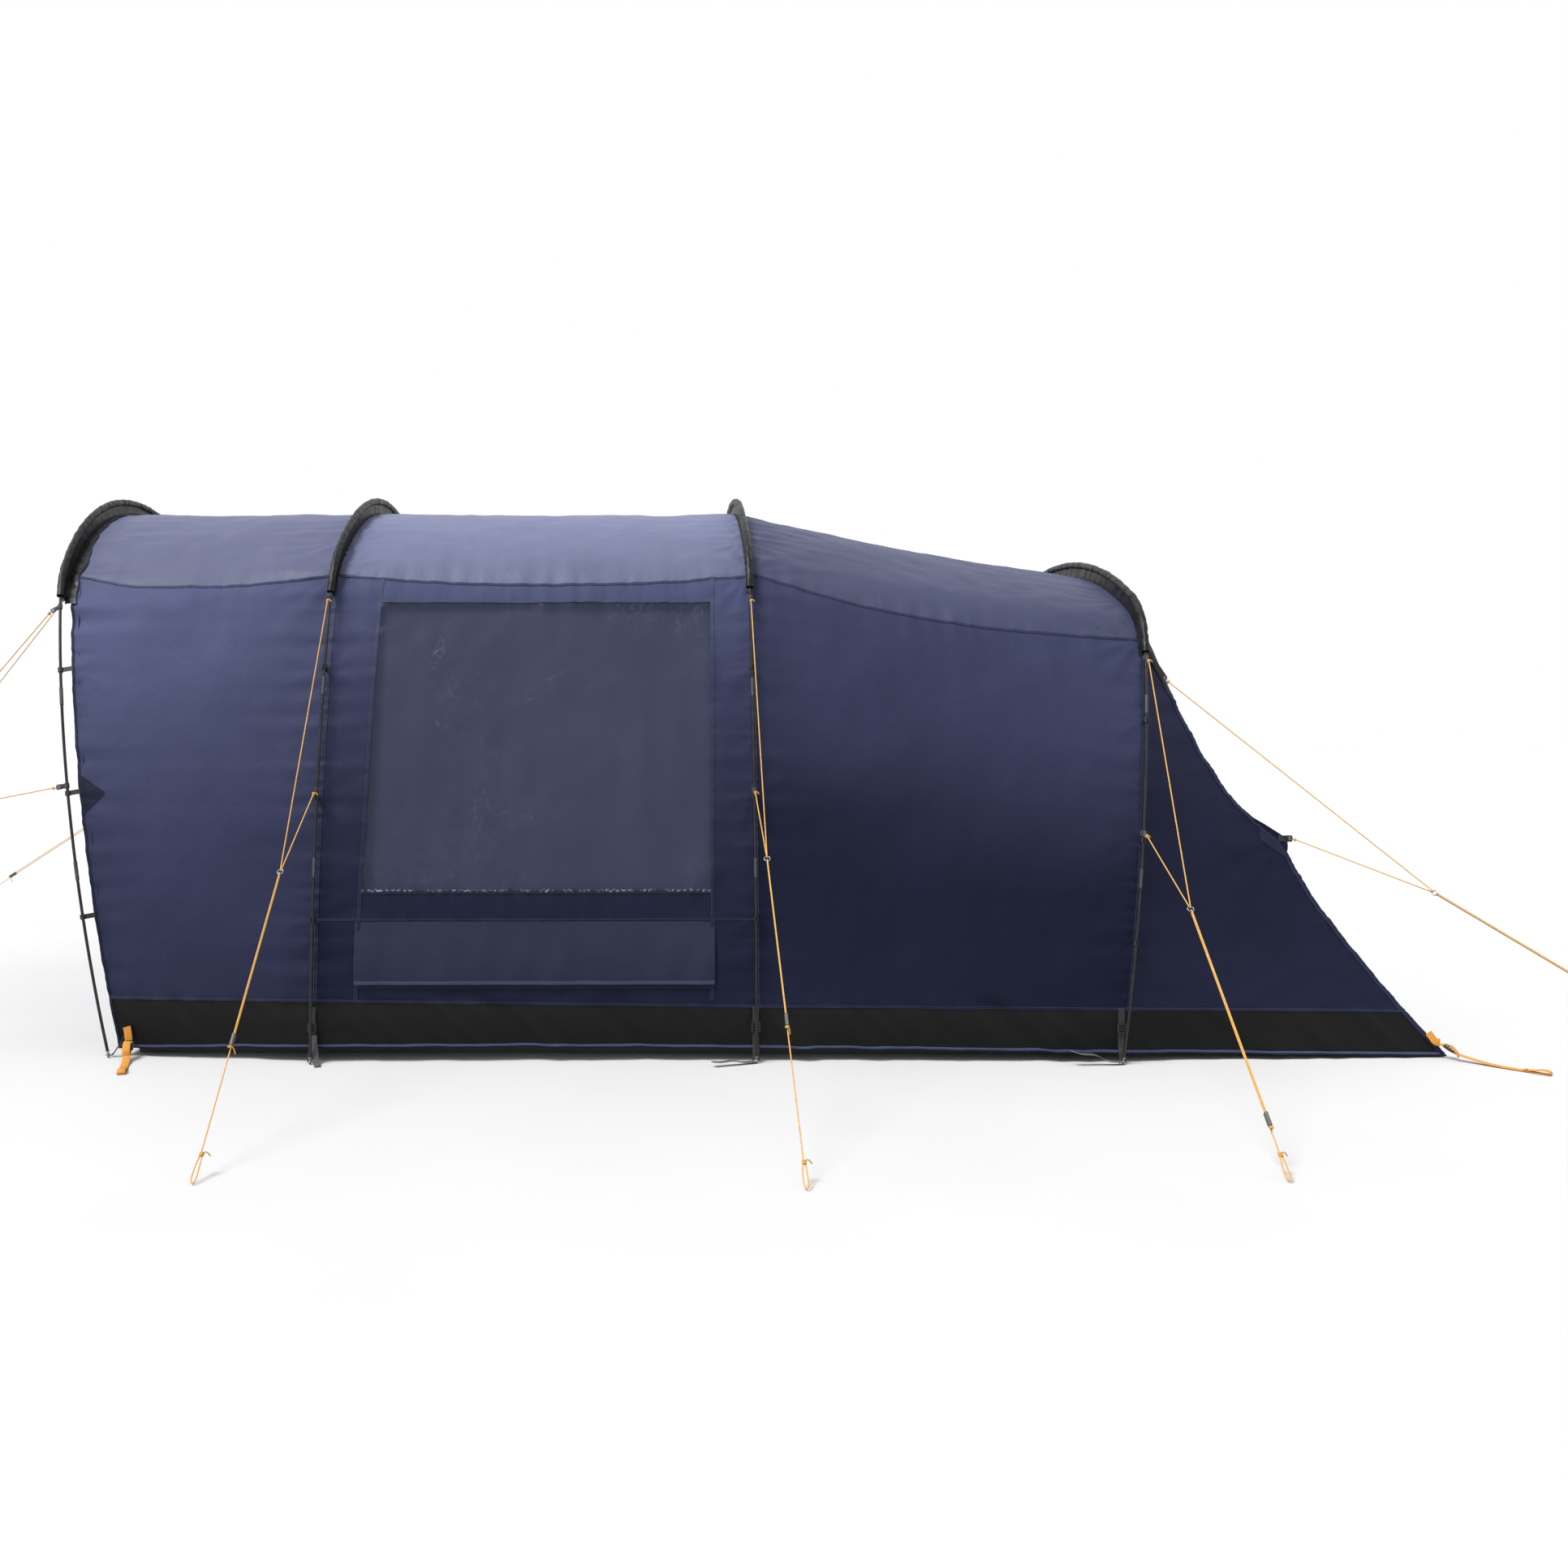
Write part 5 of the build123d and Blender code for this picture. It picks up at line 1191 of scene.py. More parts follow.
def cloth(name, surf, A, B, material, node, keep=None, off=-SKIN, shade=None, body="tent", thick=0.0009, extra=None, declare=True):
    """A sheet from a grid of parameters."""
    P, N = surf.shell(A, B, off)
    if extra is not None:
        P = P + N * extra[..., None]
    la = np.concatenate([np.zeros((1, P.shape[1])), np.cumsum(np.linalg.norm(np.diff(P, axis=0), axis=-1), 0)], 0)
    lb = np.concatenate([np.zeros((P.shape[0], 1)), np.cumsum(np.linalg.norm(np.diff(P, axis=1), axis=-1), 1)], 1)
    uv = np.stack([la, lb], -1)
    sh = np.broadcast_to(0.5 if shade is None else np.clip(shade, 0, 1), P.shape[:2])
    ob = sheet_mesh(name, P, N, uv, sh, material, keep, thick)
    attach(ob, body)
    if node:
        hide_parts(*([node] if isinstance(node, str) else node))
    if declare:
        w = float(max(la[-1].max(), 0.02))
        l = float(max(lb[:, -1].max(), 0.02))
        a = area_of(P, keep)
        a = min(max(a, 0.3001 * w * l), w * l)
    return ob


def strip(name, surf, a, b, width, material, off=0.0007, rows=5, body="tent", thick=0.0006, shade=0.5, crown=0.0005, ends=True, lift=None):
    """A narrow band of cloth or tape along a line of parameters, stitched on a surface."""
    a, b = np.asarray(a, float), np.asarray(b, float)
    e1, e2 = surf.da, surf.db
    Pa = (surf.base(a + e1, b) - surf.base(a - e1, b)) / (2 * e1)
    Pb = (surf.base(a, b + e2) - surf.base(a, b - e2)) / (2 * e2)
    T = unit(np.gradient(surf.base(a, b), axis=0))
    N = surf.normal(a, b)
    C = unit(np.cross(N, T))
    aa, ab, bb = (Pa * Pa).sum(-1), (Pa * Pb).sum(-1), (Pb * Pb).sum(-1)
    ca, cb = (C * Pa).sum(-1), (C * Pb).sum(-1)
    det = aa * bb - ab * ab
    dA, dB = (ca * bb - cb * ab) / det, (cb * aa - ca * ab) / det
    w = np.linspace(-0.5, 0.5, rows)
    A = a[:, None] + dA[:, None] * w[None] * width
    B = b[:, None] + dB[:, None] * w[None] * width
    bulge = off + crown * (1 - (2 * np.abs(w)) ** 4)
    P = surf.at(A, B, 0.0)
    n0 = surf.normal(A, B)
    P = P + n0 * bulge[None, :, None]
    if lift is not None:
        P = P + n0 * np.asarray(lift)[:, None, None]
    N = grid_normals(P)
    flip = np.sign((N * n0).sum(-1, keepdims=True))
    N = N * np.where(flip == 0, 1, flip)
    u = lengths(P[:, rows // 2])
    uv = np.stack([np.broadcast_to(u[:, None], P.shape[:2]), np.broadcast_to(w[None] + 0.5, P.shape[:2])], -1)
    along = np.broadcast_to(np.asarray(shade, float).reshape(-1, 1), P.shape[:2])
    ob = sheet_mesh(name, P, N, uv, along, material, None, thick)
    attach(ob, body)
    return ob


def line_between(f, n=None, length=1.0, lo=0.0, hi=1.0):
    k = n or max(8, int(length / (STEP * 0.7)))
    return np.linspace(lo, hi, k + 1)


SIDES = (("left", -1), ("right", 1))
tent_seams = []


def z_line(bay, side, fz, u0, u1, **kw):
    """Parameters of a near-level line on a bay."""
    n = max(8, int((u1 - u0) * bay.span / (STEP * 0.7)))
    u = np.linspace(u0, u1, n + 1)
    return u, bay.q_at(u, fz(u), side)


def u_line(bay, side, fu, z0, z1):
    """Parameters of a near-upright line on a bay."""
    n = max(8, int(abs(z1 - z0) * 1.06 / (STEP * 0.7)))
    z = np.linspace(z0, z1, n + 1)
    u = fu(z) + 0 * z
    return u, bay.q_at(u, z, side)


# roofs -------------------------------------------------------------
ROOF_NODE = {1: "roof_panel_front", 2: "roof_panel_middle", 3: "roof_panel_rear"}
# painted shade per roof: the back roof, which slopes away from the light, is the darkest
ROOF_SHADE = {1: (0.35, 0.57), 2: (0.54, 0.92), 3: (0.07, 0.12)}
for n, bay in bays.items():
    sz = seam_z(n)
    nu = max(8, int(bay.span / STEP))
    u = np.linspace(0, 1, nu + 1)
    qs = bay.q_at(u, sz(u), 1)
    nr = int(2 * qs.mean() / STEP)
    nr += nr % 2
    r = np.linspace(-1, 1, nr + 1)
    r[nr // 2] = 1e-6
    U = np.broadcast_to(u[:, None], (nu + 1, nr + 1))
    Q = r[None] * qs[:, None]
    lo, hi = ROOF_SHADE[n]
    # painted highlight and shade: each roof is lighter along its crown, and the back roof lighter towards the front
    tone = lo + (hi - lo) * (1 - np.abs(r[None]) ** 1.5) + 0 * U
    if n == 3:
        tone = tone + 0.05 * (1 - U)
    cloth(f"roof_{n}", bay, U, Q, M["roof"], ROOF_NODE[n], shade=tone)

# side walls ----------------------------------------------------------
film_left = lambda z: np.interp(z, [0.20, 0.243, 0.546, 0.907, 1.584], [0.0955, 0.096, 0.101, 0.108, 0.114])
film_right = lambda z: np.interp(z, [0.20, 0.243, 1.6], [0.9005, 0.901, 0.911])
FILM_TOP, FILM_LOW, VENT_TOP, VENT_LOW = 1.511, 0.543, 0.445, 0.245


def side_painted_shade(u, z, n):
    """Painted shade on the side cloth: darker low down, and darkest in the bays at the back; in the front bay also
    darker towards its back end.
    """
    if n == 1:
        tone = np.interp(z, [0.20, 0.35, 0.67, 1.07, 1.44, 1.60], [0.26, 0.31, 0.42, 0.74, 1.04, 1.11])
        return tone * (1 - 0.10 * u - 0.33 * np.clip(u, 0, 1) ** 3)
    if n == 2:
        return np.interp(z, [0.25, 0.35, 0.50, 0.65, 0.80, 0.95, 1.20, 1.44, 1.53], [0.048, 0.058, 0.061, 0.118, 0.158, 0.228, 0.358, 0.68, 0.78]) + 0 * u
    fore = np.interp(z, [0.20, 0.54, 0.80, 1.07, 1.25, 1.44, 1.60], [0.058, 0.020, 0.026, 0.227, 0.328, 0.404, 0.479])
    aft = np.interp(z, [0.20, 0.54, 0.80, 1.07, 1.25, 1.44, 1.60], [0.018, 0.018, 0.189, 0.404, 0.439, 0.471, 0.509])
    return fore + (aft - fore) * np.clip((u - 0.1) / 0.75, 0, 1)


# painted shade on the tail cloth: darker at mid height, lighter towards the top
def tail_painted_shade(z):
    return np.interp(z, [0.0, 0.27, 0.54, 0.80, 0.95, 1.10], [0.105, 0.090, 0.055, 0.070, 0.140, 0.190])


# painted shade of the side cloth where a seam lies on it
def seam_painted_shade(bay, u, q, n):
    return side_painted_shade(u, bay.base(u, q)[..., 2], n)


for sname, side in SIDES:
    for n, bay in bays.items():
        sz, mz = seam_z(n), mud_line(n)
        first = front_edge if n == 1 else const(0.0)
        if n == 1:
            U, Q, Z, gc, hc = panel_grid(bay, side, [front_edge, const(1.0)], [mz, sz])
            cloth(f"side_wall_front_{sname}_cloth", bay, U, Q, M["side"], f"side_wall_front_{sname}", shade=side_painted_shade(U, Z, 1))
        elif n == 3:
            U, Q, Z, gc, hc = panel_grid(bay, side, [const(0.0), const(1.0)], [mz, sz])
            cloth(f"side_wall_rear_{sname}_cloth", bay, U, Q, M["side"], f"side_wall_rear_{sname}", shade=side_painted_shade(U, Z, 3))
        else:
            zc = [mz, const(VENT_LOW), const(VENT_TOP), const(FILM_LOW), const(FILM_TOP), sz]
            U, Q, Z, gc, hc = panel_grid(bay, side, [const(0.0), film_left, film_right, const(1.0)], zc)
            keep = ~((gc[:, None] == 1) & ((hc[None] == 1) | (hc[None] == 3)))
            cloth(f"side_wall_window_{sname}_cloth", bay, U, Q, M["side"], f"side_wall_window_{sname}", keep=keep, shade=side_painted_shade(U, Z, 2))
            U, Q, Z, gc, hc = panel_grid(bay, side, [film_left, film_right], [const(FILM_LOW), const(FILM_TOP)])
            cloth(f"window_film_{sname}", bay, U, Q, M["film"], "window_film", thick=0)
            U, Q, Z, gc, hc = panel_grid(bay, side, [film_left, film_right], [const(VENT_LOW), const(VENT_TOP)])
            cloth(f"vent_mesh_{sname}_cloth", bay, U, Q, M["mesh"], "vent_mesh", off=-SKIN - 0.0015, thick=0.0004)
            # curtain behind the film: it hangs from the seam in soft folds
            U, Q, Z, gc, hc = panel_grid(bay, side, [const(film_left(1.0) - 0.014), const(film_right(1.0) + 0.014)], [const(0.522), const(1.513)], STEP * 1.25)
            fold = Waves(300 + side, 0.10, 0.30, 2, 18)
            P0 = bay.base(U, Q)
            ex = -0.022 + 0.0030 * fold(P0[..., 0], P0[..., 2] * 0.16) * smooth(1.51, 1.30, P0[..., 2])
            flat_disp = bay.disp(U, Q)
            # painted shade: the curtain is lighter towards the top
            cloth(f"curtain_{sname}_cloth", bay, U, Q, M["curtain"], f"curtain_{sname}", shade=0.55 + 0.10 * smooth(0.5, 1.5, Z), body=f"curtain_{sname}", extra=ex - flat_disp * 0.7)
            # vent flap: sewn along its top, its lower edge stands off
            vu0, vu1 = float(film_left(0.35)) - 0.006, float(film_right(0.35)) + 0.006
            U, Q, Z, gc, hc = panel_grid(bay, side, [const(vu0), const(vu1)], [const(0.2475), const(0.4485)])
            fall = smooth(0.45, 0.26, Z)
            wave = Waves(310 + side, 0.09, 0.30, 2, 16)
            P0 = bay.base(U, Q)
            ex = 0.0022 + 0.0085 * fall + fall * 0.0022 * wave(P0[..., 0], P0[..., 2] * 0.5) - 0.6 * bay.disp(U, Q)
            # painted shade: the flap is darker towards its lower edge
            cloth(f"vent_flap_{sname}_cloth", bay, U, Q, M["flap"], f"vent_flap_{sname}", shade=0.45 + 0.25 * smooth(0.25, 0.45, Z), body=f"vent_flap_{sname}", extra=ex)
            for zz, wd, tone in ((0.2535, 0.012, 0.62),):
                uu, qq = z_line(bay, side, const(zz), vu0 + 0.001, vu1 - 0.001)
                P0 = bay.base(uu, qq)
                lift = 0.0022 + 0.0085 * smooth(0.45, 0.26, zz) + 0.0022 * wave(P0[..., 0], P0[..., 2] * 0.5) - 0.6 * bay.disp(uu, qq)
                strip(f"vent_flap_hem_{sname}", bay, uu, qq, wd, M["seam"], off=0.0003, body=f"vent_flap_{sname}", shade=tone, lift=lift)
        # mud wall
        U, Q, Z, gc, hc = panel_grid(bay, side, [first, const(1.0)], [hem_line(n), mz])
        # painted shade: the mud wall is darker near the ground
        cloth(f"mud_wall_{n}_{sname}", bay, U, Q, M["mud"], "mud_wall", shade=0.4 + 0.5 * smooth(0.05, 0.2, Z))
        # seams on this bay, their colour darkened with the painted shade of the cloth
        u0 = float(front_edge(0.2)) + 0.002 if n == 1 else 0.0
        uu, qq = z_line(bay, side, lambda a: mud_line(n)(a) - 0.0005, u0, 1.0)
        strip(f"mud_seam_{n}_{sname}", bay, uu, qq, 0.011, M["seam"], shade=seam_painted_shade(bay, uu, qq, n))
        uu, qq = z_line(bay, side, lambda a: hem_line(n)(a) + 0.0075, u0, 1.0)
        strip(f"hem_piping_{n}_{sname}", bay, uu, qq, 0.0075, M["piping"], shade=0.6, off=0.0009)
        uu, qq = z_line(bay, side, lambda a: hem_line(n)(a) + 0.0015, u0, 1.0)
        strip(f"hem_edge_{n}_{sname}", bay, uu, qq, 0.006, M["blackseam"], shade=0.2, off=0.0006)
        u0 = float(front_edge(1.6)) + 0.001 if n == 1 else 0.0
        uu, qq = z_line(bay, side, lambda a: seam_z(n)(a) - 0.002, u0, 1.0)
        strip(f"roof_seam_{n}_{sname}", bay, uu, qq, 0.010, M["seam"], shade=0.62 * seam_painted_shade(bay, uu, qq, n))
        # upright seams along the hoops
        zt = float(seam_z(n)(0.0))
        if n > 1:
            uu, qq = u_line(bay, side, const(0.006 / bay.span), float(mud_line(n)(0)), zt)
            strip(f"hoop_seam_{n}_{sname}", bay, uu, qq, 0.016, M["seam"], shade=seam_painted_shade(bay, uu, qq, n))
            uu, qq = u_line(bay, side, const(0.006 / bay.span), float(hem_line(n)(0)) + 0.002, float(mud_line(n)(0)))
            strip(f"hoop_mud_seam_{n}_{sname}", bay, uu, qq, 0.016, M["blackseam"], shade=0.3)
        else:
            uu, qq = u_line(bay, side, lambda z: front_edge(z) + 0.0045, 0.03, 1.615)
            strip(f"front_edge_{sname}", bay, uu, qq, 0.009, M["seam"], shade=0.25 * seam_painted_shade(bay, uu, qq, n))
        if n == 2:
            for nm, fu in (("a", film_left), ("b", film_right)):
                uu, qq = u_line(bay, side, fu, float(mud_line(2)(0.1)), float(seam_z(2)(0.1)))
                strip(f"window_seam_{nm}_{sname}", bay, uu, qq, 0.014, M["seam"], shade=seam_painted_shade(bay, uu, qq, n))
            for nm, ua, ub in (("cross_a", 0.004, float(film_left(0.4545)) - 0.004), ("cross_b", float(film_right(0.4545)) + 0.004, 0.996)):
                uu, qq = z_line(bay, side, const(0.4545), ua, ub)
                strip(f"window_seam_{nm}_{sname}", bay, uu, qq, 0.010, M["seam"], shade=0.8 * seam_painted_shade(bay, uu, qq, n))
            for nm, zz in (("top", FILM_TOP), ("low", FILM_LOW), ("vent", VENT_TOP + 0.0095), ("under", VENT_LOW - 0.004)):
                uu, qq = z_line(bay, side, const(zz), float(film_left(zz)), float(film_right(zz)))
                strip(f"window_seam_{nm}_{sname}", bay, uu, qq, 0.013 if nm != "vent" else 0.009, M["seam"], shade=seam_painted_shade(bay, uu, qq, n), off=0.0008)

# tail ----------------------------------------------------------------
TAIL = [
    (1.752, 1.058, 1.205, 0.70), (1.858, 1.078, 0.990, 0.40), (1.975, 1.092, 0.815, 0.22), (2.108, 1.108, 0.690, 0.14),
    (2.214, 1.135, 0.500, 0.10), (2.411, 1.172, 0.237, 0.07), (2.603, 1.219, 0.006, 0.05),
]
H4 = CLOTH[4]
TAIL_T = None
lo_t, hi_t = 0.0, 3.0
for _ in range(50):
    mid_t = (lo_t + hi_t) / 2
    lo_t, hi_t = (mid_t, hi_t) if float(H4.flat(mid_t)[1]) < 1.386 else (lo_t, mid_t)
TAIL_T = lo_t
ty0, tz0, _ = (float(v) for v in H4.flat(TAIL_T))
top_p = H4.space(ty0, tz0)
TAIL_X = np.array([float(top_p[0])] + [X(e[0]) for e in TAIL])
TAIL_Y = np.array([ty0] + [e[1] for e in TAIL])
TAIL_Z = np.array([float(top_p[2])] + [e[2] for e in TAIL])
TAIL_ARCH = np.array([1.0] + [e[3] for e in TAIL])
TAIL_TILT = np.radians([6.0] + [12.0 + 36.0 * min(1.0, (i + 1) / 3.0) for i in range(len(TAIL))])


def cubic(values):
    """Catmull-Rom value through evenly numbered knots."""
    v = np.asarray(values, float)
    ext = np.concatenate([[2 * v[0] - v[1]], v, [2 * v[-1] - v[-2]]])

    def f(t):
        t = np.asarray(t, float)
        i = np.clip(np.floor(t).astype(int), 0, len(v) - 2)
        k = t - i
        p0, p1, p2, p3 = ext[i], ext[i + 1], ext[i + 2], ext[i + 3]
        return 0.5 * (2 * p1 + (p2 - p0) * k + (2 * p0 - 5 * p1 + 4 * p2 - p3) * k ** 2 + (3 * p1 - p0 - 3 * p2 + p3) * k ** 3)

    return f


edge_x, edge_y, edge_z = cubic(TAIL_X), cubic(TAIL_Y), cubic(TAIL_Z)
edge_arch, edge_tilt = cubic(TAIL_ARCH), cubic(TAIL_TILT)
TAIL_S0, TAIL_S1 = float(H4.length(TAIL_T)), float(H4.L[3])
TAIL_NOISE = [Waves(400, 0.02, 0.05, 1, 16), Waves(401, 0.06, 0.18, 1, 14)]


def edge_v(z):
    """Knot number of the corner edge at a height."""
    z = np.asarray(z, float)
    lo, hi = np.zeros_like(z), np.full_like(z, 7.0)
    for _ in range(36):
        mid = (lo + hi) / 2
        above = edge_z(mid) > z
        lo, hi = np.where(above, mid, lo), np.where(above, hi, mid)
    return (lo + hi) / 2


class TailTop(Surf):
    """Sloping back of the tail: v counts the sections down the slope, r runs across."""

    da, db = 0.01, 0.003

    def base(self, v, r):
        v, r = np.broadcast_arrays(np.asarray(v, float), np.asarray(r, float))
        s = TAIL_S1 - np.abs(r) * (TAIL_S1 - TAIL_S0)
        y, z, _ = H4.flat(H4.at_length(np.clip(s, 0, TAIL_S1 - 1e-9)))
        over = np.maximum(s - TAIL_S1, 0)
        vv = np.clip(v, 0, 7)
        side = np.where(r < 0, -1.0, 1.0)
        yy = side * y * edge_y(vv) / ty0
        zz = (z - tz0) * edge_arch(vv)
        tilt = edge_tilt(vv)
        return np.stack([edge_x(vv) + zz * np.sin(tilt), yy, edge_z(vv) + zz * np.cos(tilt)], -1)

    def disp(self, v, r):
        P = self.base(v, r)
        x, y, z = P[..., 0], P[..., 1], P[..., 2]
        d = (1 - np.abs(r)) * (TAIL_S1 - TAIL_S0)
        dv = np.minimum(np.abs(v), 1) * 0.2
        win = smooth(0, 0.12, d) * smooth(0, 0.10, dv)
        out = win * 0.0030 * BROAD(x, y, z) + win * 0.0008 * MIDDLE(x, y, z) + 0.00022 * CRINKLE(x, y, z)
        out = out - 0.010 * win * (1 - r ** 2) * smooth(0.3, 1.2, v)
        c = lengths_edge(v) * np.where(r < 0, 1, -1)
        return out + 0.0008 * TAIL_NOISE[0](c) * np.exp(-d / 0.03) + 0.0014 * TAIL_NOISE[1](c) * np.exp(-d / 0.10)


_vk = np.linspace(0, 7, 141)
_ek = np.concatenate([[0], np.cumsum(np.sqrt(np.diff(edge_x(_vk)) ** 2 + np.diff(edge_y(_vk)) ** 2 + np.diff(edge_z(_vk)) ** 2))])
lengths_edge = lambda v: np.interp(v, _vk, _ek)
v_at_length = lambda s: np.interp(s, _ek, _vk)


class TailSide(Surf):
    """Side of the tail: v as on the edge, u from the leg of the last hoop to the edge."""

    da, db = 0.004, 0.004

    def __init__(self, side):
        self.side = side

    def base(self, u, v):
        u, v = np.broadcast_arrays(np.asarray(u, float), np.asarray(v, float))
        vv = np.clip(v, 0.0, 7.3)
        ez = edge_z(vv)
        t = H4.t_at_z(np.clip(ez, 0.0, None))
        y, z, _ = H4.flat(t)
        leg = H4.space(y, z)
        e = np.stack([edge_x(vv), edge_y(vv), ez], -1)
        P = leg * (1 - u)[..., None] + e * u[..., None]
        P[..., 1] *= self.side
        return P

    def normal(self, u, v):
        n = super().normal(u, v)
        return n * np.where((n[..., 1] * self.side) < 0, -1.0, 1.0)[..., None]

    def disp(self, u, v):
        u, v = np.broadcast_arrays(np.asarray(u, float), np.asarray(v, float))
        P = self.base(u, v)
        x, y, z = P[..., 0], P[..., 1], P[..., 2]
        width = np.maximum(edge_x(np.clip(v, 0, 7)) - H4.x - 0.10 * edge_z(np.clip(v, 0, 7)), 0.01)
        d0, d1 = u * width, (1 - u) * width
        edge = np.minimum(d0, d1)
        win = smooth(0, 0.14, edge)
        out = -0.007 * 4 * u * (1 - u) * smooth(0.1, 0.7, width) + win * (0.0028 * BROAD(x, y, z) + 0.0008 * MIDDLE(x, y, z)) + 0.00022 * CRINKLE(x, y, z)
        # the pull of the guy tab fans down and back from the gusset
        g = np.stack([X(2.110) - x, z - 0.695], 0)
        r = np.sqrt((g ** 2).sum(0)) + 1e-6
        ang = np.arctan2(g[1], g[0])
        out = out + 0.0022 * np.cos(9 * ang + 0.7) * np.exp(-(((r - 0.16) / 0.14) ** 2)) * smooth(0.02, 0.08, r)
        c = lengths_edge(np.clip(v, 0, 7)) * (-self.side)
        out = out + (0.0008 * TAIL_NOISE[0](c) * np.exp(-d1 / 0.03) + 0.0014 * TAIL_NOISE[1](c) * np.exp(-d1 / 0.10))
        short, long = HOOP_NOISE[4]
        t = H4.t_at_z(np.clip(z, 0.0, None))
        ch = H4.length(t) * (1.0 if self.side < 0 else -1.0) + 3.1 * (self.side > 0)
        out = out + (0.00085 * short(ch) * np.exp(-d0 / 0.035) + 0.0016 * long(ch) * np.exp(-d0 / 0.11) * smooth(0, 0.02, d0))
        mud = 1 - smooth(0.13, 0.19, z)
        return out + mud * smooth(0, 0.12, edge) * 0.0022 * DIAG(x + z * 0.9, y * 0.2, z * 0.35)


tail_top = TailTop()
tail_side = {s: TailSide(s) for s in (-1, 1)}
tail_mud = lambda u: 0.173 - 0.026 * np.clip(u, 0, 1)
tail_hem = lambda u: 0.028 - 0.022 * np.clip(u, 0, 1)
V_HEM, V_MUD = float(edge_v(0.046)), float(edge_v(0.147))
# the hem comes down nearly to the ground at the tail, along the line of the edge
V_LOW = 7.18

nv = int(lengths_edge(V_MUD) / STEP)
vs = v_at_length(np.linspace(0, lengths_edge(V_MUD), nv + 1))
nr = int(2 * 1.05 / STEP)
nr += nr % 2
rs = np.linspace(-1, 1, nr + 1)
rs[nr // 2] = 1e-5
# painted shade of the tail, with painted light added on the sloping back as it faces up
tone = (0.10 + tail_painted_shade(edge_z(vs)))[:, None] + 0 * rs[None]
cloth("tail_panel_cloth", tail_top, vs[:, None], rs[None], M["side"], "tail_panel", shade=tone)


def edge_past(v):
    return v


vm = v_at_length(np.linspace(lengths_edge(V_MUD), lengths_edge(7.0), 18))
cloth("mud_wall_tail", tail_top, vm[:, None], rs[None], M["mud"], "mud_wall", shade=0.5)
for nm, v0, wd, mt in (("mud", V_MUD, 0.011, "seam"), ("piping", 6.955, 0.0075, "piping"), ("edge", 6.985, 0.006, "blackseam")):
    k = 160
    strip(f"tail_{nm}_seam", tail_top, np.full(k + 1, v0), np.linspace(-0.998, 0.998, k + 1) + 1e-6, wd, M[mt], shade=0.2 if nm == "mud" else 0.5)


def tail_grid(side, z_low, z_high, step=STEP):
    """Grid on a tail side between two height lines, given by functions of u."""
    surf = tail_side[side]
    rows = max(3, int(abs(z_high(0.5) - z_low(0.5)) * 1.05 / step))
    cols = int(0.72 / step)
    u = np.linspace(0, 1, cols + 1)
    f = np.linspace(0, 1, rows + 1)
    U, F = np.meshgrid(u, f, indexing="ij")
    V = edge_v(z_low(U) + (z_high(U) - z_low(U)) * F)
    return U, V


for sname, side in SIDES:
    surf = tail_side[side]
    U, V = tail_grid(side, tail_mud, const(1.3845))
    zz = edge_z(V)
    # painted shade on the tail walls, lighter towards the top
    tone = tail_painted_shade(zz)
    cloth(f"tail_wall_{sname}_cloth", surf, U, V, M["side"], f"tail_wall_{sname}", shade=tone)
    U, V = tail_grid(side, lambda u: np.maximum(tail_hem(u), 0.046 - 0.0 * u) * 0 + tail_hem(u) + 0.0, tail_mud)
    # below the last knot the edge runs straight on to the ground
    cloth(f"mud_wall_4_{sname}", surf, U, np.minimum(V, 7.0), M["mud"], "mud_wall", shade=0.5)
    k = 90
    u = np.linspace(0.0, 1.0, k + 1)
    strip(f"mud_seam_4_{sname}", surf, u, edge_v(tail_mud(u)), 0.011, M["seam"], shade=0.12)
    strip(f"hem_piping_4_{sname}", surf, u, np.minimum(edge_v(tail_hem(u) + 0.0075), 6.99), 0.0075, M["piping"], shade=0.6, off=0.0009)
    strip(f"hem_edge_4_{sname}", surf, u, np.minimum(edge_v(tail_hem(u) + 0.0015), 6.998), 0.006, M["blackseam"], shade=0.2, off=0.0006)
    zt = np.linspace(0.176, 1.37, 110)
    # the seam darkens with the painted shade of the tail wall
    strip(f"hoop_seam_4_{sname}", surf, np.full(110, 0.012), edge_v(zt), 0.018, M["seam"], shade=tail_painted_shade(zt))
    # corner seam down the edge of the tail
    L = np.linspace(0.015, lengths_edge(6.99), int(1.6 / (STEP * 0.7)))
    strip(f"tail_edge_seam_{sname}", surf, np.full(len(L), 0.990), v_at_length(L), 0.016, M["seam"], shade=0.16, off=0.0010)
    # gusset patch where the lower rear guy pulls
    gu, gv = np.meshgrid(np.linspace(0, 1, 14), np.linspace(-1, 1, 19), indexing="ij")
    gA = 1.0 - gu * 0.115 * (1 - np.abs(gv) ** 1.2)
    gB = edge_v(0.700) + gv * 0.42
    cloth(f"tail_gusset_{sname}", surf, gA, gB, M["patch"], None, off=0.0011, shade=0.5)

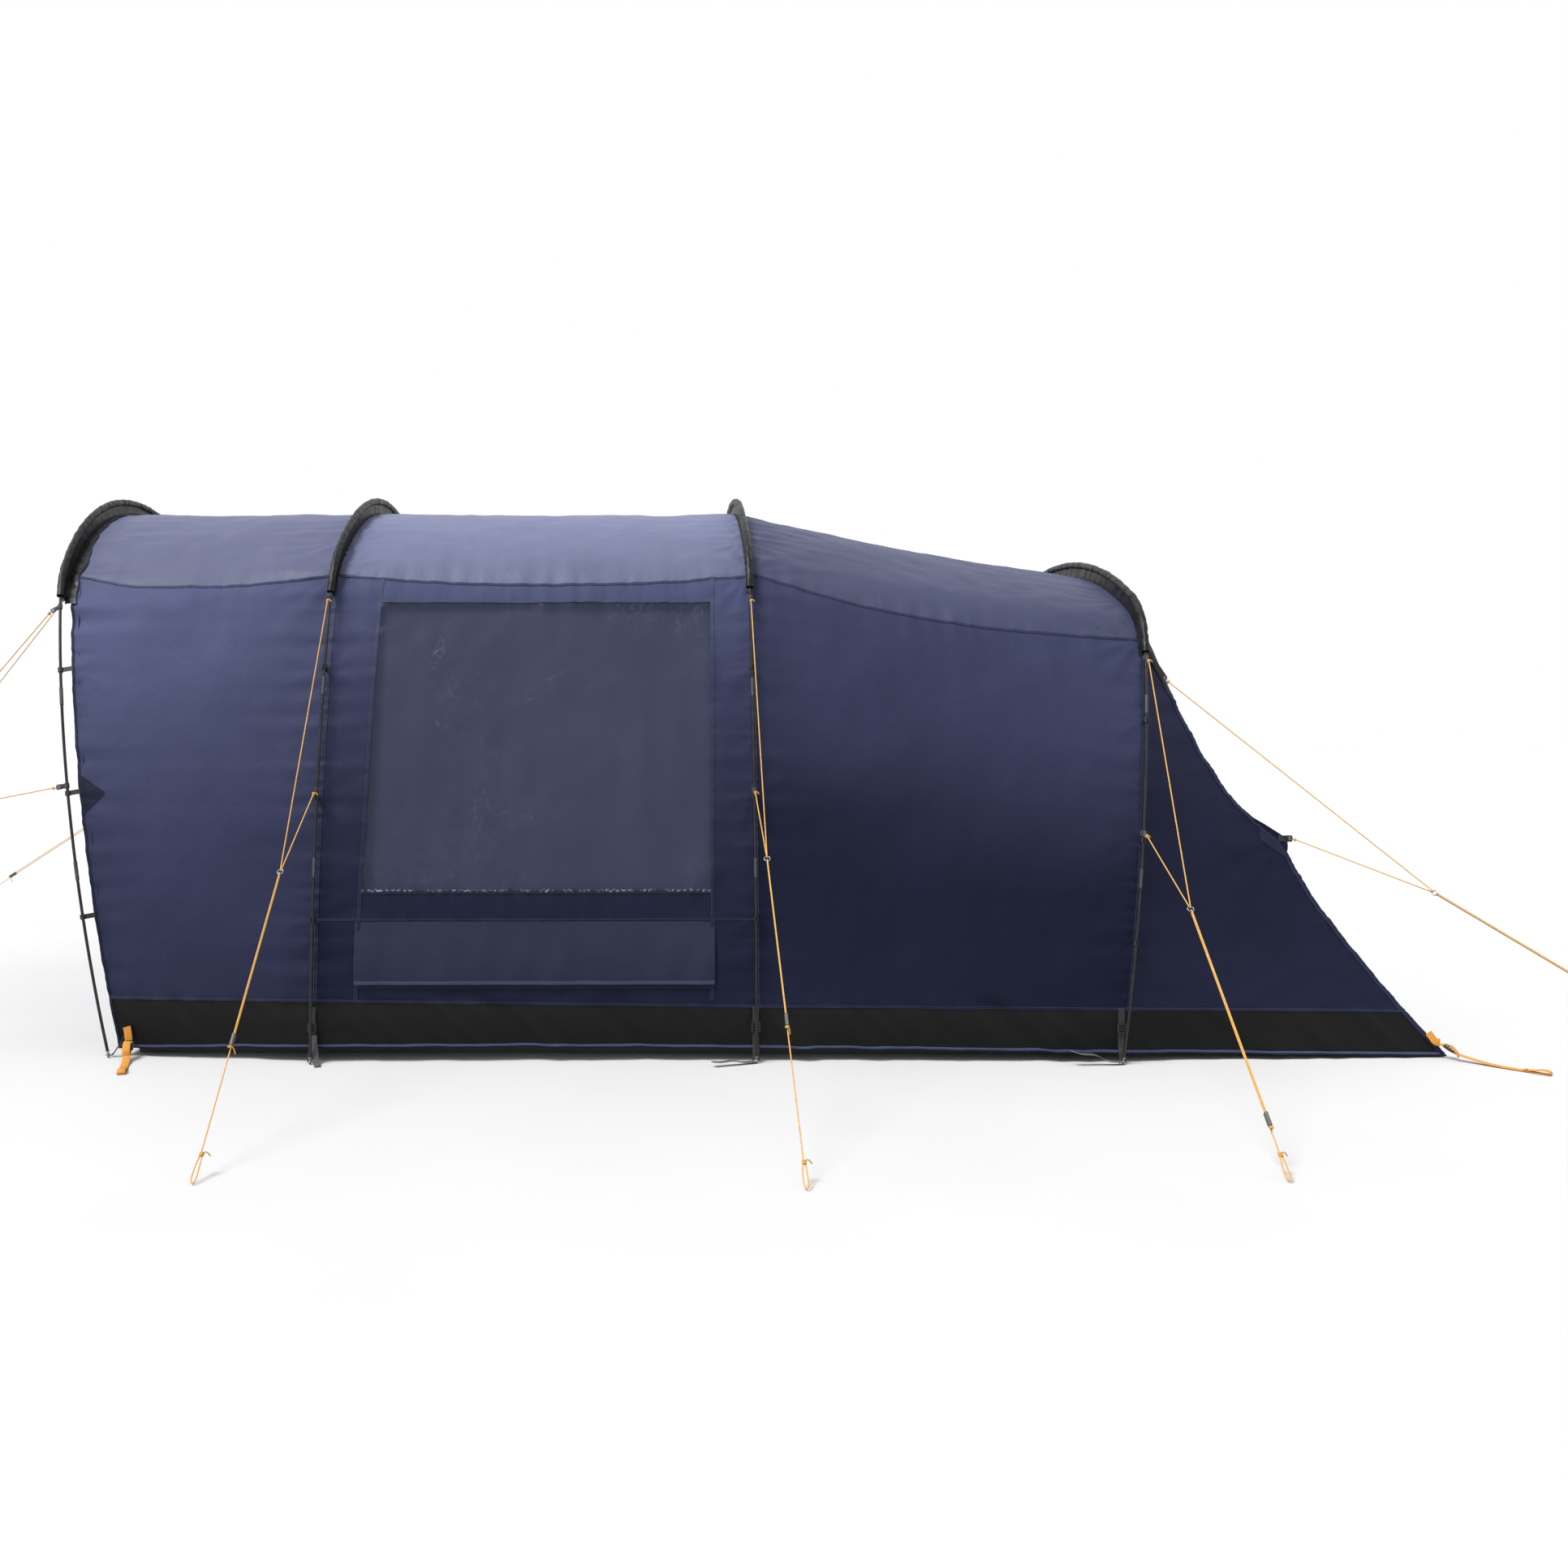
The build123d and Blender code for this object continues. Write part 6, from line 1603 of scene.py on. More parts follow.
for sname, side in SIDES:
    gz = np.linspace(0.655, 0.800, 26)
    gv = edge_v(gz)
    E = np.stack([edge_x(gv), side * edge_y(gv), edge_z(gv)], -1)
    vt = float(edge_v(0.706))
    T = np.array([X(2.1285), side * 1.1195, 0.7045])
    pull = T - np.array([float(edge_x(vt)), side * float(edge_y(vt)), 0.706])
    tent_ = np.clip(1 - np.abs(gz - 0.706) / np.where(gz < 0.706, 0.051, 0.094), 0, 1)
    gf = np.linspace(-0.35, 1, 10)
    P = E[:, None] + gf[None, :, None] * tent_[:, None, None] * pull[None, None]
    P[..., 1] += side * (0.0016 + 0.0008 * np.sin(gz * 160)[:, None] * gf[None])
    N = grid_normals(P)
    N = N * np.sign(N[..., 1:2] * side + 1e-12)
    # its colour follows the painted shade of the tail wall
    ob = sheet_mesh(f"tail_gusset_tip_{sname}", P, N, np.stack([np.broadcast_to(gz[:, None], P.shape[:2]), np.broadcast_to(gf[None] * 0.06, P.shape[:2])], -1), np.broadcast_to((tail_painted_shade(gz))[:, None], P.shape[:2]), M["side"], None, 0.0012)
    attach(ob, "tent")

# front wall ------------------------------------------------------------
front_cloth_noise = Waves(500, 0.2, 0.6, 2, 18)
front_fine = Waves(501, 0.05, 0.13, 2, 24)


class FrontPlane(Surf):
    da = db = 0.004

    def base(self, y, h):
        y, h = np.broadcast_arrays(np.asarray(y, float), np.asarray(h, float))
        return FRONT_O + y[..., None] * np.array([0, 1.0, 0]) + h[..., None] * FRONT_UP

    def normal(self, y, h):
        y, h = np.broadcast_arrays(np.asarray(y, float), np.asarray(h, float))
        return np.broadcast_to(FRONT_N, y.shape + (3,)).copy()

    def disp(self, y, h):
        door = smooth(0.47, 0.53, np.abs(y)) * 0.7 + 0.3
        return door * 0.0018 * front_cloth_noise(y, h * 0.6) + 0.0004 * front_fine(y, h)


front = FrontPlane()
tt = np.concatenate([np.linspace(0.0, 1.0, 160), np.linspace(1.0, 2.0, 40)[1:], np.linspace(2.0, 3.0, 90)[1:]])
fu = front_u(tt, True)
pts = bays[1].a.flat(tt)
qa = bays[1].half - np.interp(tt, [0, 1, 2, 3], bays[1].L)
outl = bays[1].base(fu, qa) - 0.002 * bays[1].normal(fu, qa)
out_y = outl[:, 1]
out_h = (outl - FRONT_O) @ FRONT_UP
DW, DLO, DHI, DR, DG = 0.470, 0.185, 1.700, 0.240, 0.003


def door_top(y, gap=0.0):
    """Height of the door's rounded top at a distance from the middle."""
    w, hi, r = DW - gap, DHI - gap, DR
    d = np.clip(np.abs(y) - (w - r), 0, r)
    return hi - r + np.sqrt(np.maximum(r * r - d * d, 0))


def outline_h(y):
    return np.interp(np.abs(y), out_y[::-1], out_h[::-1])


def outline_y(h):
    return np.interp(h, out_h, out_y)


# arch of cloth round the door, seen from its sill's middle
hs = np.linspace(DLO, float(out_h[-1]) - 1e-4, 4000)
oy, oh = outline_y(hs), hs
ay = np.concatenate([oy, -oy[::-1][1:]])
ah = np.concatenate([oh, oh[::-1][1:]])
seg = np.concatenate([[0], np.cumsum(np.hypot(np.diff(ay), np.diff(ah)))])
n_out = int(seg[-1] / STEP)
sq = np.linspace(0, seg[-1], n_out + 1)
oy, oh = np.interp(sq, seg, ay), np.interp(sq, seg, ah)
ang = np.arctan2(oh - DLO, oy)
ang[0], ang[-1] = 0.0, math.pi
dy = np.concatenate([np.full(1500, DW), np.linspace(DW, -DW, 3000), np.full(1500, -DW)])
dh = np.concatenate([np.linspace(DLO, DHI - DR, 1500), door_top(np.linspace(DW, -DW, 3000)), np.linspace(DHI - DR, DLO, 1500)])
da_ = np.arctan2(dh - DLO, dy)
rad = np.interp(ang, da_, np.hypot(dy, dh - DLO))
iy, ih = rad * np.cos(ang), DLO + rad * np.sin(ang)
nrow = int(0.72 / STEP)
f = np.linspace(0, 1, nrow + 1)[None]
FY, FH = oy[:, None] * (1 - f) + iy[:, None] * f, oh[:, None] * (1 - f) + ih[:, None] * f
# painted shade: the front wall is lighter higher up
cloth("front_wall_cloth", front, FY, FH, M["side"], "front_wall", shade=0.45 + 0.2 * smooth(0.4, 1.8, FH))
hb = np.linspace(0.030, DLO, 15)
fb = np.linspace(-1, 1, int(2.3 / STEP) + 1)
cloth("front_wall_mud", front, fb[:, None] * outline_y(hb)[None], hb[None] + 0 * fb[:, None], M["mud"], "front_wall", shade=0.5)
yy = np.linspace(-1, 1, 300)
strip("front_sill_seam", front, yy * float(outline_y(DLO)) * 0.999, np.full(300, DLO - 0.003), 0.012, M["seam"], shade=0.4)
strip("front_hem_piping", front, yy * float(outline_y(0.04)) * 0.999, np.full(300, 0.038), 0.008, M["piping"], shade=0.6)
bind = ih > DHI - DR - 0.012
by0, bh0 = np.clip(iy[bind], DR - DW, DW - DR), np.minimum(ih[bind], DHI - DR)
bn = unit(np.stack([iy[bind] - by0, ih[bind] - bh0], -1)) * 0.0091
strip("door_binding", front, iy[bind] + bn[:, 0], ih[bind] + bn[:, 1], 0.018, M["blackseam"], shade=0.5, off=0.0012)

# door flaps, with a coil zip on the free edges and a cloth hinge at the jambs
for sname, side in SIDES:
    body = f"door_flap_{sname}"
    ny, nh = int(0.46 / STEP), int(1.52 / STEP)
    y = side * np.linspace(0.0075, DW - DG, ny + 1)
    f = np.linspace(0, 1, nh + 1)
    top = door_top(y, DG)
    FYd = np.broadcast_to(y[:, None], (ny + 1, nh + 1))
    FHd = (DLO + DG) + (top[:, None] - DLO - DG) * f[None]
    # painted shade: the door flaps are lighter higher up
    cloth(f"{body}_cloth", front, FYd, FHd, M["side"], body, shade=0.5 + 0.15 * smooth(0.3, 1.6, FHd), body=body, off=-0.0006)
    n = 260
    hh = np.linspace(DLO + DG, DHI - DG - 0.002, n)
    strip(f"door_zip_tape_{sname}", front, np.full(n, side * 0.0105), hh, 0.017, M["blackseam"], shade=0.55, off=0.0009, body=body)
    teeth = []
    pitch = 0.0032
    count = int((DHI - DLO - 0.02) / pitch)
    tv, tf = [], []
    for i in range(count):
        h0 = DLO + 0.008 + i * pitch + (0.5 * pitch if side > 0 else 0)
        c0 = len(tv)
        for yy_, oo in ((-0.0012, 0.0012), (0.0050, 0.0012), (0.0050, 0.0028), (-0.0012, 0.0028)):
            for dh_ in (-0.26 * pitch, 0.26 * pitch):
                p = FRONT_O + np.array([0, 1, 0]) * side * (yy_ + 0.0008) + FRONT_UP * (h0 + dh_) + FRONT_N * oo
                tv.append(p)
        q = [c0 + j for j in range(8)]
        tf += [(q[0], q[2], q[3], q[1]), (q[2], q[4], q[5], q[3]), (q[4], q[6], q[7], q[5]), (q[6], q[0], q[1], q[7]), (q[0], q[6], q[4], q[2]), (q[1], q[3], q[5], q[7])]
    if side < 0:
        tf = [g[::-1] for g in tf]
    zt_ = new_object(f"door_zip_teeth_{sname}", tv, tf, np.zeros((len(tv), 2)), None, M["zip"], sharp=30)
    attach(zt_, body)
    # hinge strip
    n = int(1.27 / STEP)
    hh = np.linspace(DLO + 0.012, DHI - DR - 0.005, n)
    rows = 9
    W = np.linspace(-0.0188, 0.0065, rows)
    HA = side * DW - side * W[None] + 0 * hh[:, None]
    HB = hh[:, None] + 0 * W[None]
    P = front.base(HA, HB) + FRONT_N * (0.0014 + 0.0004 * np.cos((W + 0.0062) / 0.0127 * 1.5))[None, :, None]
    Nn = np.broadcast_to(FRONT_N, P.shape).copy()
    uv = np.stack([HB, np.broadcast_to(((W + 0.0188) / 0.0253)[None], HB.shape)], -1)
    hinge = sheet_mesh(f"door_hinge_strip_{sname}", P, Nn, uv, np.full(HB.shape, 0.5), M["blackseam"], None, 0.0007)
    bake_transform(hinge)

# pole sleeves ------------------------------------------------------------
def sleeve(n):
    """Pocket round the pole, a web down to the roof and two seam allowances lying on it."""
    pole, skin = POLE[n], CLOTH[n]
    s0, s1 = float(pole.L[1]), float(2 * pole.L[3] - pole.L[1])
    total = s1 - s0
    k = int(total / 0.008)
    s = np.linspace(s0, s1, k + 1)
    half = pole.L[3]
    left = s <= half
    sl = np.where(left, s, 2 * half - s)
    t = pole.at_length(np.clip(sl, 0, half - 1e-9))
    side = np.where(left, -1.0, 1.0)
    y, z, e = pole.flat(t)
    C = pole.space(side * y, z)
    lean = pole.lean
    B = np.broadcast_to(np.array([math.cos(lean), 0, -math.sin(lean)]), C.shape)
    I = np.stack([-np.sin(e) * math.sin(lean), -side * np.cos(e), -np.sin(e) * math.cos(lean)], -1)
    sy, szz, _ = skin.flat(t)
    S = skin.space(side * sy, szz)
    gap = ((S - C) * I).sum(-1)
    short, long = Waves(600 + n, 0.02, 0.05, 1, 16), Waves(610 + n, 0.06, 0.2, 1, 14)
    ends = np.minimum(s - s0, s1 - s)
    # the pocket
    m = 20
    phi = np.linspace(0, 2 * math.pi, m, endpoint=False)
    ripple = Waves(620 + n, 0.018, 0.06, 2, 26)
    R = 0.0124 + 0.0007 * ripple(s[:, None] + 0 * phi[None], phi[None] * 0.012 + 0 * s[:, None]) + 0.0004 * long(s)[:, None]
    R = R + 0.0009 * np.exp(-((ends / 0.010) ** 2))[:, None]
    R = np.minimum(R, 0.0150)
    outer = C[:, None] + B[:, None] * (np.sin(phi)[None] * R)[..., None] + I[:, None] * (-np.cos(phi)[None] * R)[..., None]
    innr = C[:, None] + B[:, None] * (np.sin(phi)[None] * (R - 0.0011))[..., None] + I[:, None] * (-np.cos(phi)[None] * (R - 0.0011))[..., None]
    verts = np.concatenate([outer.reshape(-1, 3), innr.reshape(-1, 3)])
    base = (k + 1) * m
    faces = []
    for i in range(k):
        for j in range(m):
            a, b = i * m + j, i * m + (j + 1) % m
            faces.append((a, a + m, b + m, b))
            faces.append((base + a, base + b, base + b + m, base + a + m))
    for j in range(m):
        a, b = j, (j + 1) % m
        faces.append((a, b, base + b, base + a))
        a, b = k * m + j, k * m + (j + 1) % m
        faces.append((a, base + a, base + b, b))
    uv = np.stack([np.repeat(s - s0, m), np.tile(phi * 0.0124, k + 1)], 1)
    uv = np.concatenate([uv, uv])
    rng_shade = 0.5 + 0.2 * long(s * 0.7 + 2)
    pocket = new_object(f"sleeve_pocket_{n}", verts, faces, uv, np.tile(np.repeat(rng_shade, m), 2), M["sleeve"], sharp=65)
    # check the winding once
    f0 = faces[0]
    fn = np.cross(verts[f0[1]] - verts[f0[0]], verts[f0[3]] - verts[f0[0]])
    if np.dot(fn, verts[f0[0]] - C[0]) < 0:
        pocket.data.flip_normals()
    # the web
    wv = []
    prof = []
    wob = 0.0016 * long(s + 1.3) + 0.0006 * short(s)
    fl = 0.0105 + 0.0012 * short(s * 0.8 + 5)
    g = gap - 0.0012
    cols = [
        (-fl, g + 0.0010), (-fl * 0.98, g - 0.0006), (-0.0016 + 0 * s, g - 0.0022), (-0.0011 + wob * 0.6, (g + 0.0115) / 2), (-0.0011 + wob * 0.2, 0.0105 + 0 * s),
        (0.0011 + wob * 0.2, 0.0105 + 0 * s), (0.0011 + wob * 0.6, (g + 0.0115) / 2), (0.0016 + 0 * s, g - 0.0022), (fl * 0.98, g - 0.0006), (fl, g + 0.0010),
    ]
    prof = np.stack([np.stack([np.broadcast_to(c[0], s.shape), np.broadcast_to(c[1], s.shape)], -1) for c in cols], 1)
    web = sweep(f"sleeve_web_{n}", C, B, I, prof, M["sleeve"], shade=0.35 + 0.15 * short(s * 0.3))
    ob = join(f"pole_sleeve_{n}", [pocket, web])
    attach(ob, "tent")
    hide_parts("pole_sleeves")
    area = total * 2 * math.pi * 0.0124 + total * float(gap.mean())
    return ob, total, area


sleeve_facts = {n: sleeve(n) for n in (1, 2, 3, 4)}
for n, (ob, total, _) in sleeve_facts.items():
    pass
# the front sleeve is a wide hood: its back half lies on the roof and closes the gap beside the pole
q_end = float(bays[1].q_at(0.0, 1.500, 1))
hq = np.linspace(-q_end, q_end, int(2 * q_end / 0.012) + 1) + 1e-6
hz = bays[1].base(0 * hq, hq)[..., 2]
reach = [float(front_edge(v)) * bays[1].span + 0.011 for v in (1.45, 1.53, 1.61)]
hw = np.interp(hz, [1.45, 1.53, 1.61, 1.67, 1.74, 1.82, 1.90, 2.02], reach + [0.034, 0.024, 0.021, 0.020, 0.018]) / bays[1].span
hw = hw + 0.0016 * Waves(650, 0.05, 0.2, 1, 12)(hq)
hf = np.linspace(0, 1, 9)
HA, HB = hf[None] * hw[:, None] + 0.0015, hq[:, None] + 0 * hf[None]
hood_wave = Waves(651, 0.03, 0.12, 2, 22)
ex = 0.0028 * smooth(1.66, 1.58, hz)[:, None] + 0.0011 * hood_wave(HB, HA * 0.6) * np.sin(np.pi * hf)[None] + 0.0008 * hood_wave(HB * 2.1 + 3, HA) * np.sin(np.pi * hf)[None]
cloth("pole_sleeve_hood", bays[1], HA, HB, M["sleeve"], "pole_sleeves", off=0.0042, shade=0.45 + 0.15 * hood_wave(HB * 0.5, HA), extra=ex)

# groundsheet ----------------------------------------------------------------
GX0, GX1, GXM = X(-1.690), X(2.480), X(1.500)


def ground_w(x):
    return np.interp(x, [GX0, GXM, GX1], [1.150, 1.180, 1.090]) - 0.001


gs = 0.02
gx = np.linspace(GX0 + 0.001, GX1 - 0.001, int((GX1 - GX0) / gs) + 1)
gr = np.linspace(-1, 1, int(2.3 / gs) + 1)
GP = np.stack(np.broadcast_arrays(gx[:, None], gr[None] * ground_w(gx)[:, None], 0.0 * gx[:, None] * gr[None]), -1).astype(float)
gn = Waves(700, 0.12, 0.5, 2, 24)
inner = (1 - gr[None] ** 6) * (1 - (np.linspace(-1, 1, len(gx))[:, None]) ** 16)
GP[..., 2] = 0.0010 + 0.0016 * np.clip(gn(GP[..., 0], GP[..., 1]), 0, 3) * inner
GN = np.zeros_like(GP)
GN[..., 2] = 1
gfloor = sheet_mesh("groundsheet_floor", GP, GN, np.stack([GP[..., 0], GP[..., 1]], -1), np.full(GP.shape[:2], 0.5), M["floor"], None, 0.0008)
loop_pts = [(GX0, -1.150), (GXM, -1.180), (GX1, -1.090), (GX1, 1.090), (GXM, 1.180), (GX0, 1.150), (GX0, -1.150)]
lp = []
for (xa, ya), (xb, yb) in zip(loop_pts, loop_pts[1:]):
    n = int(math.hypot(xb - xa, yb - ya) / gs)
    lp += [(xa + (xb - xa) * i / n, ya + (yb - ya) * i / n) for i in range(n)]
lp.append(loop_pts[-1])
lp = np.array(lp)
cx, cy = (GX0 + GX1) / 2, 0.0
tang = unit(np.gradient(lp, axis=0))
nrm2 = np.stack([tang[:, 1], -tang[:, 0]], -1)
rh = np.linspace(0.0012, 0.1185, 9)
rim_len = np.concatenate([[0], np.cumsum(np.hypot(*np.diff(lp, axis=0).T))])
rimn = Waves(701, 0.06, 0.25, 2, 20)
RP = np.zeros((len(lp), len(rh), 3))
for j, h in enumerate(rh):
    push = 0.0012 + 0.0030 * (h / 0.12) * (1 + 0.5 * rimn(rim_len, h + 0 * rim_len))
    RP[:, j, :2] = lp - nrm2 * push[:, None]
    RP[:, j, 2] = h - 0.0006 * np.clip(rimn(rim_len * 1.3 + 5, 0 * rim_len), 0, 2) * (h / 0.12)
RN = np.zeros_like(RP)
RN[..., :2] = nrm2[:, None]
grim = sheet_mesh("groundsheet_rim", RP, RN, np.stack(np.broadcast_arrays(rim_len[:, None], rh[None]), -1), np.full(RP.shape[:2], 0.4), M["floor"], None, 0.0008)
tray = join("groundsheet_tray", [gfloor, grim])
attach(tray, "tent")
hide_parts("groundsheet")

# bedroom ----------------------------------------------------------------------
ROOM = [
    (0.404, 1.125, 19.0, 57.0, 0.330, 1.820), (1.440, 1.120, 19.0, 62.0, 0.320, 1.570),
    (1.790, 1.085, 14.0, 72.0, 0.240, 0.920), (2.195, 1.040, 10.0, 76.0, 0.120, 0.350),
]
rooms = [Hoop(x, 0.0, w, 0.5, a1, a2, rb, crown) for x, w, a1, a2, rb, crown in ROOM]
room_noise = (Waves(800, 0.20, 0.6, 3, 24), Waves(801, 0.07, 0.2, 3, 24))


class RoomBay(Bay):
    def __init__(self, a, b):
        super().__init__(0, a, b)

    def disp(self, u, q):
        P = self.base(u, q)
        x, y, z = P[..., 0], P[..., 1], P[..., 2]
        edge = np.minimum(u, 1 - u) * self.span
        win = smooth(0, 0.10, edge)
        return win * (-0.010 * 4 * u * (1 - u) * smooth(0.0, 0.5, z) + 0.0045 * room_noise[0](x, y, z) + 0.0014 * room_noise[1](x, y, z)) - 0.002


rs_ = 0.019
for i, (a, b) in enumerate(zip(rooms, rooms[1:])):
    rb_ = RoomBay(a, b)
    k = max(4, int(rb_.span / rs_))
    u = np.linspace(0, 1, k + 1)
    qs = rb_.q_at(u, 0.006, 1)
    m = int(2 * qs.mean() / rs_)
    m += m % 2
    r = np.linspace(-1, 1, m + 1)
    r[m // 2] = 1e-6
    cloth(f"bedroom_shell_{i + 1}", rb_, u[:, None] + 0 * r[None], r[None] * qs[:, None], M["inner"], "bedroom_shell", shade=0.5, off=-0.001)


class Upright(Surf):
    """A flat sheet across the tent: parameters y and z."""

    da = db = 0.004

    def __init__(self, x, face, seed, amp=0.004):
        self.x, self.face, self.amp = x, face, amp
        self.w = (Waves(seed, 0.2, 0.7, 2, 22), Waves(seed + 1, 0.06, 0.2, 2, 22))

    def base(self, y, z):
        y, z = np.broadcast_arrays(np.asarray(y, float), np.asarray(z, float))
        return np.stack([self.x + 0 * y, y, z], -1)

    def normal(self, y, z):
        y, z = np.broadcast_arrays(np.asarray(y, float), np.asarray(z, float))
        n = np.zeros(y.shape + (3,))
        n[..., 0] = self.face
        return n

    def disp(self, y, z):
        return self.amp * (0.5 * self.w[0](y, z * 0.5) + 0.15 * self.w[1](y, z * 0.4)) * 0.5


room_front = Upright(X(0.404) + 0.001, -1, 820, 0.0035)
r0 = rooms[0]
tt = np.linspace(0, 3, 400)
ry, rz, _ = r0.flat(tt)
BW, BLO, BHI, BR = 0.530, 0.120, 1.560, 0.120


def rounded_rect(w, lo, hi, r, n=900):
    """Right half of a rounded rectangle, from the bottom middle to the top middle."""
    a = np.linspace(-math.pi / 2, 0, 40)
    b = np.linspace(0, math.pi / 2, 40)
    y = np.concatenate([np.linspace(0, w - r, 120), w - r + r * np.cos(a), np.full(200, w), w - r + r * np.cos(b), np.linspace(w - r, 0, 120)])
    z = np.concatenate([np.full(120, lo), lo + r + r * np.sin(a), np.linspace(lo + r, hi - r, 200), hi - r + r * np.sin(b), np.full(120, hi)])
    return y, z


half_y, half_z = rounded_rect(BW, BLO, BHI, BR)
in_y = np.concatenate([half_y, -half_y[::-1]])
in_z = np.concatenate([half_z, half_z[::-1]])
CZ = 0.84
out_half_y = np.concatenate([np.linspace(0, float(ry[0]), 200), ry])
out_half_z = np.concatenate([np.full(200, 0.006), np.maximum(rz, 0.006)])
o_y = np.concatenate([out_half_y, -out_half_y[::-1]])
o_z = np.concatenate([out_half_z, out_half_z[::-1]])
m = int(6.4 / rs_)
th = np.linspace(-math.pi / 2, 1.5 * math.pi, m + 1)


def radius_at(yy, zz, th):
    a = np.unwrap(np.arctan2(zz - CZ, yy))
    r = np.hypot(yy, zz - CZ)
    a = a - 2 * math.pi * round((a[0] + math.pi / 2) / (2 * math.pi))
    order = np.argsort(a)
    return np.interp(th, a[order], r[order])


ro, ri = radius_at(o_y, o_z, th), radius_at(in_y, in_z, th)
f = np.linspace(0, 1, 26)[None]
rr = ro[:, None] * (1 - f) + ri[:, None] * f
cloth("bedroom_shell_front", room_front, rr * np.cos(th)[:, None], CZ + rr * np.sin(th)[:, None], M["inner"], "bedroom_shell", shade=0.55)
r3 = rooms[3]
ry3, rz3, _ = r3.flat(np.linspace(0, 3, 60))
fy = np.linspace(-1, 1, 70)
yy = fy * float(ry3[0])
hz = np.interp(np.abs(yy), ry3[::-1], rz3[::-1])
fz = np.linspace(0, 1, 12)
room_back = Upright(X(2.195) - 0.001, 1, 830, 0.003)
cloth("bedroom_shell_back", room_back, yy[:, None] + 0 * fz[None], 0.006 + (hz[:, None] - 0.006) * fz[None], M["inner"], "bedroom_shell", shade=0.5)
# door panel of the bedroom
by = np.linspace(-1, 1, 60) * (BW - 0.003)
hgt = (BHI - BLO - 0.006) / 2
mid_z = (BHI + BLO) / 2
rc = BR - 0.003
dd = np.clip(np.abs(by) - (BW - 0.003 - rc), 0, rc)
ext = hgt - rc + np.sqrt(np.maximum(rc ** 2 - dd ** 2, 0))
bf = np.linspace(-1, 1, 80)
room_door = Upright(X(0.404) + 0.001, -1, 840, 0.003)
cloth("bedroom_door_cloth", room_door, by[:, None] + 0 * bf[None], mid_z + ext[:, None] * bf[None], M["inner"], "bedroom_door", shade=0.62, body="bedroom_door")
ty = (BW - 0.012) * np.cos(np.linspace(0, 2 * math.pi, 4)) * 0
hy, hz2 = rounded_rect(BW - 0.012, BLO + 0.012, BHI - 0.012, BR - 0.012)
sel = slice(130, None)
strip("bedroom_zip_tape", room_door, hy[sel], hz2[sel], 0.016, M["blackseam"], off=0.0008, body="bedroom_door", shade=0.6)
hz_ = np.linspace(0.30, 1.38, 70)
W = np.linspace(-0.02, 0.02, 9)
HA = -(BW - 0.0015) + W[None] + 0 * hz_[:, None]
HB = hz_[:, None] + 0 * W[None]
P = room_front.base(HA, HB) + np.array([-0.0035, 0, 0])
Nn = np.zeros_like(P)
Nn[..., 0] = -1
hinge = sheet_mesh("bedroom_hinge_strip", P, Nn, np.stack([HB, np.broadcast_to((W / 0.04 + 0.5)[None], HB.shape)], -1), np.full(HB.shape, 0.5), M["inner"], None, 0.0007)
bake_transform(hinge)
for i, (st, low, high) in enumerate(((0.404, 1.822, 1.920), (0.930, 1.700, 1.804), (1.400, 1.583, 1.692)), 1):
    x = X(st) + 0.014
    loop = [(x, -0.004, low - 0.003), (x, -0.006, low + 0.03), (x, -0.0045, (low + high) / 2 + 0.01), (x, -0.003, high - 0.004), (x, 0, high), (x, 0.003, high - 0.004), (x, 0.0045, (low + high) / 2 + 0.01), (x, 0.006, low + 0.03), (x, 0.004, low - 0.003)]
    a = tube_mesh(f"hanger_elastic_{i}", catmull(loop, 0.003), 0.0011, M["elastic"], sides=8)
    zc = (low + high) / 2
    px = np.linspace(-0.012, 0.012, 13)
    rad_ = 0.0044 * np.sqrt(np.clip(1 - (np.abs(px) / 0.0125) ** 4, 0.05, 1)) - 0.0008 * np.exp(-((px / 0.003) ** 2))
    b = tube_mesh(f"hanger_toggle_{i}", np.stack([x + px, 0 * px, zc + 0 * px], -1), rad_, M["clip"], sides=14)
    for o in (a, b):
        o.parent = None
    ob = join(f"bedroom_hanger_{i}", [a, b])
    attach(ob, "tent")
    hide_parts("bedroom_hangers")


# webbing at the feet -----------------------------------------------------------
def foot_at(n):
    """Where the pole ends: x, |y| of the pole axis at the pin."""
    p = POLE[n]
    t = float(p.t_at_z(0.024))
    q = p.point(t, 1)
    return float(q[0]), float(q[1])


def stitched_box(name, at, along, across, size, body="tent"):
    """A small bar tack: a row of raised threads."""
    vs, fs = [], []
    along, across = unit(along), unit(across)
    nrm = np.cross(along, across)
    count = int(size[1] / 0.0012)
    for i in range(count):
        c = np.asarray(at) + across * (-size[1] / 2 + (i + 0.5) * size[1] / count)
        base = len(vs)
        for a, h in ((-0.5, 0.0), (-0.42, 0.0005), (0.42, 0.0005), (0.5, 0.0)):
            for w in (-0.0004, 0.0004):
                vs.append(c + along * a * size[0] + across * w + nrm * h)
        for j in range(3):
            a = base + 2 * j
            fs.append((a, a + 2, a + 3, a + 1))
        fs.append((base, base + 1, base + 7, base + 6))
        fs.append((base, base + 6, base + 4, base + 2))
        fs.append((base + 1, base + 3, base + 5, base + 7))
    return new_object(name, vs, fs, np.zeros((len(vs), 2)), None, M["greyweb"], sharp=40)


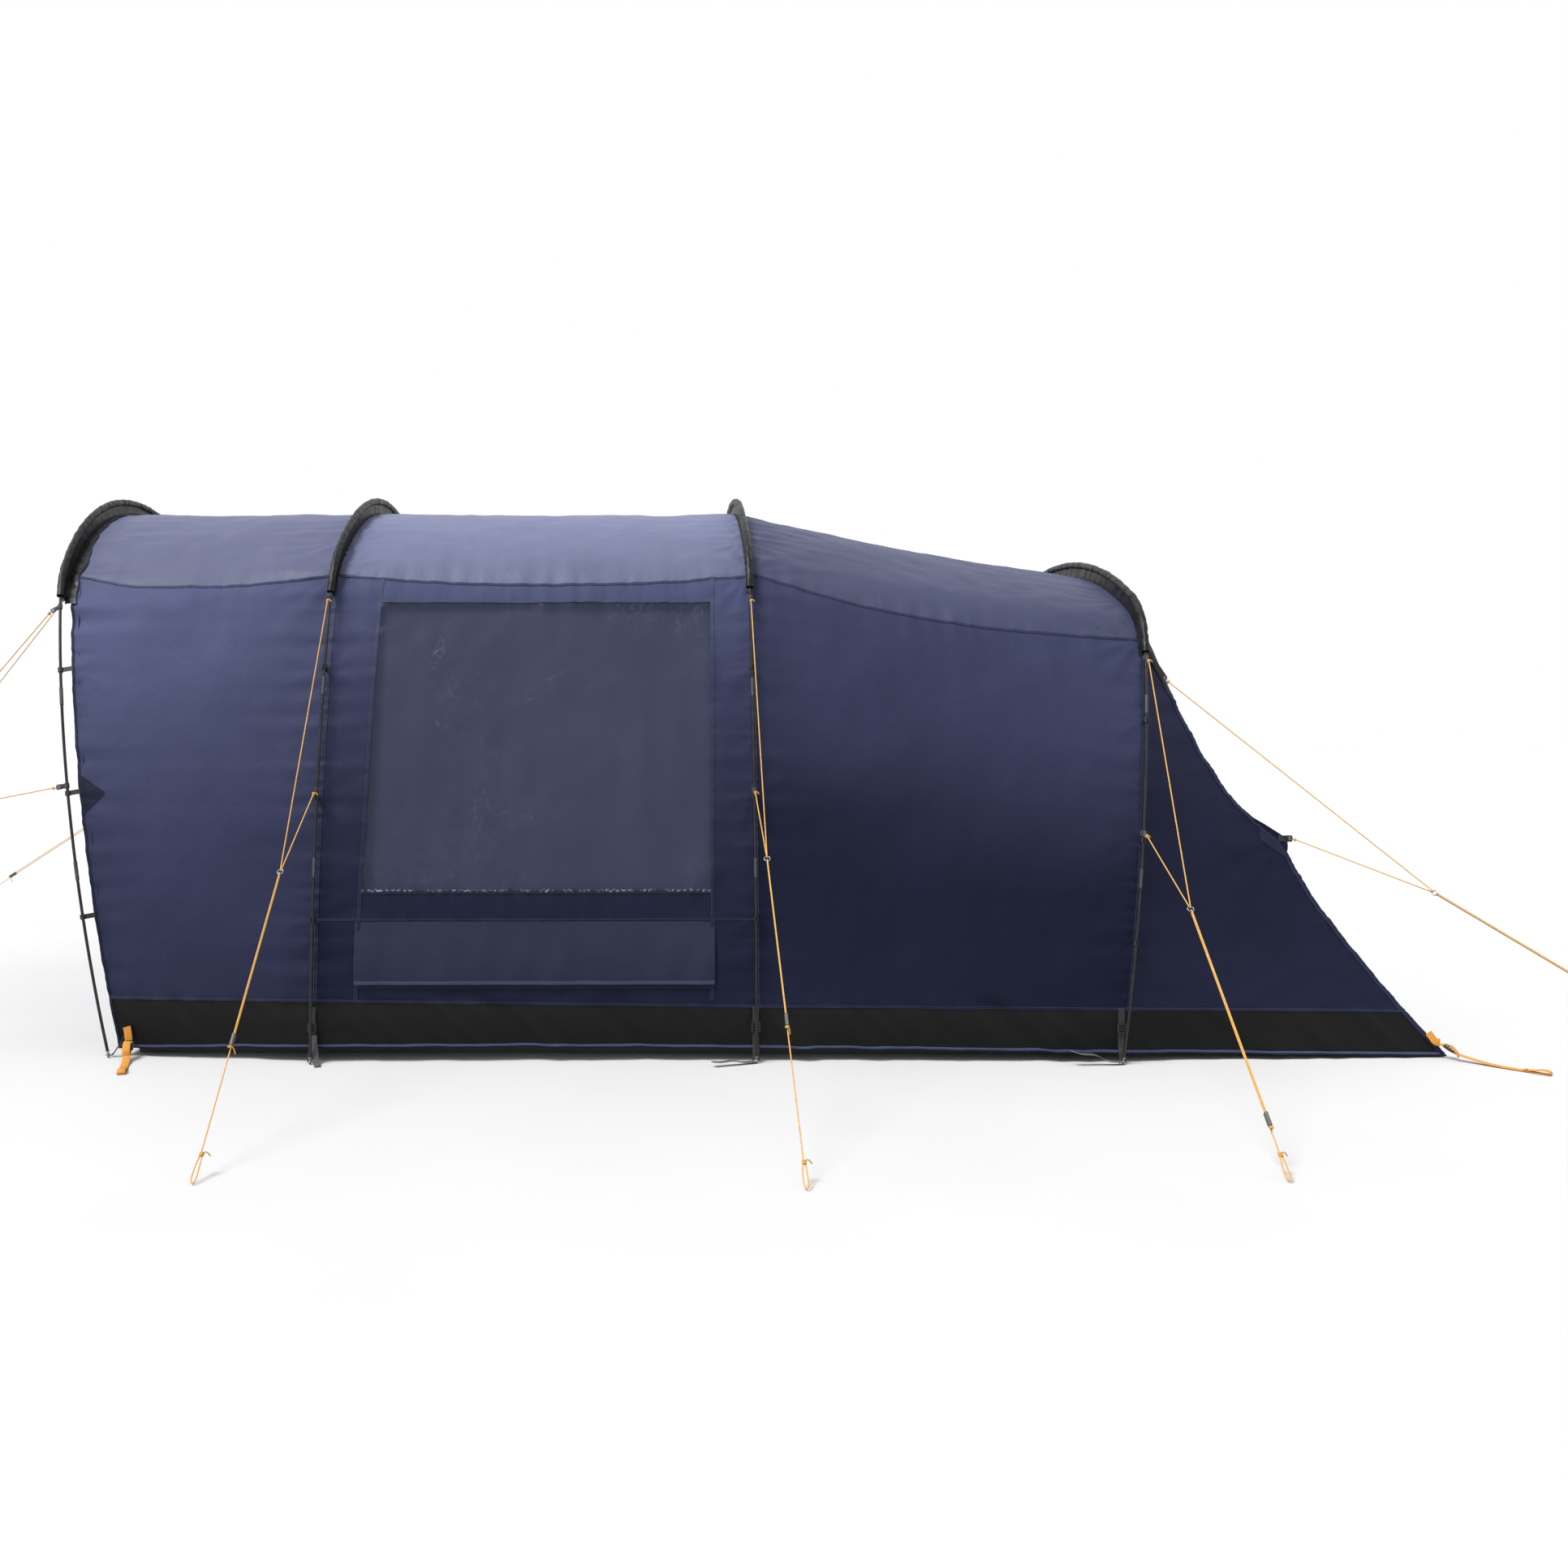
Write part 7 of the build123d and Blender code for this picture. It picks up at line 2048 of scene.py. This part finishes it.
for n in (1, 2, 3, 4):
    fx, fyy = foot_at(n)
    for sname, side in SIDES:
        cy = lambda z: float(CLOTH[n].flat(float(CLOTH[n].t_at_z(z)))[0])
        ring_y = fyy - 0.011
        if n > 1:
            top_y, low_y = cy(0.172) + 0.0036, cy(0.060) + 0.0036
            pts = [(fx, side * (top_y + 0.0002), 0.176), (fx, side * (top_y * 0.6 + low_y * 0.4), 0.140), (fx, side * low_y, 0.060), (fx, side * (low_y * 0.5 + ring_y * 0.5 + 0.001), 0.032), (fx, side * (ring_y - 0.002), 0.0125)]
            strap(f"foot_strap_{n}_{sname}", pts, (0, side, 0.05), 0.020, 0.0017, M["webbing"])
            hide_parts("foot_straps")
            # the loose tail out of the buckle
            d = {2: (0.35, 1.0), 3: (-1.0, 0.35), 4: (-1.0, 0.1)}[n]
            reach = {2: 0.062, 3: 0.128, 4: 0.150}[n]
            size = math.hypot(*d)
            dx, dyy = d[0] / size, side * d[1] / size
            up = {2: 0.010, 3: 0.014, 4: 0.044}[n]
            bx, by_ = fx + (0.016 if n == 2 else -0.014), side * (fyy + 0.003)
            z0 = 0.0045 if n != 4 else 0.007
            wob = 0.006
            pts = [
                (bx - dx * 0.012, by_ - dyy * 0.012, z0 + 0.002), (bx + dx * reach * 0.25, by_ + dyy * reach * 0.25, z0 + up * 0.10 + 0.002),
                (bx + dx * reach * 0.55 + dyy * side * wob, by_ + dyy * reach * 0.55, z0 + up * 0.50 + 0.004), (bx + dx * reach * 0.85, by_ + dyy * reach * 0.85, z0 + up * 0.70), (bx + dx * reach * 1.08, by_ + dyy * reach * 1.08, z0 + up * 0.95),
            ]
            hint = (0.0, 0.0, 1.0)
            if n == 2:
                # hangs from the buckle and turns out onto the ground, its flat side outward
                pts = [(fx + 0.006 + a, side * (top_y + b), c) for a, b, c in ((0.0, 0.0065, 0.088), (0.003, 0.0125, 0.060), (0.008, 0.0210, 0.032), (0.014, 0.0340, 0.0115), (0.021, 0.0520, 0.0042), (0.027, 0.0690, 0.0036))]
                hint = (0.0, side, 0.75)
            o = strap(f"foot_strap_tail_{n}_{sname}", pts, hint, 0.020, 0.0017, M["greyweb"])
            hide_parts("foot_straps")
        else:
            sx1 = fx + 0.045
            y1 = cy(0.060) + 0.0155
            pts = [(sx1 + 0.002, side * (y1 - 0.004), 0.066), (sx1 - 0.004, side * (y1 - 0.001), 0.048), (sx1 - 0.014, side * y1, 0.034), (fx + 0.015, side * ring_y, 0.0095)]
            o = strap(f"foot_strap_1_{sname}", pts, (-1, 0, 0.6), 0.014, 0.0016, M["webbing"])
            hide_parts("foot_straps")

CORNER = {
    "front": dict(top=(-1.7072, 1.2135, 0.100), foot=(-1.700, 1.214, 0.052), loop=(-1.640, 1.432)),
    "rear": dict(top=(2.5453, 1.2137, 0.0802), foot=(2.580, 1.222, 0.046), loop=(2.796, 1.440)),
}
for cname, spec in CORNER.items():
    for sname, side in SIDES:
        tx, ty_, tz = spec["top"]
        fx, fyy, fz = spec["foot"]
        lx, ly = spec["loop"]
        dx, dyy = lx - fx, ly - fyy
        size = math.hypot(dx, dyy)
        ux, uy = dx / size, dyy / size
        mx, my = fx + ux * 0.046, fyy + uy * 0.046
        # out over the ground and back on itself, as a loop for the peg
        out = [
            (X(fx), side * (fyy + 0.003), fz), (X(mx), side * (my + 0.003), 0.0225), (X(fx + dx * 0.45), side * (fyy + dyy * 0.45 + 0.003), 0.0062),
            (X(fx + dx * 0.72), side * (fyy + dyy * 0.72 + 0.003), 0.0030), (X(lx - ux * 0.010), side * (ly - uy * 0.010 + 0.003), 0.0024),
            (X(lx - ux * 0.003), side * (ly - uy * 0.003 + 0.003), 0.0044), (X(lx - ux * 0.004), side * (ly - uy * 0.004 + 0.003), 0.0105),
            (X(lx - ux * 0.022), side * (ly - uy * 0.022 + 0.003), 0.0135), (X(lx - ux * 0.052), side * (ly - uy * 0.052 + 0.003), 0.0078), (X(lx - ux * 0.078), side * (ly - uy * 0.078 + 0.003), 0.0058),
        ]
        path = catmull(out, 0.004)
        wide = np.array([-uy, side * ux, 0.0])
        tan = unit(np.gradient(path, axis=0))
        normal = unit(np.cross(np.broadcast_to(wide, path.shape), tan))
        normal = normal * np.sign(normal[0][2])
        o = sweep(f"corner_strap_{cname}_{sname}", path, np.broadcast_to(wide, path.shape), normal, strap_profile(0.025, 0.0019), M["orange"])
        tack = stitched_box(f"corner_tack_{cname}_{sname}", (X(lx - ux * 0.066), side * (ly - uy * 0.066 + 0.003), 0.0076), (ux, side * uy, 0), (-uy, side * ux, 0), (0.010, 0.020))
        o = join(f"corner_strap_{cname}_{sname}", [o, tack])
        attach(o, "tent")
        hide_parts("corner_straps")
        if cname == "front":
            pts = [(X(tx), side * (ty_ + 0.0026), tz), (X(tx * 0.5 + fx * 0.5), side * (ty_ * 0.5 + fyy * 0.5 + 0.0026), (tz + fz) / 2 + 0.01), (X(fx), side * (fyy + 0.0022), fz + 0.004)]
            hint = (0, side, 0.05)
        else:
            pts = [(X(tx), side * ty_, tz), (X((tx + fx - 0.017) / 2), side * (ty_ + fyy) / 2, (tz + fz + 0.008) / 2), (X(fx) - 0.017, side * fyy, fz + 0.008), (X(fx) - 0.001, side * fyy, fz + 0.0035)]
            hint = (0.09, side * 0.957, 0.276)
        o = strap(f"corner_strap_top_{cname}_{sname}", pts, hint, 0.025, 0.0019, M["orange"])
        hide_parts("corner_straps")
        # tongue of webbing out of the buckle
        a = np.array([X(fx) + ux * 0.010, side * (fyy + uy * 0.010 + 0.008), fz + 0.004])
        pts = [a, a + np.array([ux * 0.014, side * uy * 0.014 + side * 0.004, -0.004]), a + np.array([ux * 0.030, side * (uy * 0.030 + 0.006), -0.022]), a + np.array([ux * 0.036, side * (uy * 0.036 + 0.004), -0.036])]
        o = strap(f"corner_strap_tongue_{cname}_{sname}", [tuple(p) for p in pts], (ux, side * uy, 0.8), 0.024, 0.0018, M["orange"])
        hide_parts("corner_straps")


# tabs for the guy lines ------------------------------------------------------------
def tab_piece(name, base, tip, wide, width=0.018, collar=None):
    """Folded webbing tab with an eyelet; on a pole it starts from a wrap round the pole."""
    base, tip, wide = (np.asarray(v, float) for v in (base, tip, wide))
    d = unit(tip - base)
    across = unit(wide - d * np.dot(wide, d))
    nrm = np.cross(d, across)
    L = float(np.linalg.norm(tip - base))
    parts = []
    s = np.linspace(0, L, 16)
    hw = width / 2 * np.minimum(1, np.sqrt(np.clip(1 - ((s - (L - 0.004)) / 0.0045).clip(0, 1) ** 2, 0.12, 1)))
    hw = hw * (1 - 0.10 * np.exp(-((s - L * 0.3) / 0.006) ** 2))
    thick = 0.0018 + 0.0006 * np.exp(-((s - L) / 0.004) ** 2)
    prof = np.stack([np.stack([np.stack([x * hw, y * thick / 2], -1) for x, y in ((-1, -0.5), (-0.92, -1), (0.92, -1), (1, -0.5), (1, 0.5), (0.92, 1), (0.3, 1.1), (-0.3, 1.1), (-0.92, 1), (-1, 0.5))], 0)], 0)[0].transpose(1, 0, 2)
    path = base + d * s[:, None]
    parts.append(sweep(name + "_w", path, np.broadcast_to(across, path.shape), np.broadcast_to(nrm, path.shape), prof, M["webbing"]))
    c = base + d * (L - 0.008)
    a = np.linspace(0, 2 * math.pi, 21)
    ringp = c + across * (np.cos(a) * 0.0042)[:, None] + nrm * 0.0 + d * (np.sin(a) * 0.0042)[:, None]
    parts.append(tube_mesh(name + "_e", ringp, 0.00155, M["ring"], sides=8))
    parts[-1].parent = None
    if collar is not None:
        o, up = collar
        inward = d - up * np.dot(d, up)
        inward = unit(inward)
        third = np.cross(up, inward)
        a = np.linspace(0, 2 * math.pi, 33)[:-1]
        hs_ = np.linspace(-0.009, 0.009, 7)
        vv, ff, uu = [], [], []
        for r in (0.0071, 0.0052):
            for h in hs_:
                rr_ = r + 0.0004 * math.cos(h / 0.009 * 1.5)
                for t in a:
                    vv.append(o + inward * math.cos(t) * rr_ + third * math.sin(t) * rr_ + up * h)
                    uu.append((t * r, (h / 0.018) + 0.5))
        k, mh = 32, 7
        for j in range(mh - 1):
            for i in range(k):
                p, q = j * k + i, j * k + (i + 1) % k
                ff.append((p, q, q + k, p + k))
                p2, q2 = p + k * mh, q + k * mh
                ff.append((p2, p2 + k, q2 + k, q2))
        for i in range(k):
            p, q = i, (i + 1) % k
            ff.append((p, p + k * mh, q + k * mh, q))
            p, q = (mh - 1) * k + i, (mh - 1) * k + (i + 1) % k
            ff.append((p, q, q + k * mh, p + k * mh))
        parts.append(new_object(name + "_c", vv, ff, uu, np.full(len(vv), 0.5), M["webbing"], sharp=50))
    ob = join(name, parts)
    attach(ob, "tent")
    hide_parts("guy_tabs")
    return ob


TAB_Z = {"arch_1": (1, 1.492, 0.885), "arch_2": (2, 1.520, 0.872), "arch_3": (3, 1.520, 0.872), "arch_4": (4, 1.310, 0.737)}
for g in guys:
    if g.name == "crown":
        top = POLE[1].point(3 - 1e-7, 1)
        way = unit(g.loop - top)
        outd = np.array([way[2], 0, -way[0]])
        base = top + outd * 0.0143 - way * 0.004
        tab_piece("guy_tab_crown", base, g.tips[0], (0, 1, 0))
        continue
    side = -1 if g.name.endswith("left") else 1
    stem = g.name.rsplit("_", 1)[0]
    if stem == "rear":
        tab_piece(f"guy_tab_{g.name}_0", (X(1.684), side * 1.070, 1.326), g.tips[0], (0.45, 0, 0.89))
        tab_piece(f"guy_tab_{g.name}_1", (X(2.104), side * 1.1145, 0.706), g.tips[1], (-0.5, 0, 0.86), width=0.022)
        continue
    hn, zu, zl = TAB_Z[stem]
    for i, z in enumerate((zu, zl)):
        p = POLE[hn]
        t = float(p.t_at_z(z))
        o = p.point(t, side)
        _, _, e = p.flat(t)
        up = np.array([math.sin(p.lean) * math.cos(e), -side * math.sin(e), math.cos(p.lean) * math.cos(e)])
        d = g.ring - o
        way = unit(unit(d - up * np.dot(d, up)) * 0.55 + unit(d) * 0.45)
        tab_piece(f"guy_tab_{g.name}_{i}", o + way * 0.0052, g.tips[i], up, collar=(o, up))

# reinforcement where the front clips pull ------------------------------------------------
for sname, side in SIDES:
    f = np.linspace(0, 1, 12)
    h = np.linspace(0.79, 0.918, 22)
    dep = 0.062 * (1 - np.abs((h - 0.862) / np.where(h > 0.862, 0.056, 0.072)).clip(0, 1)) + 0.004
    A = front_edge(h)[None] + (f[:, None] * dep[None]) / bays[1].span + 0.004
    B = bays[1].q_at(A, h[None] + 0 * A, side)
    cloth(f"front_patch_{sname}", bays[1], A, B, M["patch"], None, off=0.0008, shade=0.4)

# gathered lower edge of the window film ----------------------------------------------------
glint = Mat("gathered film edge")
glint.set(Roughness=0.42, Specular_IOR_Level=0.22)
gob = glint.coord()
# painted glints: light specks in the colour along the gathered edge
gf = glint.math("MULTIPLY", glint.ramp(glint.noise(gob, 420.0, 2.0, 0.6), 0.50, 0.62), glint.ramp(glint.noise(gob, 21.0, 2.0), 0.42, 0.55))
glint.link(glint.mix(gf, (0.010, 0.012, 0.022, 1.0), (0.36, 0.37, 0.41, 1.0)), glint.bsdf.inputs["Base Color"])
glint.normal(glint.bump(gf, 0.6, 0.0012))
for sname, side in SIDES:
    bay = bays[2]
    u0, u1 = float(film_left(0.55)) + 0.004, float(film_right(0.55)) - 0.004
    u = np.linspace(u0, u1, 420)
    jag = Waves(900 + side, 0.012, 0.035, 1, 22)
    zz = 0.5462 + 0.0010 * jag(u * bay.span)
    strip(f"film_gather_{sname}", bay, u, bay.q_at(u, zz, side), 0.0075, glint.m, off=0.0006, shade=0.6, thick=0.0004, crown=0.0009, lift=0.0006 * jag(u * bay.span + 3))

# finish on the parts that stay from the CAD --------------------------------------------------
FINISH = {"pole_ferrules": "ferrule", "shock_cords": "elastic", "pole_clips": "clip", "pole_end_pins_and_rings": "ring", "ladder_lock_buckles": "buckle", "guy_rings": "ring", "door_zip_slider": "zip", "bedroom_zip_slider": "zip"}
for name, ob in frame["nodes"].items():
    key = FINISH.get(name) or ("runner" if name.startswith("guy_runner") else "pole" if name.startswith("pole_") and name[5:].isdigit() else None)
    if key:
        for i in range(len(ob.material_slots)):
            ob.material_slots[i].material = M[key]
